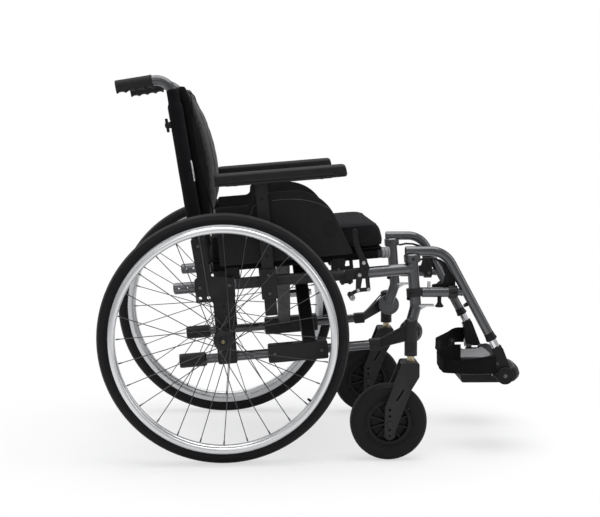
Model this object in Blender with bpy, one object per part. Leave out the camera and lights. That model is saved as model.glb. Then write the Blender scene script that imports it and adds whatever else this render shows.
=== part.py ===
"""A folding self-propelled wheelchair, modelled piece by piece.

Metres, +X forward, +Z up, and +Y to the rider's left. The origin is on the floor under the
middle of the chair. Places are worked out in two ways: forward of the rear axle (x, y, z), and
along the side frame's own leaning lines (u, y, h), where u runs along the tubes and h square
to them, from the lower tube above the rear axle.
"""

import math

import bmesh
import bpy
from mathutils import Matrix, Vector

RIGHT = -1
LEFT = 1
SIDE_NAMES = {RIGHT: "right", LEFT: "left"}

# Fits
CLEARANCE = 0.0003
SLACK = 0.0008

# Rear wheels
REAR_RADIUS = 0.305
REAR_TRACK_HALF = 0.297
TYRE_SECTION = 0.0175
RIM_OUTER = 0.2778
RIM_INNER = 0.2608
RIM_HALF_WIDTH = 0.0125
WHEEL_SIDES = 40
HANDRIM_RADIUS = 0.2665
HANDRIM_TUBE = 0.0085
HANDRIM_OFFSET = 0.0340
HANDRIM_TABS = 6
SPOKES = 28
SPOKE_RADIUS = 0.0011
SPOKE_SWEEP = 64.0
FLANGE_RADIUS = 0.0235
FLANGE_OFFSET = 0.026
FLANGE_THICKNESS = 0.004
HUB_BARREL = 0.015
AXLE_RADIUS = 0.0063
AXLE_REACH = 0.064
BUTTON_RADIUS = 0.0042
BUTTON_TRAVEL = 0.004

# Side frames
FRAME_TILT = math.radians(4.6)
FRAME_HALF = 0.222
LOWER_TUBE_HEIGHT = 0.2472
LOWER_TUBE_RADIUS = 0.0115
LOWER_TUBE_REAR = -0.1042
LOWER_TUBE_FRONT = 0.3855
UPPER_TUBE_H = 0.180
TUBE_RADIUS = 0.014
UPPER_TUBE_REAR = -0.106
FRONT_TUBE_U = 0.484
FRONT_TUBE_TOP = 0.209
FRONT_TUBE_BEND_H = 0.085
FRONT_BEND_RADIUS = 0.040
FLANGE_DISC_U = 0.4647
FLANGE_DISC_H = 0.0276
FLANGE_DISC_RADIUS = 0.029
FLANGE_DISC_OUTER = 0.2465
FLANGE_DISC_THICKNESS = 0.010
STRIKER_LENGTH = 0.034
STRIKER_HALF_WIDTH = 0.012
STRIKER_THICKNESS = 0.004
TUBE_SIDES = 12

# Plates and fittings on the side frames
PLATE_THICKNESS = 0.008
BOLT_HEAD_RADIUS = 0.005
BOLT_HEAD_HEIGHT = 0.004
AXLE_U = 0.0046
END_SLEEVE_RADIUS = 0.0175
END_SLEEVE_LENGTH = 0.067
END_SLEEVE_WALL = 0.005
SADDLE_PLACES = (0.040, 0.300)
SADDLE_LENGTH = 0.034
SADDLE_WIDTH = 0.030
SOCKET_LENGTH = 0.040
SOCKET_BOTTOM = 0.140
SOCKET_TOP = 0.215
SOCKET_WALL = 0.005

# Folding cross and seat rails
RAIL_H = 0.225
RAIL_HALF = 0.213
RAIL_RADIUS = 0.0125
RAIL_REAR = -0.012
RAIL_FRONT = 0.430
ARM_A_U = 0.215
ARM_B_U = 0.165
ARM_WIDTH = 0.034
ARM_DEPTH = 0.020
PIVOT_SLEEVE_REAR = 0.110
PIVOT_SLEEVE_FRONT = 0.258
PIVOT_SLEEVE_HEIGHT = 0.044
PIVOT_SLEEVE_WIDTH = 0.040
CENTRE_BOLT_RADIUS = 0.0055
CENTRE_BOLT_HEAD = 0.010
CENTRE_BOLT_HEAD_LENGTH = 0.008

# Seat and back upholstery
SLING_THICKNESS = 0.003
CUSHION_REAR = -0.0157
CUSHION_FRONT = 0.4192
CUSHION_HALF_WIDTH = 0.2260
CUSHION_THICKNESS = 0.056
CUSHION_CROWN = 0.006
CUSHION_DRAW = 0.004
SLEEVE_RADIUS = 0.0185
BACK_BOTTOM = 0.127
BACK_TOP = 0.4714
PANEL_THICKNESS = 0.004
PAD_HALF_WIDTH = 0.195
PAD_EDGE_THICKNESS = 0.030
PAD_DEPTH = 0.0715
PAD_RISE = 0.011
PAD_CHANNEL_HALF = 0.135
PAD_CHANNEL_DEPTH = 0.007

# Back posts and push handles
POST_LEAN = math.radians(9.2)
POST_HALF = 0.2205
POST_U = -0.0306
POST_RADIUS = 0.0155
POST_LENGTH = 0.426
POST_BORE_START = 0.200
HANDLE_RADIUS = 0.0125
HANDLE_BOTTOM = 0.260
HANDLE_CORNER = 0.4988
HANDLE_BEND = 0.040
GRIP_START = 0.043
GRIP_LENGTH = 0.090
GRIP_RADIUS = 0.0155
GRIP_END_WALL = 0.004
GRIP_TEETH = 4
GRIP_TOOTH_DEPTH = 0.0045
KNOB_T = 0.387
KNOB_BOSS_RADIUS = 0.009
KNOB_BOSS_LENGTH = 0.0065
KNOB_WING_LENGTH = 0.034
KNOB_WING_WIDTH = 0.012
KNOB_WING_DEPTH = 0.009

# Armrests
ARM_POST_U = 0.126
ARM_POST_HALF = 0.2535
ARM_POST_LENGTH_U = 0.030
ARM_POST_WIDTH = 0.016
ARM_POST_BOTTOM = 0.099
PAD_BAR_THICKNESS = 0.0055
PAD_BAR_WIDTH = 0.022
ARM_PAD_HALF = 0.269
ARM_PAD_WIDTH = 0.055
ARM_PAD_REAR = 0.0156
ARM_PAD_FRONT = 0.335
ARM_PAD_BOTTOM = 0.427
ARM_PAD_THICKNESS = 0.027
GUARD_THICKNESS = 0.0035
GUARD_REAR = 0.0135
GUARD_BOTTOM = 0.2317
GUARD_TOP = 0.3980
GUARD_REAR_TOP = 0.3660
GUARD_CORNER = 0.108
GUARD_FRONT_SLOPE = 22

# Wheel brakes
BRAKE_LEVER_U = 0.3612
BRAKE_LEVER_H = 0.2081
BRAKE_LEVER_THICKNESS = 0.0072
SHOE_PIVOT = (0.3486, 0.1786)
SHOE_ARM_THICKNESS = 0.005
SHOE_PLACE = (0.322, 0.1328)
SHOE_RADIUS = 0.007
BRAKE_BOLT_RADIUS = 0.004

# Castors
CASTOR_HALF = 0.274
CASTOR_RADIUS = 0.0947
CASTOR_HALF_WIDTH = 0.0235
CASTOR_RIM_RADIUS = 0.0575
CASTOR_SIDES = 22
STEM_X = 0.4575
CASTOR_TRAIL = 0.054
HOUSING_RADIUS = 0.0165
COLLAR_RADIUS = 0.0156
HOUSING_TOP = 0.3458
COLLAR_TOP = 0.294
HOUSING_BOTTOM = 0.2572
FORK_TOP = 0.2445
FORK_CROWN = 0.012
FORK_HALF_WIDTH = 0.034
FORK_LEG = 0.006
STEM_RADIUS = 0.006
SPACER_RADIUS = 0.0088
STEM_TOP = 0.328
CASTOR_AXLE_RADIUS = 0.0045

# Leg supports
HANGER_Z = 0.509
HANGER_REAR_X = 0.449
HANGER_RADIUS = 0.012
HANGER_CORNER_X = 0.5465
HANGER_LEAN = math.radians(28.5)
HANGER_BEND = 0.060
HANGER_LENGTH = 0.249
HANGER_CUP_RADIUS = 0.0215
HANGER_CUP_BOTTOM = 0.1955
KNUCKLE_H = 0.121
KNUCKLE_RADIUS = 0.0205
KNUCKLE_HEIGHT = 0.020
BAR_Z = 0.4065
BAR_RADIUS = 0.0125
BAR_FRONT_X = 0.557
COLLAR_FRONT_X = 0.579
BAR_COLLAR_RADIUS = 0.0165
LATCH_X = 0.568
LATCH_THICKNESS = 0.008
MUSHROOM_X = 0.5345
PIN_X = 0.508
EXTENSION_RADIUS = 0.0098
EXTENSION_INSERT = 0.140
END_CAP_RADIUS = 0.0145
END_CAP_LENGTH = 0.020
ANKLE_X = 0.6983
ANKLE_Z = 0.1981
ANKLE_RADIUS = 0.0215
ANKLE_HALF_WIDTH = 0.0135
FLIP_HALF = 0.1975
FLIP_Z = 0.195
FLIP_PIN_RADIUS = 0.006
KNUCKLE_WALL = 0.004
FOOTPLATE_TOE_X = 0.757
FOOTPLATE_OUTER = 0.190
FOOTPLATE_INNER = 0.045
FOOTPLATE_TOP = 0.193
TOE_LENGTH = 0.060
TOE_RISE = 0.0150
TRAY_CORNERS = (
    (FOOTPLATE_INNER, 0.0160),
    (FOOTPLATE_INNER + 0.006, 0.0080),
    (FOOTPLATE_INNER + 0.018, 0.0020),
    (FOOTPLATE_INNER + 0.038, 0.0),
    (FOOTPLATE_INNER + 0.080, 0.0),
    (FOOTPLATE_INNER + 0.110, 0.0040),
    (FOOTPLATE_INNER + 0.130, 0.0100),
    (FOOTPLATE_OUTER, 0.0200),
)
STRAP_THICKNESS = 0.003
STRAP_BOTTOM = 0.2030
STRAP_TOP = 0.2465
STRAP_REACH = {RIGHT: 0.2050, LEFT: 0.1720}
STRAP_PEG_REAR = 0.0960
STRAP_PEG_FRONT = 0.0800

# What follows from the sizes above
CENTRE_X = (FOOTPLATE_TOE_X - REAR_RADIUS) / 2
COS_TILT = math.cos(FRAME_TILT)
SIN_TILT = math.sin(FRAME_TILT)
U_WAY = Vector((COS_TILT, 0, SIN_TILT))
H_WAY = Vector((-SIN_TILT, 0, COS_TILT))
X_WAY = Vector((1, 0, 0))
Y_WAY = Vector((0, 1, 0))
Z_WAY = Vector((0, 0, 1))
POST_WAY = Vector((-math.sin(POST_LEAN), 0, math.cos(POST_LEAN)))
POST_FRONT = Vector((math.cos(POST_LEAN), 0, math.sin(POST_LEAN)))
LEG_WAY = Vector((math.sin(HANGER_LEAN), 0, -math.cos(HANGER_LEAN)))
PLATE_INNER = FRAME_HALF + TUBE_RADIUS + CLEARANCE
PLATE_OUTER = PLATE_INNER + PLATE_THICKNESS
AXLE_H = (REAR_RADIUS - LOWER_TUBE_HEIGHT - AXLE_U * SIN_TILT) / COS_TILT
RIM_APOTHEM = RIM_INNER * math.cos(math.pi / WHEEL_SIDES)
POST_H = UPPER_TUBE_H + TUBE_RADIUS + CLEARANCE + POST_RADIUS * math.sin(POST_LEAN - FRAME_TILT)
SLING_BOTTOM = RAIL_H + RAIL_RADIUS + CLEARANCE
CUSHION_BOTTOM = SLING_BOTTOM + SLING_THICKNESS + CLEARANCE
CASTOR_X = STEM_X - CASTOR_TRAIL

FINISHES = {
    "frame_paint": ((0.10, 0.10, 0.11), 0.38, 0.6),
    "black_metal": ((0.02, 0.02, 0.022), 0.45, 0.3),
    "black_plastic": ((0.018, 0.018, 0.02), 0.5, 0.0),
    "silver": ((0.62, 0.62, 0.64), 0.28, 0.9),
    "chrome": ((0.75, 0.75, 0.77), 0.15, 1.0),
    "brass": ((0.45, 0.38, 0.22), 0.35, 0.9),
    "rubber": ((0.02, 0.02, 0.02), 0.8, 0.0),
    "grip_rubber": ((0.03, 0.03, 0.032), 0.7, 0.0),
    "fabric": ((0.015, 0.015, 0.017), 0.9, 0.0),
}


def clear_scene():
    for existing in list(bpy.data.objects):
        bpy.data.objects.remove(existing, do_unlink=True)


def finish_material(name):
    """The Principled material of that finish, made once."""
    made = bpy.data.materials.get(name)
    if made is None:
        colour, roughness, metallic = FINISHES[name]
        made = bpy.data.materials.new(name)
        made.use_nodes = True
        shader = made.node_tree.nodes["Principled BSDF"]
        shader.inputs["Base Color"].default_value = (*colour, 1)
        shader.inputs["Roughness"].default_value = roughness
        shader.inputs["Metallic"].default_value = metallic
    return made


# Places


def chair_point(x, y, z):
    """A point given forward of the rear axle."""
    return Vector((x - CENTRE_X, y, z))


def frame_point(u, y, h):
    """A point given along the side frame's leaning lines."""
    return Vector((-CENTRE_X, y, LOWER_TUBE_HEIGHT)) + U_WAY * u + H_WAY * h


def post_point(t, forward, y):
    """A point given along a back post, t up it and forward of its middle line."""
    return frame_point(POST_U, y, POST_H) + POST_WAY * t + POST_FRONT * forward


def leg_point(along, y):
    """A point on the line of a leg tube, measured down from the hanger's corner."""
    return chair_point(HANGER_CORNER_X, y, HANGER_Z) + LEG_WAY * along


# Outlines and paths


def arc(centre, radius, start, end, steps):
    """Points along an arc in degrees, both ends included."""
    angles = [math.radians(start + (end - start) * k / steps) for k in range(steps + 1)]
    return [(centre[0] + radius * math.cos(a), centre[1] + radius * math.sin(a)) for a in angles]


def link(first, first_radius, second, second_radius, steps=5):
    """The outline of a flat link with round ends."""
    turn = math.degrees(math.atan2(second[1] - first[1], second[0] - first[0]))
    return arc(first, first_radius, turn + 90, turn + 270, steps) + arc(
        second, second_radius, turn - 90, turn + 90, steps
    )


def rounded_path(corners, radius, steps):
    """Straight runs with an arc of that radius at each inner corner."""
    path = [corners[0]]
    for before, corner, after in zip(corners, corners[1:], corners[2:]):
        ahead = (corner - before).normalized()
        leaving = (after - corner).normalized()
        turn = ahead.angle(leaving)
        inward = (leaving - ahead * ahead.dot(leaving)).normalized()
        start = corner - ahead * radius * math.tan(turn / 2)
        for k in range(steps + 1):
            angle = turn * k / steps
            path.append(
                start + ahead * radius * math.sin(angle) + inward * radius * (1 - math.cos(angle))
            )
    return path + [corners[-1]]


def strip(points, thickness):
    """The outline of a band of that thickness along flat points."""
    outer, inner = [], []
    for k, point in enumerate(points):
        before = points[max(k - 1, 0)]
        after = points[min(k + 1, len(points) - 1)]
        ahead = (after - before).normalized()
        across = Vector((-ahead.y, ahead.x)) * thickness / 2
        outer.append(tuple(point + across))
        inner.append(tuple(point - across))
    return outer + inner[::-1]


# Solids, each a bmesh


def skin(rings, closed_ends=True, looped=False):
    """Faces between rings of points that all have the same count."""
    solid = bmesh.new()
    rows = [[solid.verts.new(p) for p in ring] for ring in rings]
    pairs = list(zip(rows, rows[1:]))
    if looped:
        pairs.append((rows[-1], rows[0]))
    for row, following in pairs:
        for k in range(len(row)):
            n = (k + 1) % len(row)
            solid.faces.new((row[k], row[n], following[n], following[k]))
    if closed_ends and not looped:
        solid.faces.new(rows[0])
        solid.faces.new(rows[-1])
    bmesh.ops.recalc_face_normals(solid, faces=solid.faces)
    return solid


def tube(path, radius, sides=TUBE_SIDES):
    """A round bar swept along a path, with flat ends."""
    rings = []
    normal = Y_WAY.cross(path[1] - path[0]).normalized()
    for k, point in enumerate(path):
        ahead = (path[min(k + 1, len(path) - 1)] - path[max(k - 1, 0)]).normalized()
        normal = (normal - ahead * normal.dot(ahead)).normalized()
        across = ahead.cross(normal)
        turns = [math.tau * n / sides for n in range(sides)]
        rings.append([point + (normal * math.cos(a) + across * math.sin(a)) * radius for a in turns])
    return skin(rings)


def turned(profile, centre, axis, sides, first=Z_WAY):
    """A profile of (radius, along) turned about an axis; radius 0 ends close on the axis."""
    solid = bmesh.new()
    start = -(first - axis * first.dot(axis)).normalized()
    across = axis.cross(start)
    rows = []
    for radius, along in profile:
        middle = centre + axis * along
        if radius == 0:
            rows.append([solid.verts.new(middle)] * sides)
            continue
        turns = [math.tau * n / sides for n in range(sides)]
        rows.append(
            [
                solid.verts.new(middle + (start * math.cos(a) + across * math.sin(a)) * radius)
                for a in turns
            ]
        )
    pairs = list(zip(rows, rows[1:]))
    if profile[0][0] > 0:
        pairs.append((rows[-1], rows[0]))
    for row, following in pairs:
        for k in range(sides):
            n = (k + 1) % sides
            corners = list(dict.fromkeys((row[k], row[n], following[n], following[k])))
            solid.faces.new(corners)
    bmesh.ops.recalc_face_normals(solid, faces=solid.faces)
    return solid


def prism(outline, origin, across, up, through, depth):
    """A flat outline, pushed through by a depth."""
    near = [origin + across * a + up * b for a, b in outline]
    return skin([near, [p + through * depth for p in near]])


def frame_plate(outline, side, inner, outer):
    """A plate whose outline is in (u, h), between two distances out from the middle."""
    return prism(outline, frame_point(0, side * inner, 0), U_WAY, H_WAY, Y_WAY * side, outer - inner)


def chair_plate(outline, side, inner, outer):
    """A plate whose outline is in (x, z), between two distances out from the middle."""
    return prism(outline, chair_point(0, side * inner, 0), X_WAY, Z_WAY, Y_WAY * side, outer - inner)


def frame_block(side, u_span, out_span, h_span):
    outline = [(u_span[0], h_span[0]), (u_span[1], h_span[0]), (u_span[1], h_span[1]), (u_span[0], h_span[1])]
    return frame_plate(outline, side, *out_span)


def chair_block(side, x_span, out_span, z_span):
    outline = [(x_span[0], z_span[0]), (x_span[1], z_span[0]), (x_span[1], z_span[1]), (x_span[0], z_span[1])]
    return chair_plate(outline, side, *out_span)


def cross_pin(place, side, inner, outer, radius, sides=10):
    """A round pin that points outward from a place given in world axes."""
    spot = Vector((place.x, side * inner, place.z))
    profile = [(0, 0), (radius, 0), (radius, outer - inner), (0, outer - inner)]
    return turned(profile, spot, Y_WAY * side, sides)


def hull(points):
    solid = bmesh.new()
    corners = [solid.verts.new(p) for p in points]
    bmesh.ops.convex_hull(solid, input=corners)
    bmesh.ops.recalc_face_normals(solid, faces=solid.faces)
    return solid


# Objects


def mesh_of(name, solids):
    """One mesh that holds the solids as separate bodies."""
    whole = bmesh.new()
    for solid in solids:
        piece = bpy.data.meshes.new("piece")
        solid.to_mesh(piece)
        whole.from_mesh(piece)
        bpy.data.meshes.remove(piece)
        solid.free()
    mesh = bpy.data.meshes.new(name)
    whole.to_mesh(mesh)
    whole.free()
    return mesh


def add_boolean(body, solids, operation, origin):
    """Joins or cuts a body with a helper that stays hidden: one solid, or several kept apart."""
    if not isinstance(solids, list):
        solids = [solids]
    helper = bpy.data.objects.new(f"{body.name}_{operation.lower()}_helper", mesh_of("helper", solids))
    helper.data.transform(Matrix.Translation(-origin))
    helper.location = origin
    helper.hide_render = True
    helper.display_type = "WIRE"
    bpy.context.scene.collection.objects.link(helper)
    modifier = body.modifiers.new(operation.title(), "BOOLEAN")
    modifier.operation = operation
    modifier.object = helper


def make_part(name, finish, solids, joined=(), cut=(), origin=None, bevel=None):
    """One named object: separate solids, then what is joined to them, then what is cut out."""
    origin = origin or Vector((0, 0, 0))
    mesh = mesh_of(name, solids)
    mesh.transform(Matrix.Translation(-origin))
    mesh.shade_smooth()
    mesh.set_sharp_from_angle(angle=math.radians(40))
    mesh.materials.append(finish_material(finish))
    part = bpy.data.objects.new(name, mesh)
    part.location = origin
    bpy.context.scene.collection.objects.link(part)
    if bevel:
        rounding = part.modifiers.new("Rounding", "BEVEL")
        rounding.width, rounding.segments = bevel
        rounding.limit_method = "ANGLE"
    for solid in joined:
        add_boolean(part, solid, "UNION", origin)
    for solid in cut:
        add_boolean(part, solid, "DIFFERENCE", origin)
    return part


# Side frame


def make_side_frame(side):
    """The upper tube and front tube with their disc, rail saddles, armrest socket and stop."""
    y = side * FRAME_HALF
    upper = tube(
        [frame_point(UPPER_TUBE_REAR, y, UPPER_TUBE_H), frame_point(FRONT_TUBE_U - 0.003, y, UPPER_TUBE_H)],
        TUBE_RADIUS,
    )
    tube_end_out = FLANGE_DISC_OUTER - TUBE_RADIUS - 2 * CLEARANCE
    front = tube(
        rounded_path(
            [
                frame_point(FRONT_TUBE_U, y, FRONT_TUBE_TOP),
                frame_point(FRONT_TUBE_U, y, FRONT_TUBE_BEND_H),
                frame_point(FLANGE_DISC_U, side * tube_end_out, FLANGE_DISC_H + 0.008),
            ],
            FRONT_BEND_RADIUS,
            3,
        ),
        TUBE_RADIUS,
    )
    disc = turned(
        [
            (0, 0),
            (FLANGE_DISC_RADIUS, 0),
            (FLANGE_DISC_RADIUS, FLANGE_DISC_THICKNESS),
            (0, FLANGE_DISC_THICKNESS),
        ],
        frame_point(FLANGE_DISC_U, side * (FLANGE_DISC_OUTER - FLANGE_DISC_THICKNESS), FLANGE_DISC_H),
        Y_WAY * side,
        20,
    )
    front_face_x = frame_point(FRONT_TUBE_U, y, KNUCKLE_H).x + CENTRE_X
    striker_top = BAR_Z - BAR_RADIUS - 0.018
    striker = chair_block(
        side,
        (front_face_x, front_face_x + TUBE_RADIUS + STRIKER_LENGTH),
        (FRAME_HALF - STRIKER_HALF_WIDTH, FRAME_HALF + STRIKER_HALF_WIDTH),
        (striker_top - STRIKER_THICKNESS, striker_top),
    )
    saddles = [
        frame_block(
            side,
            (place - SADDLE_LENGTH / 2, place + SADDLE_LENGTH / 2),
            (RAIL_HALF - SADDLE_WIDTH / 2, RAIL_HALF + SADDLE_WIDTH / 2),
            (UPPER_TUBE_H + 0.004, RAIL_H - 0.004),
        )
        for place in SADDLE_PLACES
    ]
    socket = frame_block(
        side,
        (ARM_POST_U - SOCKET_LENGTH / 2, ARM_POST_U + SOCKET_LENGTH / 2),
        (FRAME_HALF + 0.008, ARM_POST_HALF + ARM_POST_WIDTH / 2 + SOCKET_WALL),
        (SOCKET_BOTTOM, SOCKET_TOP),
    )
    rail_hole = tube(
        [frame_point(RAIL_REAR, side * RAIL_HALF, RAIL_H), frame_point(RAIL_FRONT, side * RAIL_HALF, RAIL_H)],
        RAIL_RADIUS + CLEARANCE,
    )
    post_hole = frame_block(
        side,
        (ARM_POST_U - ARM_POST_LENGTH_U / 2 - CLEARANCE, ARM_POST_U + ARM_POST_LENGTH_U / 2 + CLEARANCE),
        (ARM_POST_HALF - ARM_POST_WIDTH / 2 - CLEARANCE, ARM_POST_HALF + ARM_POST_WIDTH / 2 + CLEARANCE),
        (SOCKET_BOTTOM - 0.01, SOCKET_TOP + 0.01),
    )
    make_part(
        f"side_frame_{SIDE_NAMES[side]}",
        "frame_paint",
        [front],
        joined=[upper, disc, striker, *saddles, socket],
        cut=[rail_hole, post_hole],
    )


def make_lower_tube(side):
    """The lower tube, with the thicker sleeve that closes its rear end."""
    y = side * FRAME_HALF
    bar = tube([frame_point(LOWER_TUBE_REAR, y, 0), frame_point(LOWER_TUBE_FRONT, y, 0)], LOWER_TUBE_RADIUS)
    sleeve_rear = LOWER_TUBE_REAR - END_SLEEVE_WALL
    end_sleeve = tube(
        [frame_point(sleeve_rear, y, 0), frame_point(sleeve_rear + END_SLEEVE_LENGTH, y, 0)],
        END_SLEEVE_RADIUS,
    )
    make_part(f"lower_tube_{SIDE_NAMES[side]}", "frame_paint", [bar], joined=[end_sleeve])


def make_axle_bracket(side):
    """The plate that carries the rear axle between the tubes, with an arm up the back post."""
    arm_top_h = 0.300
    post_u_at_top = POST_U - (arm_top_h - POST_H) * math.tan(POST_LEAN - FRAME_TILT)
    reach = POST_RADIUS + 0.0015
    outline = [
        (POST_U - 0.0245, 0.143),
        (AXLE_U - 0.0185, 0.143),
        (AXLE_U - 0.0185, -LOWER_TUBE_RADIUS - 0.002),
        (AXLE_U + 0.0290, -LOWER_TUBE_RADIUS - 0.002),
        (AXLE_U + 0.0290, 0.143),
        (AXLE_U + 0.0375, 0.150),
        (AXLE_U + 0.0375, 0.197),
        (POST_U + reach, 0.205),
        (post_u_at_top + reach, arm_top_h),
        (post_u_at_top - reach, arm_top_h),
        (POST_U - reach, 0.205),
        (POST_U - 0.0245, 0.200),
    ]
    plate = frame_plate(outline, side, PLATE_INNER, PLATE_OUTER)
    lower_pad = frame_block(
        side,
        (AXLE_U - 0.0170, AXLE_U + 0.0275),
        (FRAME_HALF + LOWER_TUBE_RADIUS + CLEARANCE, PLATE_INNER + 0.002),
        (-0.010, 0.010),
    )
    bolt_places = [
        (POST_U - 0.012, UPPER_TUBE_H),
        (AXLE_U + 0.025, UPPER_TUBE_H),
        (AXLE_U - 0.009, 0),
        (AXLE_U + 0.020, 0),
        (POST_U - 0.004, 0.235),
        (post_u_at_top, 0.282),
    ]
    bolts = [
        cross_pin(
            frame_point(u, 0, h),
            side,
            PLATE_OUTER - 0.002,
            PLATE_OUTER + BOLT_HEAD_HEIGHT,
            BOLT_HEAD_RADIUS,
            6,
        )
        for u, h in bolt_places
    ]
    hole_places = [(AXLE_U + 0.006, h) for h in (0.085, 0.107, 0.129)]
    hole_places += [(POST_U - 0.0136, 0.1535), (POST_U + 0.0071, 0.1535)]
    holes = [
        cross_pin(frame_point(u, 0, h), side, PLATE_INNER - 0.002, PLATE_OUTER + 0.002, 0.004, 6)
        for u, h in hole_places
    ]
    axle_hole = cross_pin(
        frame_point(AXLE_U, 0, AXLE_H),
        side,
        PLATE_INNER - 0.002,
        PLATE_OUTER + 0.002,
        AXLE_RADIUS + CLEARANCE,
        12,
    )
    make_part(
        f"axle_bracket_{SIDE_NAMES[side]}",
        "black_metal",
        [plate],
        joined=[lower_pad, *bolts],
        cut=[*holes, axle_hole],
    )


# Back post, push handle and its clamp


def make_back_post(side):
    bore = HANDLE_RADIUS + CLEARANCE
    post = turned(
        [
            (0, 0),
            (POST_RADIUS, 0),
            (POST_RADIUS, POST_LENGTH),
            (bore, POST_LENGTH),
            (bore, POST_BORE_START),
            (0, POST_BORE_START),
        ],
        post_point(0, 0, side * POST_HALF),
        POST_WAY,
        TUBE_SIDES,
    )
    make_part(f"back_post_{SIDE_NAMES[side]}", "black_metal", [post])


def make_push_handle(side):
    y = side * POST_HALF
    tube_end = GRIP_START + GRIP_LENGTH - GRIP_END_WALL - CLEARANCE
    path = rounded_path(
        [
            post_point(HANDLE_BOTTOM, 0, y),
            post_point(HANDLE_CORNER, 0, y),
            post_point(HANDLE_CORNER, -tube_end, y),
        ],
        HANDLE_BEND,
        5,
    )
    make_part(
        f"push_handle_{SIDE_NAMES[side]}",
        "frame_paint",
        [tube(path, HANDLE_RADIUS)],
        origin=post_point(HANDLE_CORNER, 0, y),
    )


def grip_radius(along, turn):
    """The grip's radius, with finger hollows on its underside; turn is 0 straight down."""
    wave = 0.5 + 0.5 * math.cos(math.tau * GRIP_TEETH * along / GRIP_LENGTH)
    underside = max(0.0, math.cos(turn))
    return GRIP_RADIUS + GRIP_TOOTH_DEPTH * wave * underside**2


def make_grip(side):
    y = side * POST_HALF
    sides = 12
    steps = 3 * GRIP_TEETH
    bore = HANDLE_RADIUS + CLEARANCE
    rings = []
    for k in range(steps + 1):
        along = GRIP_LENGTH * (1 - k / steps)
        centre = post_point(HANDLE_CORNER, -GRIP_START - along, y)
        ring = []
        for n in range(sides):
            turn = math.tau * n / sides
            away = -POST_WAY * math.cos(turn) + Y_WAY * math.sin(turn)
            ring.append(centre + away * grip_radius(along, turn))
        rings.append(ring)
    for depth in (0, GRIP_LENGTH - GRIP_END_WALL):
        centre = post_point(HANDLE_CORNER, -GRIP_START - depth, y)
        turns = [math.tau * n / sides for n in range(sides)]
        wall = bore / math.cos(math.pi / sides)
        rings.append([centre + (-POST_WAY * math.cos(a) + Y_WAY * math.sin(a)) * wall for a in turns])
    make_part(
        f"grip_{SIDE_NAMES[side]}",
        "grip_rubber",
        [skin(rings)],
        origin=post_point(HANDLE_CORNER, -GRIP_START, y),
    )


def make_clamp_knob(side):
    y = side * POST_HALF
    face = POST_RADIUS + CLEARANCE
    boss = turned(
        [
            (0, 0),
            (KNOB_BOSS_RADIUS, 0),
            (KNOB_BOSS_RADIUS, KNOB_BOSS_LENGTH + 0.001),
            (0, KNOB_BOSS_LENGTH + 0.001),
        ],
        post_point(KNOB_T, -face, y),
        -POST_FRONT,
        12,
    )
    half_wing, half_width = KNOB_WING_LENGTH / 2, KNOB_WING_WIDTH / 2
    wing_outline = link((0, -half_wing + half_width), half_width, (0, half_wing - half_width), half_width, 4)
    wing = prism(
        wing_outline,
        post_point(KNOB_T, -face - KNOB_BOSS_LENGTH, y),
        Y_WAY,
        POST_WAY,
        -POST_FRONT,
        KNOB_WING_DEPTH,
    )
    make_part(
        f"clamp_knob_{SIDE_NAMES[side]}",
        "black_plastic",
        [boss],
        joined=[wing],
        origin=post_point(KNOB_T, -face, y),
    )


# Armrest


def make_armrest_frame(side):
    bar_bottom = ARM_PAD_BOTTOM - CLEARANCE - PAD_BAR_THICKNESS
    post = frame_block(
        side,
        (ARM_POST_U - ARM_POST_LENGTH_U / 2, ARM_POST_U + ARM_POST_LENGTH_U / 2),
        (ARM_POST_HALF - ARM_POST_WIDTH / 2, ARM_POST_HALF + ARM_POST_WIDTH / 2),
        (ARM_POST_BOTTOM, bar_bottom + 0.001),
    )
    bar = frame_block(
        side,
        (ARM_PAD_REAR + 0.025, ARM_PAD_FRONT - 0.035),
        (ARM_POST_HALF - PAD_BAR_WIDTH / 2, ARM_POST_HALF + PAD_BAR_WIDTH / 2),
        (bar_bottom, bar_bottom + PAD_BAR_THICKNESS),
    )
    make_part(f"armrest_frame_{SIDE_NAMES[side]}", "black_metal", [post], joined=[bar])


def make_arm_pad(side):
    top = ARM_PAD_BOTTOM + ARM_PAD_THICKNESS
    outline = [
        (ARM_PAD_REAR, ARM_PAD_BOTTOM),
        (ARM_PAD_FRONT, ARM_PAD_BOTTOM),
        (ARM_PAD_FRONT - 0.009, top),
        (ARM_PAD_REAR, top),
    ]
    pad = frame_plate(outline, side, ARM_PAD_HALF - ARM_PAD_WIDTH / 2, ARM_PAD_HALF + ARM_PAD_WIDTH / 2)
    make_part(f"arm_pad_{SIDE_NAMES[side]}", "black_plastic", [pad], bevel=(0.006, 2))


def make_side_guard(side):
    """The clothes guard: a low rear wing, an S-shaped step up to the post, a round front."""
    step_u = ARM_POST_U - 0.024
    front_centre = (ARM_POST_U + 0.068, GUARD_TOP - GUARD_CORNER)
    outline = [(GUARD_REAR, GUARD_BOTTOM - 0.004), (GUARD_REAR, GUARD_REAR_TOP)]
    outline += arc((step_u - 0.016, GUARD_REAR_TOP + 0.016), 0.016, 270, 330, 3)
    outline += [(step_u, GUARD_TOP - 0.003), (step_u + 0.006, GUARD_TOP)]
    outline += arc(front_centre, GUARD_CORNER, 90, GUARD_FRONT_SLOPE, 9)
    slope_top_u, slope_top_h = outline[-1]
    drop = slope_top_h - GUARD_BOTTOM
    outline += [(slope_top_u + drop * math.tan(math.radians(GUARD_FRONT_SLOPE)), GUARD_BOTTOM)]
    inner = ARM_POST_HALF - ARM_POST_WIDTH / 2 - CLEARANCE - GUARD_THICKNESS
    guard = frame_plate(outline, side, inner, inner + GUARD_THICKNESS)
    make_part(f"side_guard_{SIDE_NAMES[side]}", "black_plastic", [guard])


# Wheel brake


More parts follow.
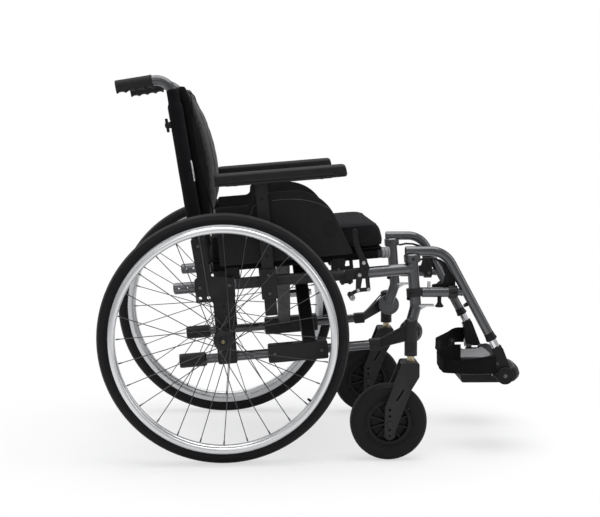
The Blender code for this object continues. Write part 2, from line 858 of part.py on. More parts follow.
def make_brake_mount(side):
    """The clamp on the upper tube with the plate that carries both brake pivots."""
    plate = frame_plate(
        [
            (SHOE_PIVOT[0] - 0.036, SHOE_PIVOT[1] - 0.0106),
            (BRAKE_LEVER_U + 0.0098, SHOE_PIVOT[1] - 0.0106),
            (BRAKE_LEVER_U + 0.0098, BRAKE_LEVER_H + 0.008),
            (BRAKE_LEVER_U - 0.0102, BRAKE_LEVER_H + 0.008),
            (BRAKE_LEVER_U - 0.0102, SHOE_PIVOT[1] + 0.0134),
            (SHOE_PIVOT[0] - 0.036, SHOE_PIVOT[1] + 0.0134),
        ],
        side,
        PLATE_INNER,
        PLATE_OUTER,
    )
    clamp = frame_block(
        side,
        (SHOE_PIVOT[0] - 0.048, SHOE_PIVOT[0] - 0.016),
        (FRAME_HALF - TUBE_RADIUS - 0.004, PLATE_INNER + 0.002),
        (UPPER_TUBE_H - 0.021, UPPER_TUBE_H + 0.0030),
    )
    tube_hole = tube(
        [
            frame_point(SHOE_PIVOT[0] - 0.06, side * FRAME_HALF, UPPER_TUBE_H),
            frame_point(BRAKE_LEVER_U + 0.02, side * FRAME_HALF, UPPER_TUBE_H),
        ],
        TUBE_RADIUS + CLEARANCE,
    )
    joined = [clamp]
    for (u, h), thickness in (
        ((BRAKE_LEVER_U, BRAKE_LEVER_H), BRAKE_LEVER_THICKNESS),
        (SHOE_PIVOT, SHOE_ARM_THICKNESS),
    ):
        place = frame_point(u, 0, h)
        face = PLATE_OUTER + 2 * CLEARANCE + thickness
        joined.append(cross_pin(place, side, PLATE_OUTER - 0.002, face + 0.001, BRAKE_BOLT_RADIUS))
        joined.append(cross_pin(place, side, face, face + 0.003, 0.0065))
    make_part(f"brake_mount_{SIDE_NAMES[side]}", "black_metal", [plate], joined=joined, cut=[tube_hole])


def brake_lever_outline():
    """The lever from the side: a short tail below the pivot and a grip that curves back and up."""
    front = [(0.0132, -0.0178), (0.0136, -0.0120), (0.0114, -0.0046), (0.0070, 0.0079), (0.0020, 0.0200)]
    front += [(-0.0022, 0.0303), (-0.0059, 0.0411), (-0.0082, 0.0520), (-0.0094, 0.0635), (-0.0092, 0.0760)]
    tip = [(-0.0096, 0.0810), (-0.0126, 0.0843), (-0.0164, 0.0846), (-0.0204, 0.0822)]
    rear = [(-0.0229, 0.0772), (-0.0228, 0.0620), (-0.0213, 0.0456), (-0.0180, 0.0324), (-0.0137, 0.0197)]
    rear += [(-0.0100, 0.0079), (-0.0062, -0.0040), (-0.0010, -0.0130), (0.0060, -0.0190), (0.0100, -0.0198)]
    return [(BRAKE_LEVER_U + u, BRAKE_LEVER_H + h) for u, h in front + tip + rear]


def make_brake_lever(side):
    start = PLATE_OUTER + CLEARANCE
    lever = frame_plate(brake_lever_outline(), side, start, start + BRAKE_LEVER_THICKNESS)
    hole = cross_pin(
        frame_point(BRAKE_LEVER_U, 0, BRAKE_LEVER_H),
        side,
        start - 0.002,
        start + BRAKE_LEVER_THICKNESS + 0.002,
        BRAKE_BOLT_RADIUS + CLEARANCE,
    )
    make_part(
        f"brake_lever_{SIDE_NAMES[side]}",
        "black_plastic",
        [lever],
        cut=[hole],
        origin=frame_point(BRAKE_LEVER_U, side * start, BRAKE_LEVER_H),
    )


def make_brake_shoe(side):
    """A bell crank on the lower pivot, with the link bars and the roller that meets the tyre."""
    start = PLATE_OUTER + CLEARANCE
    end = start + SHOE_ARM_THICKNESS
    knee = (SHOE_PIVOT[0] - 0.0062, SHOE_PIVOT[1] - 0.0372)
    toe = (SHOE_PIVOT[0] + 0.0193, SHOE_PIVOT[1] - 0.0370)
    lift = (SHOE_PIVOT[0] + 0.0187, SHOE_PIVOT[1] - 0.0080)
    arms = [
        frame_plate(link(SHOE_PIVOT, 0.0085, knee, 0.0058), side, start, end),
        frame_plate(link(knee, 0.0050, toe, 0.0050), side, start + 0.0005, end - 0.0005),
        frame_plate(link(toe, 0.0052, lift, 0.0052), side, start + 0.0002, end - 0.0002),
        frame_plate(link(knee, 0.0045, SHOE_PLACE, 0.0045), side, start + 0.0007, end - 0.0007),
    ]
    roller = cross_pin(
        frame_point(SHOE_PLACE[0], 0, SHOE_PLACE[1]),
        side,
        start,
        REAR_TRACK_HALF + TYRE_SECTION,
        SHOE_RADIUS,
        12,
    )
    hole = cross_pin(
        frame_point(SHOE_PIVOT[0], 0, SHOE_PIVOT[1]),
        side,
        start - 0.002,
        end + 0.002,
        BRAKE_BOLT_RADIUS + CLEARANCE,
    )
    make_part(
        f"brake_shoe_{SIDE_NAMES[side]}",
        "black_metal",
        [arms[0]],
        joined=[*arms[1:], roller],
        cut=[hole],
        origin=frame_point(SHOE_PIVOT[0], side * start, SHOE_PIVOT[1]),
    )


# Castor


def make_castor_bracket(side):
    """The upright housing, its serrated hub on the frame's disc, and the arm to the lower tube."""
    boss_middle = chair_point(STEM_X, side * CASTOR_HALF, 0)
    bore = STEM_RADIUS + CLEARANCE
    housing = turned(
        [
            (0, HOUSING_BOTTOM),
            (COLLAR_RADIUS, HOUSING_BOTTOM),
            (COLLAR_RADIUS, COLLAR_TOP),
            (HOUSING_RADIUS, COLLAR_TOP),
            (HOUSING_RADIUS, HOUSING_TOP - 0.003),
            (HOUSING_RADIUS - 0.003, HOUSING_TOP),
            (0, HOUSING_TOP),
        ],
        boss_middle,
        Z_WAY,
        16,
        first=X_WAY,
    )
    hub_start = FLANGE_DISC_OUTER + CLEARANCE
    hub = cross_pin(
        frame_point(FLANGE_DISC_U, 0, FLANGE_DISC_H),
        side,
        hub_start,
        CASTOR_HALF - HOUSING_RADIUS + 0.004,
        FLANGE_DISC_RADIUS - 0.008,
        16,
    )
    block = frame_block(
        side,
        (LOWER_TUBE_FRONT - 0.024, LOWER_TUBE_FRONT + 0.0055),
        (FRAME_HALF - 0.014, FRAME_HALF + 0.014),
        (-0.0135, 0.0135),
    )
    arm_rear, arm_front = LOWER_TUBE_FRONT + 0.002, STEM_X - 0.005
    arm = hull(
        [
            frame_point(arm_rear, side * (FRAME_HALF + out), h)
            for out in (-0.010, 0.010)
            for h in (-0.009, 0.012)
        ]
        + [
            chair_point(arm_front, side * (CASTOR_HALF + out), z)
            for out in (-0.008, 0.011)
            for z in (COLLAR_TOP + 0.0015, HOUSING_TOP - 0.0085)
        ]
    )
    stem_bore = turned(
        [
            (0, HOUSING_BOTTOM - 0.002),
            (bore, HOUSING_BOTTOM - 0.002),
            (bore, HOUSING_TOP - 0.010),
            (0, HOUSING_TOP - 0.010),
        ],
        boss_middle,
        Z_WAY,
        16,
        first=X_WAY,
    )
    tube_bore = tube(
        [
            frame_point(LOWER_TUBE_FRONT - 0.030, side * FRAME_HALF, 0),
            frame_point(LOWER_TUBE_FRONT + CLEARANCE, side * FRAME_HALF, 0),
        ],
        LOWER_TUBE_RADIUS + CLEARANCE,
    )
    make_part(
        f"castor_bracket_{SIDE_NAMES[side]}",
        "black_metal",
        [housing],
        joined=[hub, arm, block],
        cut=[stem_bore, tube_bore],
    )


def fork_outline():
    """One leg from the side: square at the crown, leaning back to a rounded foot."""
    foot = (CASTOR_X, CASTOR_RADIUS - 0.027)
    return [
        (STEM_X - 0.024, FORK_TOP),
        (STEM_X + 0.018, FORK_TOP),
        (STEM_X + 0.018, FORK_TOP - 0.035),
        (STEM_X - 0.0013, FORK_TOP - 0.067),
        *arc(foot, 0.0135, 15, -195, 5),
        (CASTOR_X - 0.0125, CASTOR_RADIUS + 0.040),
    ]


def make_castor_fork(side):
    """Two legs, the crown, the stem with its spacer, and the wheel's bolt."""
    stem_foot = chair_point(STEM_X, side * CASTOR_HALF, 0)
    legs = []
    for out in (-FORK_HALF_WIDTH, FORK_HALF_WIDTH - FORK_LEG):
        legs.append(chair_plate(fork_outline(), side, CASTOR_HALF + out, CASTOR_HALF + out + FORK_LEG))
    crown = chair_block(
        side,
        (STEM_X - 0.0235, STEM_X + 0.0175),
        (CASTOR_HALF - FORK_HALF_WIDTH + 0.001, CASTOR_HALF + FORK_HALF_WIDTH - 0.001),
        (FORK_TOP - FORK_CROWN, FORK_TOP - 0.0005),
    )
    stem = turned(
        [
            (0, FORK_TOP - 0.004),
            (SPACER_RADIUS, FORK_TOP - 0.004),
            (SPACER_RADIUS, HOUSING_BOTTOM - CLEARANCE),
            (STEM_RADIUS, HOUSING_BOTTOM - CLEARANCE),
            (STEM_RADIUS, STEM_TOP),
            (0, STEM_TOP),
        ],
        stem_foot,
        Z_WAY,
        16,
        first=X_WAY,
    )
    bolt = cross_pin(
        chair_point(CASTOR_X, 0, CASTOR_RADIUS),
        side,
        CASTOR_HALF - FORK_HALF_WIDTH - 0.002,
        CASTOR_HALF + FORK_HALF_WIDTH + 0.002,
        CASTOR_AXLE_RADIUS,
        12,
    )
    make_part(
        f"castor_fork_{SIDE_NAMES[side]}",
        "black_metal",
        [crown],
        joined=[*legs, stem, bolt],
        origin=stem_foot,
    )


def make_castor_wheel(side):
    """The castor's hub and web, and its solid tyre."""
    centre = chair_point(CASTOR_X, side * CASTOR_HALF, CASTOR_RADIUS)
    bore = CASTOR_AXLE_RADIUS + CLEARANCE
    hub_half, web_half, rim_half = 0.0255, 0.006, CASTOR_HALF_WIDTH - 0.0045
    rim_inner = CASTOR_RIM_RADIUS - 0.0115
    half_profile = [
        (bore, hub_half),
        (0.013, hub_half),
        (0.013, web_half),
        (rim_inner, web_half),
        (rim_inner, rim_half),
        (CASTOR_RIM_RADIUS, rim_half),
    ]
    profile = [(r, -along) for r, along in half_profile] + half_profile[::-1]
    make_part(
        f"castor_hub_{SIDE_NAMES[side]}",
        "black_plastic",
        [turned(profile, centre, Y_WAY, CASTOR_SIDES)],
        origin=centre,
    )
    seat = CASTOR_RIM_RADIUS + CLEARANCE
    depth = CASTOR_RADIUS - seat
    half_tyre = [
        (seat, rim_half),
        (seat + 0.45 * depth, CASTOR_HALF_WIDTH),
        (seat + 0.80 * depth, CASTOR_HALF_WIDTH * 0.86),
        (CASTOR_RADIUS, CASTOR_HALF_WIDTH * 0.40),
    ]
    profile = [(r, -along) for r, along in half_tyre] + half_tyre[::-1]
    make_part(
        f"castor_tyre_{SIDE_NAMES[side]}",
        "rubber",
        [turned(profile, centre, Y_WAY, CASTOR_SIDES)],
        origin=centre,
    )


# Rear wheel


def wheel_centre(side):
    return chair_point(0, side * REAR_TRACK_HALF, REAR_RADIUS)


def make_rear_tyre(side):
    middle = REAR_RADIUS - TYRE_SECTION
    seat = RIM_OUTER + CLEARANCE
    lip = math.degrees(math.acos((seat - middle) / TYRE_SECTION))
    profile = []
    for turn in (-lip, -85, -40, 0, 40, 85, lip):
        a = math.radians(turn)
        profile.append((middle + TYRE_SECTION * math.cos(a), TYRE_SECTION * math.sin(a)))
    make_part(
        f"rear_tyre_{SIDE_NAMES[side]}",
        "rubber",
        [turned(profile, wheel_centre(side), Y_WAY, WHEEL_SIDES)],
        origin=wheel_centre(side),
    )


def make_rear_rim(side):
    shoulder = RIM_INNER + 0.006
    profile = [
        (RIM_OUTER, -RIM_HALF_WIDTH),
        (RIM_OUTER, RIM_HALF_WIDTH),
        (shoulder, RIM_HALF_WIDTH),
        (RIM_INNER, RIM_HALF_WIDTH / 2),
        (RIM_INNER, -RIM_HALF_WIDTH / 2),
        (shoulder, -RIM_HALF_WIDTH),
    ]
    make_part(
        f"rear_rim_{SIDE_NAMES[side]}",
        "silver",
        [turned(profile, wheel_centre(side), Y_WAY, WHEEL_SIDES)],
        origin=wheel_centre(side),
    )


def make_handrim(side):
    """The push rim, with its tabs to the wheel's rim."""
    sides = 6
    centre = wheel_centre(side)
    profile = []
    for n in range(sides):
        a = math.tau * n / sides
        radius = HANDRIM_RADIUS + HANDRIM_TUBE * math.cos(a)
        profile.append((radius, HANDRIM_OFFSET + HANDRIM_TUBE * math.sin(a)))
    tabs = []
    tab_start = RIM_HALF_WIDTH + CLEARANCE
    tab_end = HANDRIM_OFFSET - HANDRIM_TUBE / 2
    tab_in, tab_out = HANDRIM_RADIUS + 0.001, RIM_OUTER - 0.002
    for n in range(HANDRIM_TABS):
        a = math.tau * (n + 0.5) / HANDRIM_TABS
        away = Z_WAY * math.cos(a) + X_WAY * math.sin(a)
        along = Z_WAY * -math.sin(a) + X_WAY * math.cos(a)
        corner = centre + Y_WAY * side * tab_start
        outline = [(tab_in, -0.008), (tab_out, -0.008), (tab_out, 0.008), (tab_in, 0.008)]
        tabs.append(prism(outline, corner, away, along, Y_WAY * side, tab_end - tab_start))
    make_part(
        f"handrim_{SIDE_NAMES[side]}",
        "silver",
        [turned(profile, centre, Y_WAY * side, WHEEL_SIDES)],
        joined=[tabs],
        origin=centre,
    )


def make_rear_hub(side):
    """The hub with its quick-release axle, and the laced spokes."""
    centre = wheel_centre(side)
    inner_end = REAR_TRACK_HALF - PLATE_OUTER - CLEARANCE
    flange_in = FLANGE_OFFSET - FLANGE_THICKNESS / 2
    flange_out = FLANGE_OFFSET + FLANGE_THICKNESS / 2
    button_bore = BUTTON_RADIUS + CLEARANCE
    head_end = flange_out + 0.012
    profile = [
        (0, -AXLE_REACH),
        (AXLE_RADIUS, -AXLE_REACH),
        (AXLE_RADIUS, -inner_end),
        (0.0125, -inner_end),
        (0.0125, -flange_out),
        (FLANGE_RADIUS, -flange_out),
        (FLANGE_RADIUS, -flange_in),
        (HUB_BARREL, -flange_in + 0.0005),
        (HUB_BARREL, flange_in - 0.0005),
        (FLANGE_RADIUS, flange_in),
        (FLANGE_RADIUS, flange_out),
        (0.0185, flange_out + 0.003),
        (0.0080, flange_out + 0.006),
        (0.0080, head_end),
        (button_bore, head_end),
        (button_bore, head_end - 0.010),
        (0, head_end - 0.010),
    ]
    hole_radius = FLANGE_RADIUS - 0.003
    rim_end = RIM_APOTHEM - 2 * CLEARANCE
    spokes = []
    for n in range(SPOKES):
        flange_side = 1 if n % 2 == 0 else -1
        leading = (n // 2) % 2 == 0
        hub_offset = flange_out - 0.0005 if leading else flange_in + 0.0005
        rim_offset = 0.0042 if leading else 0.0012
        rim_angle = math.tau * n / SPOKES
        hub_angle = rim_angle + math.radians(SPOKE_SWEEP if leading else -SPOKE_SWEEP)
        ends = []
        for angle, radius, offset in ((hub_angle, hole_radius, hub_offset), (rim_angle, rim_end, rim_offset)):
            away = Z_WAY * math.cos(angle) + X_WAY * math.sin(angle)
            ends.append(centre + away * radius + Y_WAY * side * flange_side * offset)
        spokes.append(tube(ends, SPOKE_RADIUS, 4))
    make_part(
        f"rear_hub_{SIDE_NAMES[side]}",
        "black_metal",
        [turned(profile, centre, Y_WAY * side, 12)],
        joined=[spokes],
        origin=centre,
    )
    button = turned(
        [
            (0, head_end - 0.010 + BUTTON_TRAVEL + CLEARANCE),
            (BUTTON_RADIUS, head_end - 0.010 + BUTTON_TRAVEL + CLEARANCE),
            (BUTTON_RADIUS, head_end + BUTTON_TRAVEL),
            (0, head_end + BUTTON_TRAVEL),
        ],
        centre,
        Y_WAY * side,
        12,
    )
    make_part(f"axle_button_{SIDE_NAMES[side]}", "brass", [button], origin=centre)


# Leg support


def make_hanger(side):
    """The swing-away tube over the front tube, its knuckle, cross bar and end cap."""
    y = side * FRAME_HALF
    pivot = frame_point(FRONT_TUBE_U, y, 0)
    path = rounded_path(
        [
            chair_point(HANGER_REAR_X, y, HANGER_Z),
            chair_point(HANGER_CORNER_X, y, HANGER_Z),
            leg_point(HANGER_LENGTH, y),
        ],
        HANGER_BEND,
        5,
    )
    cup_top = FRONT_TUBE_TOP + 0.009
    cup = turned(
        [
            (0, HANGER_CUP_BOTTOM),
            (HANGER_CUP_RADIUS, HANGER_CUP_BOTTOM),
            (HANGER_CUP_RADIUS, cup_top),
            (0, cup_top),
        ],
        pivot,
        H_WAY,
        16,
    )
    knuckle = turned(
        [
            (0, KNUCKLE_H - KNUCKLE_HEIGHT / 2),
            (KNUCKLE_RADIUS, KNUCKLE_H - KNUCKLE_HEIGHT / 2),
            (KNUCKLE_RADIUS, KNUCKLE_H + KNUCKLE_HEIGHT / 2),
            (0, KNUCKLE_H + KNUCKLE_HEIGHT / 2),
        ],
        pivot,
        H_WAY,
        16,
    )
    hole_radius = TUBE_RADIUS + SLACK
    hole = turned(
        [
            (0, KNUCKLE_H - KNUCKLE_HEIGHT),
            (hole_radius, KNUCKLE_H - KNUCKLE_HEIGHT),
            (hole_radius, FRONT_TUBE_TOP + SLACK),
            (0, FRONT_TUBE_TOP + SLACK),
        ],
        pivot,
        H_WAY,
        16,
    )
    bar_start_x = frame_point(FRONT_TUBE_U, y, KNUCKLE_H).x + CENTRE_X + TUBE_RADIUS + 0.004
    leg_at_bar = leg_point((HANGER_Z - BAR_Z) / math.cos(HANGER_LEAN), y).x + CENTRE_X
    bar = turned(
        [
            (0, bar_start_x),
            (BAR_RADIUS, bar_start_x),
            (BAR_RADIUS, BAR_FRONT_X),
            (BAR_COLLAR_RADIUS, BAR_FRONT_X),
            (BAR_COLLAR_RADIUS, COLLAR_FRONT_X),
            (0.009, COLLAR_FRONT_X),
            (0.009, leg_at_bar),
            (0, leg_at_bar),
        ],
        chair_point(0, y, BAR_Z),
        X_WAY,
        12,
    )
    mushroom = turned(
        [
            (0, BAR_Z - BAR_RADIUS - 0.0250),
            (0.0105, BAR_Z - BAR_RADIUS - 0.0250),
            (0.0105, BAR_Z - BAR_RADIUS - 0.0190),
            (0.0050, BAR_Z - BAR_RADIUS - 0.0130),
            (0.0050, BAR_Z),
            (0, BAR_Z),
        ],
        chair_point(MUSHROOM_X, y, 0),
        Z_WAY,
        10,
    )
    pin = turned(
        [(0, BAR_Z), (0.004, BAR_Z), (0.004, BAR_Z + BAR_RADIUS + 0.0145), (0, BAR_Z + BAR_RADIUS + 0.0145)],
        chair_point(PIN_X, y, 0),
        Z_WAY,
        6,
    )
    cap = tube(
        [leg_point(HANGER_LENGTH - END_CAP_LENGTH + 0.004, y), leg_point(HANGER_LENGTH + 0.004, y)],
        END_CAP_RADIUS,
    )
    extension_bore = tube(
        [leg_point(HANGER_LENGTH - EXTENSION_INSERT - 0.004, y), leg_point(HANGER_LENGTH + 0.010, y)],
        EXTENSION_RADIUS + CLEARANCE,
    )
    make_part(
        f"hanger_{SIDE_NAMES[side]}",
        "frame_paint",
        [tube(path, HANGER_RADIUS)],
        joined=[cup, knuckle, bar, mushroom, pin, cap],
        cut=[hole, extension_bore],
        origin=pivot,
    )


def latch_outline():
    """A fin that rises from the pivot to a thin tail, with a foot that reaches back over the bar."""
    pivot = (LATCH_X, BAR_Z)
    tail = (pivot[0] - 0.0825, pivot[1] + 0.0785)
    return [
        *arc(pivot, 0.0100, -110, 20, 5),
        (pivot[0] + 0.0090, pivot[1] + 0.0240),
        (pivot[0] + 0.0010, pivot[1] + 0.0480),
        (pivot[0] - 0.0150, pivot[1] + 0.0700),
        (pivot[0] - 0.0270, pivot[1] + 0.0785),
        (pivot[0] - 0.0450, pivot[1] + 0.0835),
        (pivot[0] - 0.0650, pivot[1] + 0.0845),
        *arc(tail, 0.0024, 110, 290, 3),
        (pivot[0] - 0.0645, pivot[1] + 0.0797),
        (pivot[0] - 0.0460, pivot[1] + 0.0787),
        (pivot[0] - 0.0330, pivot[1] + 0.0735),
        (pivot[0] - 0.0240, pivot[1] + 0.0600),
        (pivot[0] - 0.0170, pivot[1] + 0.0400),
        (pivot[0] - 0.0220, pivot[1] + 0.0210),
        (pivot[0] - 0.0490, pivot[1] + 0.0170),
        (pivot[0] - 0.0500, pivot[1] + 0.0100),
        (pivot[0] - 0.0250, pivot[1] + 0.0060),
    ]


def make_hanger_latch(side):
    outer = FRAME_HALF - BAR_COLLAR_RADIUS - CLEARANCE
    latch = chair_plate(latch_outline(), side, outer - LATCH_THICKNESS, outer)
    make_part(
        f"hanger_latch_{SIDE_NAMES[side]}",
        "black_plastic",
        [latch],
        origin=chair_point(LATCH_X, side * outer, BAR_Z),
    )


def make_extension(side):
    """The sliding tube with the ankle block, its round boss, and the footplate's hinge pin."""
    y = side * FRAME_HALF
    top = leg_point(HANGER_LENGTH - EXTENSION_INSERT, y)
    neck = leg_point(HANGER_LENGTH + 0.036, y)
    rod = tube([top, leg_point(HANGER_LENGTH + 0.050, y)], EXTENSION_RADIUS)
    neck_spot = (neck.x + CENTRE_X, neck.z)
    ankle = (ANKLE_X, ANKLE_Z)
    inner, outer = FRAME_HALF - ANKLE_HALF_WIDTH, FRAME_HALF + ANKLE_HALF_WIDTH
    block = chair_plate(link(neck_spot, 0.0130, ankle, ANKLE_RADIUS - 0.001, 6), side, inner, outer)
    boss = cross_pin(chair_point(ANKLE_X, 0, ANKLE_Z), side, FRAME_HALF, outer + 0.010, ANKLE_RADIUS, 18)
    screw = cross_pin(chair_point(ANKLE_X, 0, ANKLE_Z), side, outer + 0.009, outer + 0.0115, 0.004, 6)
    lug = chair_block(
        side,
        (ANKLE_X - 0.008, ANKLE_X + 0.008),
        (FLIP_HALF - 0.0040, inner + 0.002),
        (FLIP_Z - 0.0045, FLIP_Z + 0.0045),
    )
    pin = turned(
        [(0, -0.026), (FLIP_PIN_RADIUS, -0.026), (FLIP_PIN_RADIUS, 0.026), (0, 0.026)],
        chair_point(ANKLE_X, side * FLIP_HALF, FLIP_Z),
        X_WAY,
        12,
    )
    make_part(
        f"extension_{SIDE_NAMES[side]}",
        "chrome",
        [rod],
        joined=[block, boss, screw, lug, pin],
        origin=top,
    )


def tray_ring(side, out, cut_back):
    """The tray's outline from the side at one distance out, its toe drawn back by cut_back."""
    toe, top = FOOTPLATE_TOE_X, FOOTPLATE_TOP
    profile = [
        (toe - 0.1590, top - 0.0216),
        (toe - 0.0570, top - 0.0220),
        (toe - 0.0120, top - 0.0196),
        (toe - 0.0020, top - 0.0110),
        (toe, top - 0.0040),
        (toe - 0.0040, top + 0.0070),
        (toe - 0.0110, top + TOE_RISE),
        (toe - 0.0220, top + TOE_RISE),
        (toe - 0.0330, top + 0.0075),
        (toe - 0.0480, top + 0.0015),
        (toe - 0.0620, top - 0.0008),
        (toe - 0.1610, top - 0.0004),
    ]
    ring = []
    for x, z in profile:
        forward = max(0.0, x - (toe - TOE_LENGTH)) / TOE_LENGTH
        ring.append(chair_point(x - cut_back * forward, side * out, z))
    return ring


def make_footplate(side):
    """The tray with its raised toe, the two hinge knuckles and the strap's peg."""
    top = FOOTPLATE_TOP
    tray = skin([tray_ring(side, out, cut_back) for out, cut_back in TRAY_CORNERS])
    barrel = FLIP_PIN_RADIUS + CLEARANCE + KNUCKLE_WALL
    joined = []
    for start, end in ((-0.024, -0.009), (0.009, 0.024)):
        joined.append(
            turned(
                [(0, start), (barrel, start), (barrel, end), (0, end)],
                chair_point(ANKLE_X, side * FLIP_HALF, FLIP_Z),
                X_WAY,
                12,
            )
        )
        joined.append(
            chair_block(
                side,
                (ANKLE_X + start, ANKLE_X + end),
                (FOOTPLATE_OUTER - 0.004, FLIP_HALF - 0.004),
                (FLIP_Z - barrel + 0.001, top - 0.003),
            )
        )
    peg = chair_block(
        side,
        (ANKLE_X - STRAP_PEG_REAR, ANKLE_X - STRAP_PEG_FRONT),
        (FOOTPLATE_INNER, FOOTPLATE_INNER + 0.004),
        (top - 0.004, STRAP_TOP - 0.002),
    )
    pin_hole = turned(
        [
            (0, -0.03),
            (FLIP_PIN_RADIUS + CLEARANCE, -0.03),
            (FLIP_PIN_RADIUS + CLEARANCE, 0.03),
            (0, 0.03),
        ],
        chair_point(ANKLE_X, side * FLIP_HALF, FLIP_Z),
        X_WAY,
        12,
    )
    make_part(
        f"footplate_{SIDE_NAMES[side]}",
        "black_plastic",
        [tray],
        joined=[*joined, peg],
        cut=[pin_hole],
        origin=chair_point(ANKLE_X, side * FLIP_HALF, FLIP_Z),
    )


def make_heel_strap(side):
    """The band from the ankle block, round behind the heel, to the tray's inner edge."""
    ankle_face = FRAME_HALF + ANKLE_HALF_WIDTH + CLEARANCE + STRAP_THICKNESS / 2
    inner_face = FOOTPLATE_INNER + 0.004 + CLEARANCE + STRAP_THICKNESS / 2
    heel = FOOTPLATE_TOE_X - STRAP_REACH[side]
    corners = [
        Vector((ANKLE_X - 0.0225, ankle_face, 0)),
        Vector((ANKLE_X - 0.055, ankle_face, 0)),
        Vector((heel, FOOTPLATE_OUTER - 0.010, 0)),
        Vector((heel, inner_face + 0.020, 0)),
        Vector((ANKLE_X - 0.098, inner_face, 0)),
        Vector((ANKLE_X - 0.066, inner_face, 0)),
    ]
    path = [p.to_2d() for p in rounded_path(corners, 0.018, 3)]
    outline = strip(path, STRAP_THICKNESS)
    foot = chair_point(0, 0, STRAP_BOTTOM)
    band = prism(outline, foot, X_WAY, Y_WAY * side, Z_WAY, STRAP_TOP - STRAP_BOTTOM)
    make_part(f"heel_strap_{SIDE_NAMES[side]}", "fabric", [band])


# Folding cross


def cross_arm_parts(low_side, u):
    """The pivot sleeve, the bar up to the opposite rail, and that rail."""
    low, high = low_side * FRAME_HALF, -low_side * RAIL_HALF
    sleeve = frame_block(
        low_side,
        (PIVOT_SLEEVE_REAR, PIVOT_SLEEVE_FRONT),
        (FRAME_HALF - PIVOT_SLEEVE_WIDTH / 2, FRAME_HALF + PIVOT_SLEEVE_WIDTH / 2),
        (-PIVOT_SLEEVE_HEIGHT / 2, PIVOT_SLEEVE_HEIGHT / 2),
    )
    foot, head = frame_point(u, low, 0), frame_point(u, high, RAIL_H)
    ahead = (head - foot).normalized()
    across = ahead.cross(U_WAY)
    half_width, half_depth = ARM_WIDTH / 2, ARM_DEPTH / 2
    outline = [
        (-half_width, -half_depth),
        (half_width, -half_depth),
        (half_width, half_depth),
        (-half_width, half_depth),
    ]
    start = foot + ahead * (PIVOT_SLEEVE_WIDTH / 2 - 0.004)
    bar = prism(outline, start, U_WAY, across, ahead, (head - start).length)
    rail = tube([frame_point(RAIL_REAR, high, RAIL_H), frame_point(RAIL_FRONT, high, RAIL_H)], RAIL_RADIUS)
    bore = tube(
        [frame_point(PIVOT_SLEEVE_REAR - 0.01, low, 0), frame_point(PIVOT_SLEEVE_FRONT + 0.01, low, 0)],
        LOWER_TUBE_RADIUS + SLACK,
    )
    return sleeve, bar, rail, bore


def centre_pin(profile):
    """A shape turned about the line of the cross's middle bolt."""
    rise = RAIL_H * FRAME_HALF / (FRAME_HALF + RAIL_HALF)
    return turned(profile, frame_point(0, 0, rise), U_WAY, 16)


def make_cross_arms():
    a_rear = ARM_A_U - ARM_WIDTH / 2
    b_front, b_rear = ARM_B_U + ARM_WIDTH / 2, ARM_B_U - ARM_WIDTH / 2
    sleeve, bar, rail, bore = cross_arm_parts(RIGHT, ARM_A_U)
    head_start = b_rear - CLEARANCE - CENTRE_BOLT_HEAD_LENGTH
    bolt = centre_pin(
        [
            (0, head_start),
            (CENTRE_BOLT_HEAD, head_start),
            (CENTRE_BOLT_HEAD, b_rear - CLEARANCE),
            (CENTRE_BOLT_RADIUS, b_rear - CLEARANCE),
            (CENTRE_BOLT_RADIUS, b_front + CLEARANCE),
            (CENTRE_BOLT_HEAD, b_front + CLEARANCE),
            (CENTRE_BOLT_HEAD, a_rear + 0.004),
            (0, a_rear + 0.004),
        ]
    )
    make_part(
        "cross_arm_a",
        "black_metal",
        [bar],
        joined=[sleeve, rail, bolt],
        cut=[bore],
        origin=frame_point(ARM_A_U, RIGHT * FRAME_HALF, 0),
    )
    sleeve, bar, rail, bore = cross_arm_parts(LEFT, ARM_B_U)
    bolt_hole = centre_pin(
        [
            (0, b_rear - 0.01),
            (CENTRE_BOLT_RADIUS + CLEARANCE, b_rear - 0.01),
            (CENTRE_BOLT_RADIUS + CLEARANCE, b_front + 0.01),
            (0, b_front + 0.01),
        ]
    )
    rise = RAIL_H * FRAME_HALF / (FRAME_HALF + RAIL_HALF)
    make_part(
        "cross_arm_b",
        "frame_paint",
        [bar],
        joined=[sleeve, rail],
        cut=[bore, bolt_hole],
        origin=frame_point(ARM_B_U, 0, rise),
    )


# Seat and back upholstery


def rounded_loop(half_length, half_width, corner, draw, count):
    """A rounded rectangle whose sides draw in between the corners, as (along, out) points."""
    points = []
    for k in range(count):
        a = math.tau * (k + 0.5) / count
        power = 2.0 * corner
        c, s = math.cos(a), math.sin(a)
        along = math.copysign(abs(c) ** (2 / power), c)
        out = math.copysign(abs(s) ** (2 / power), s)
        pull_along = draw * (1 - out**2) * abs(along)
        pull_out = draw * (1 - along**2) * abs(out)
        points.append(
            (
                along * half_length - math.copysign(pull_along, along),
                out * half_width - math.copysign(pull_out, out),
            )
        )
    return points


def make_seat_sling():
    half = RAIL_HALF + RAIL_RADIUS
    sling = frame_block(
        LEFT,
        (RAIL_REAR + 0.006, RAIL_FRONT - 0.020),
        (-half, half),
        (SLING_BOTTOM, SLING_BOTTOM + SLING_THICKNESS),
    )
    make_part("seat_sling", "fabric", [sling])


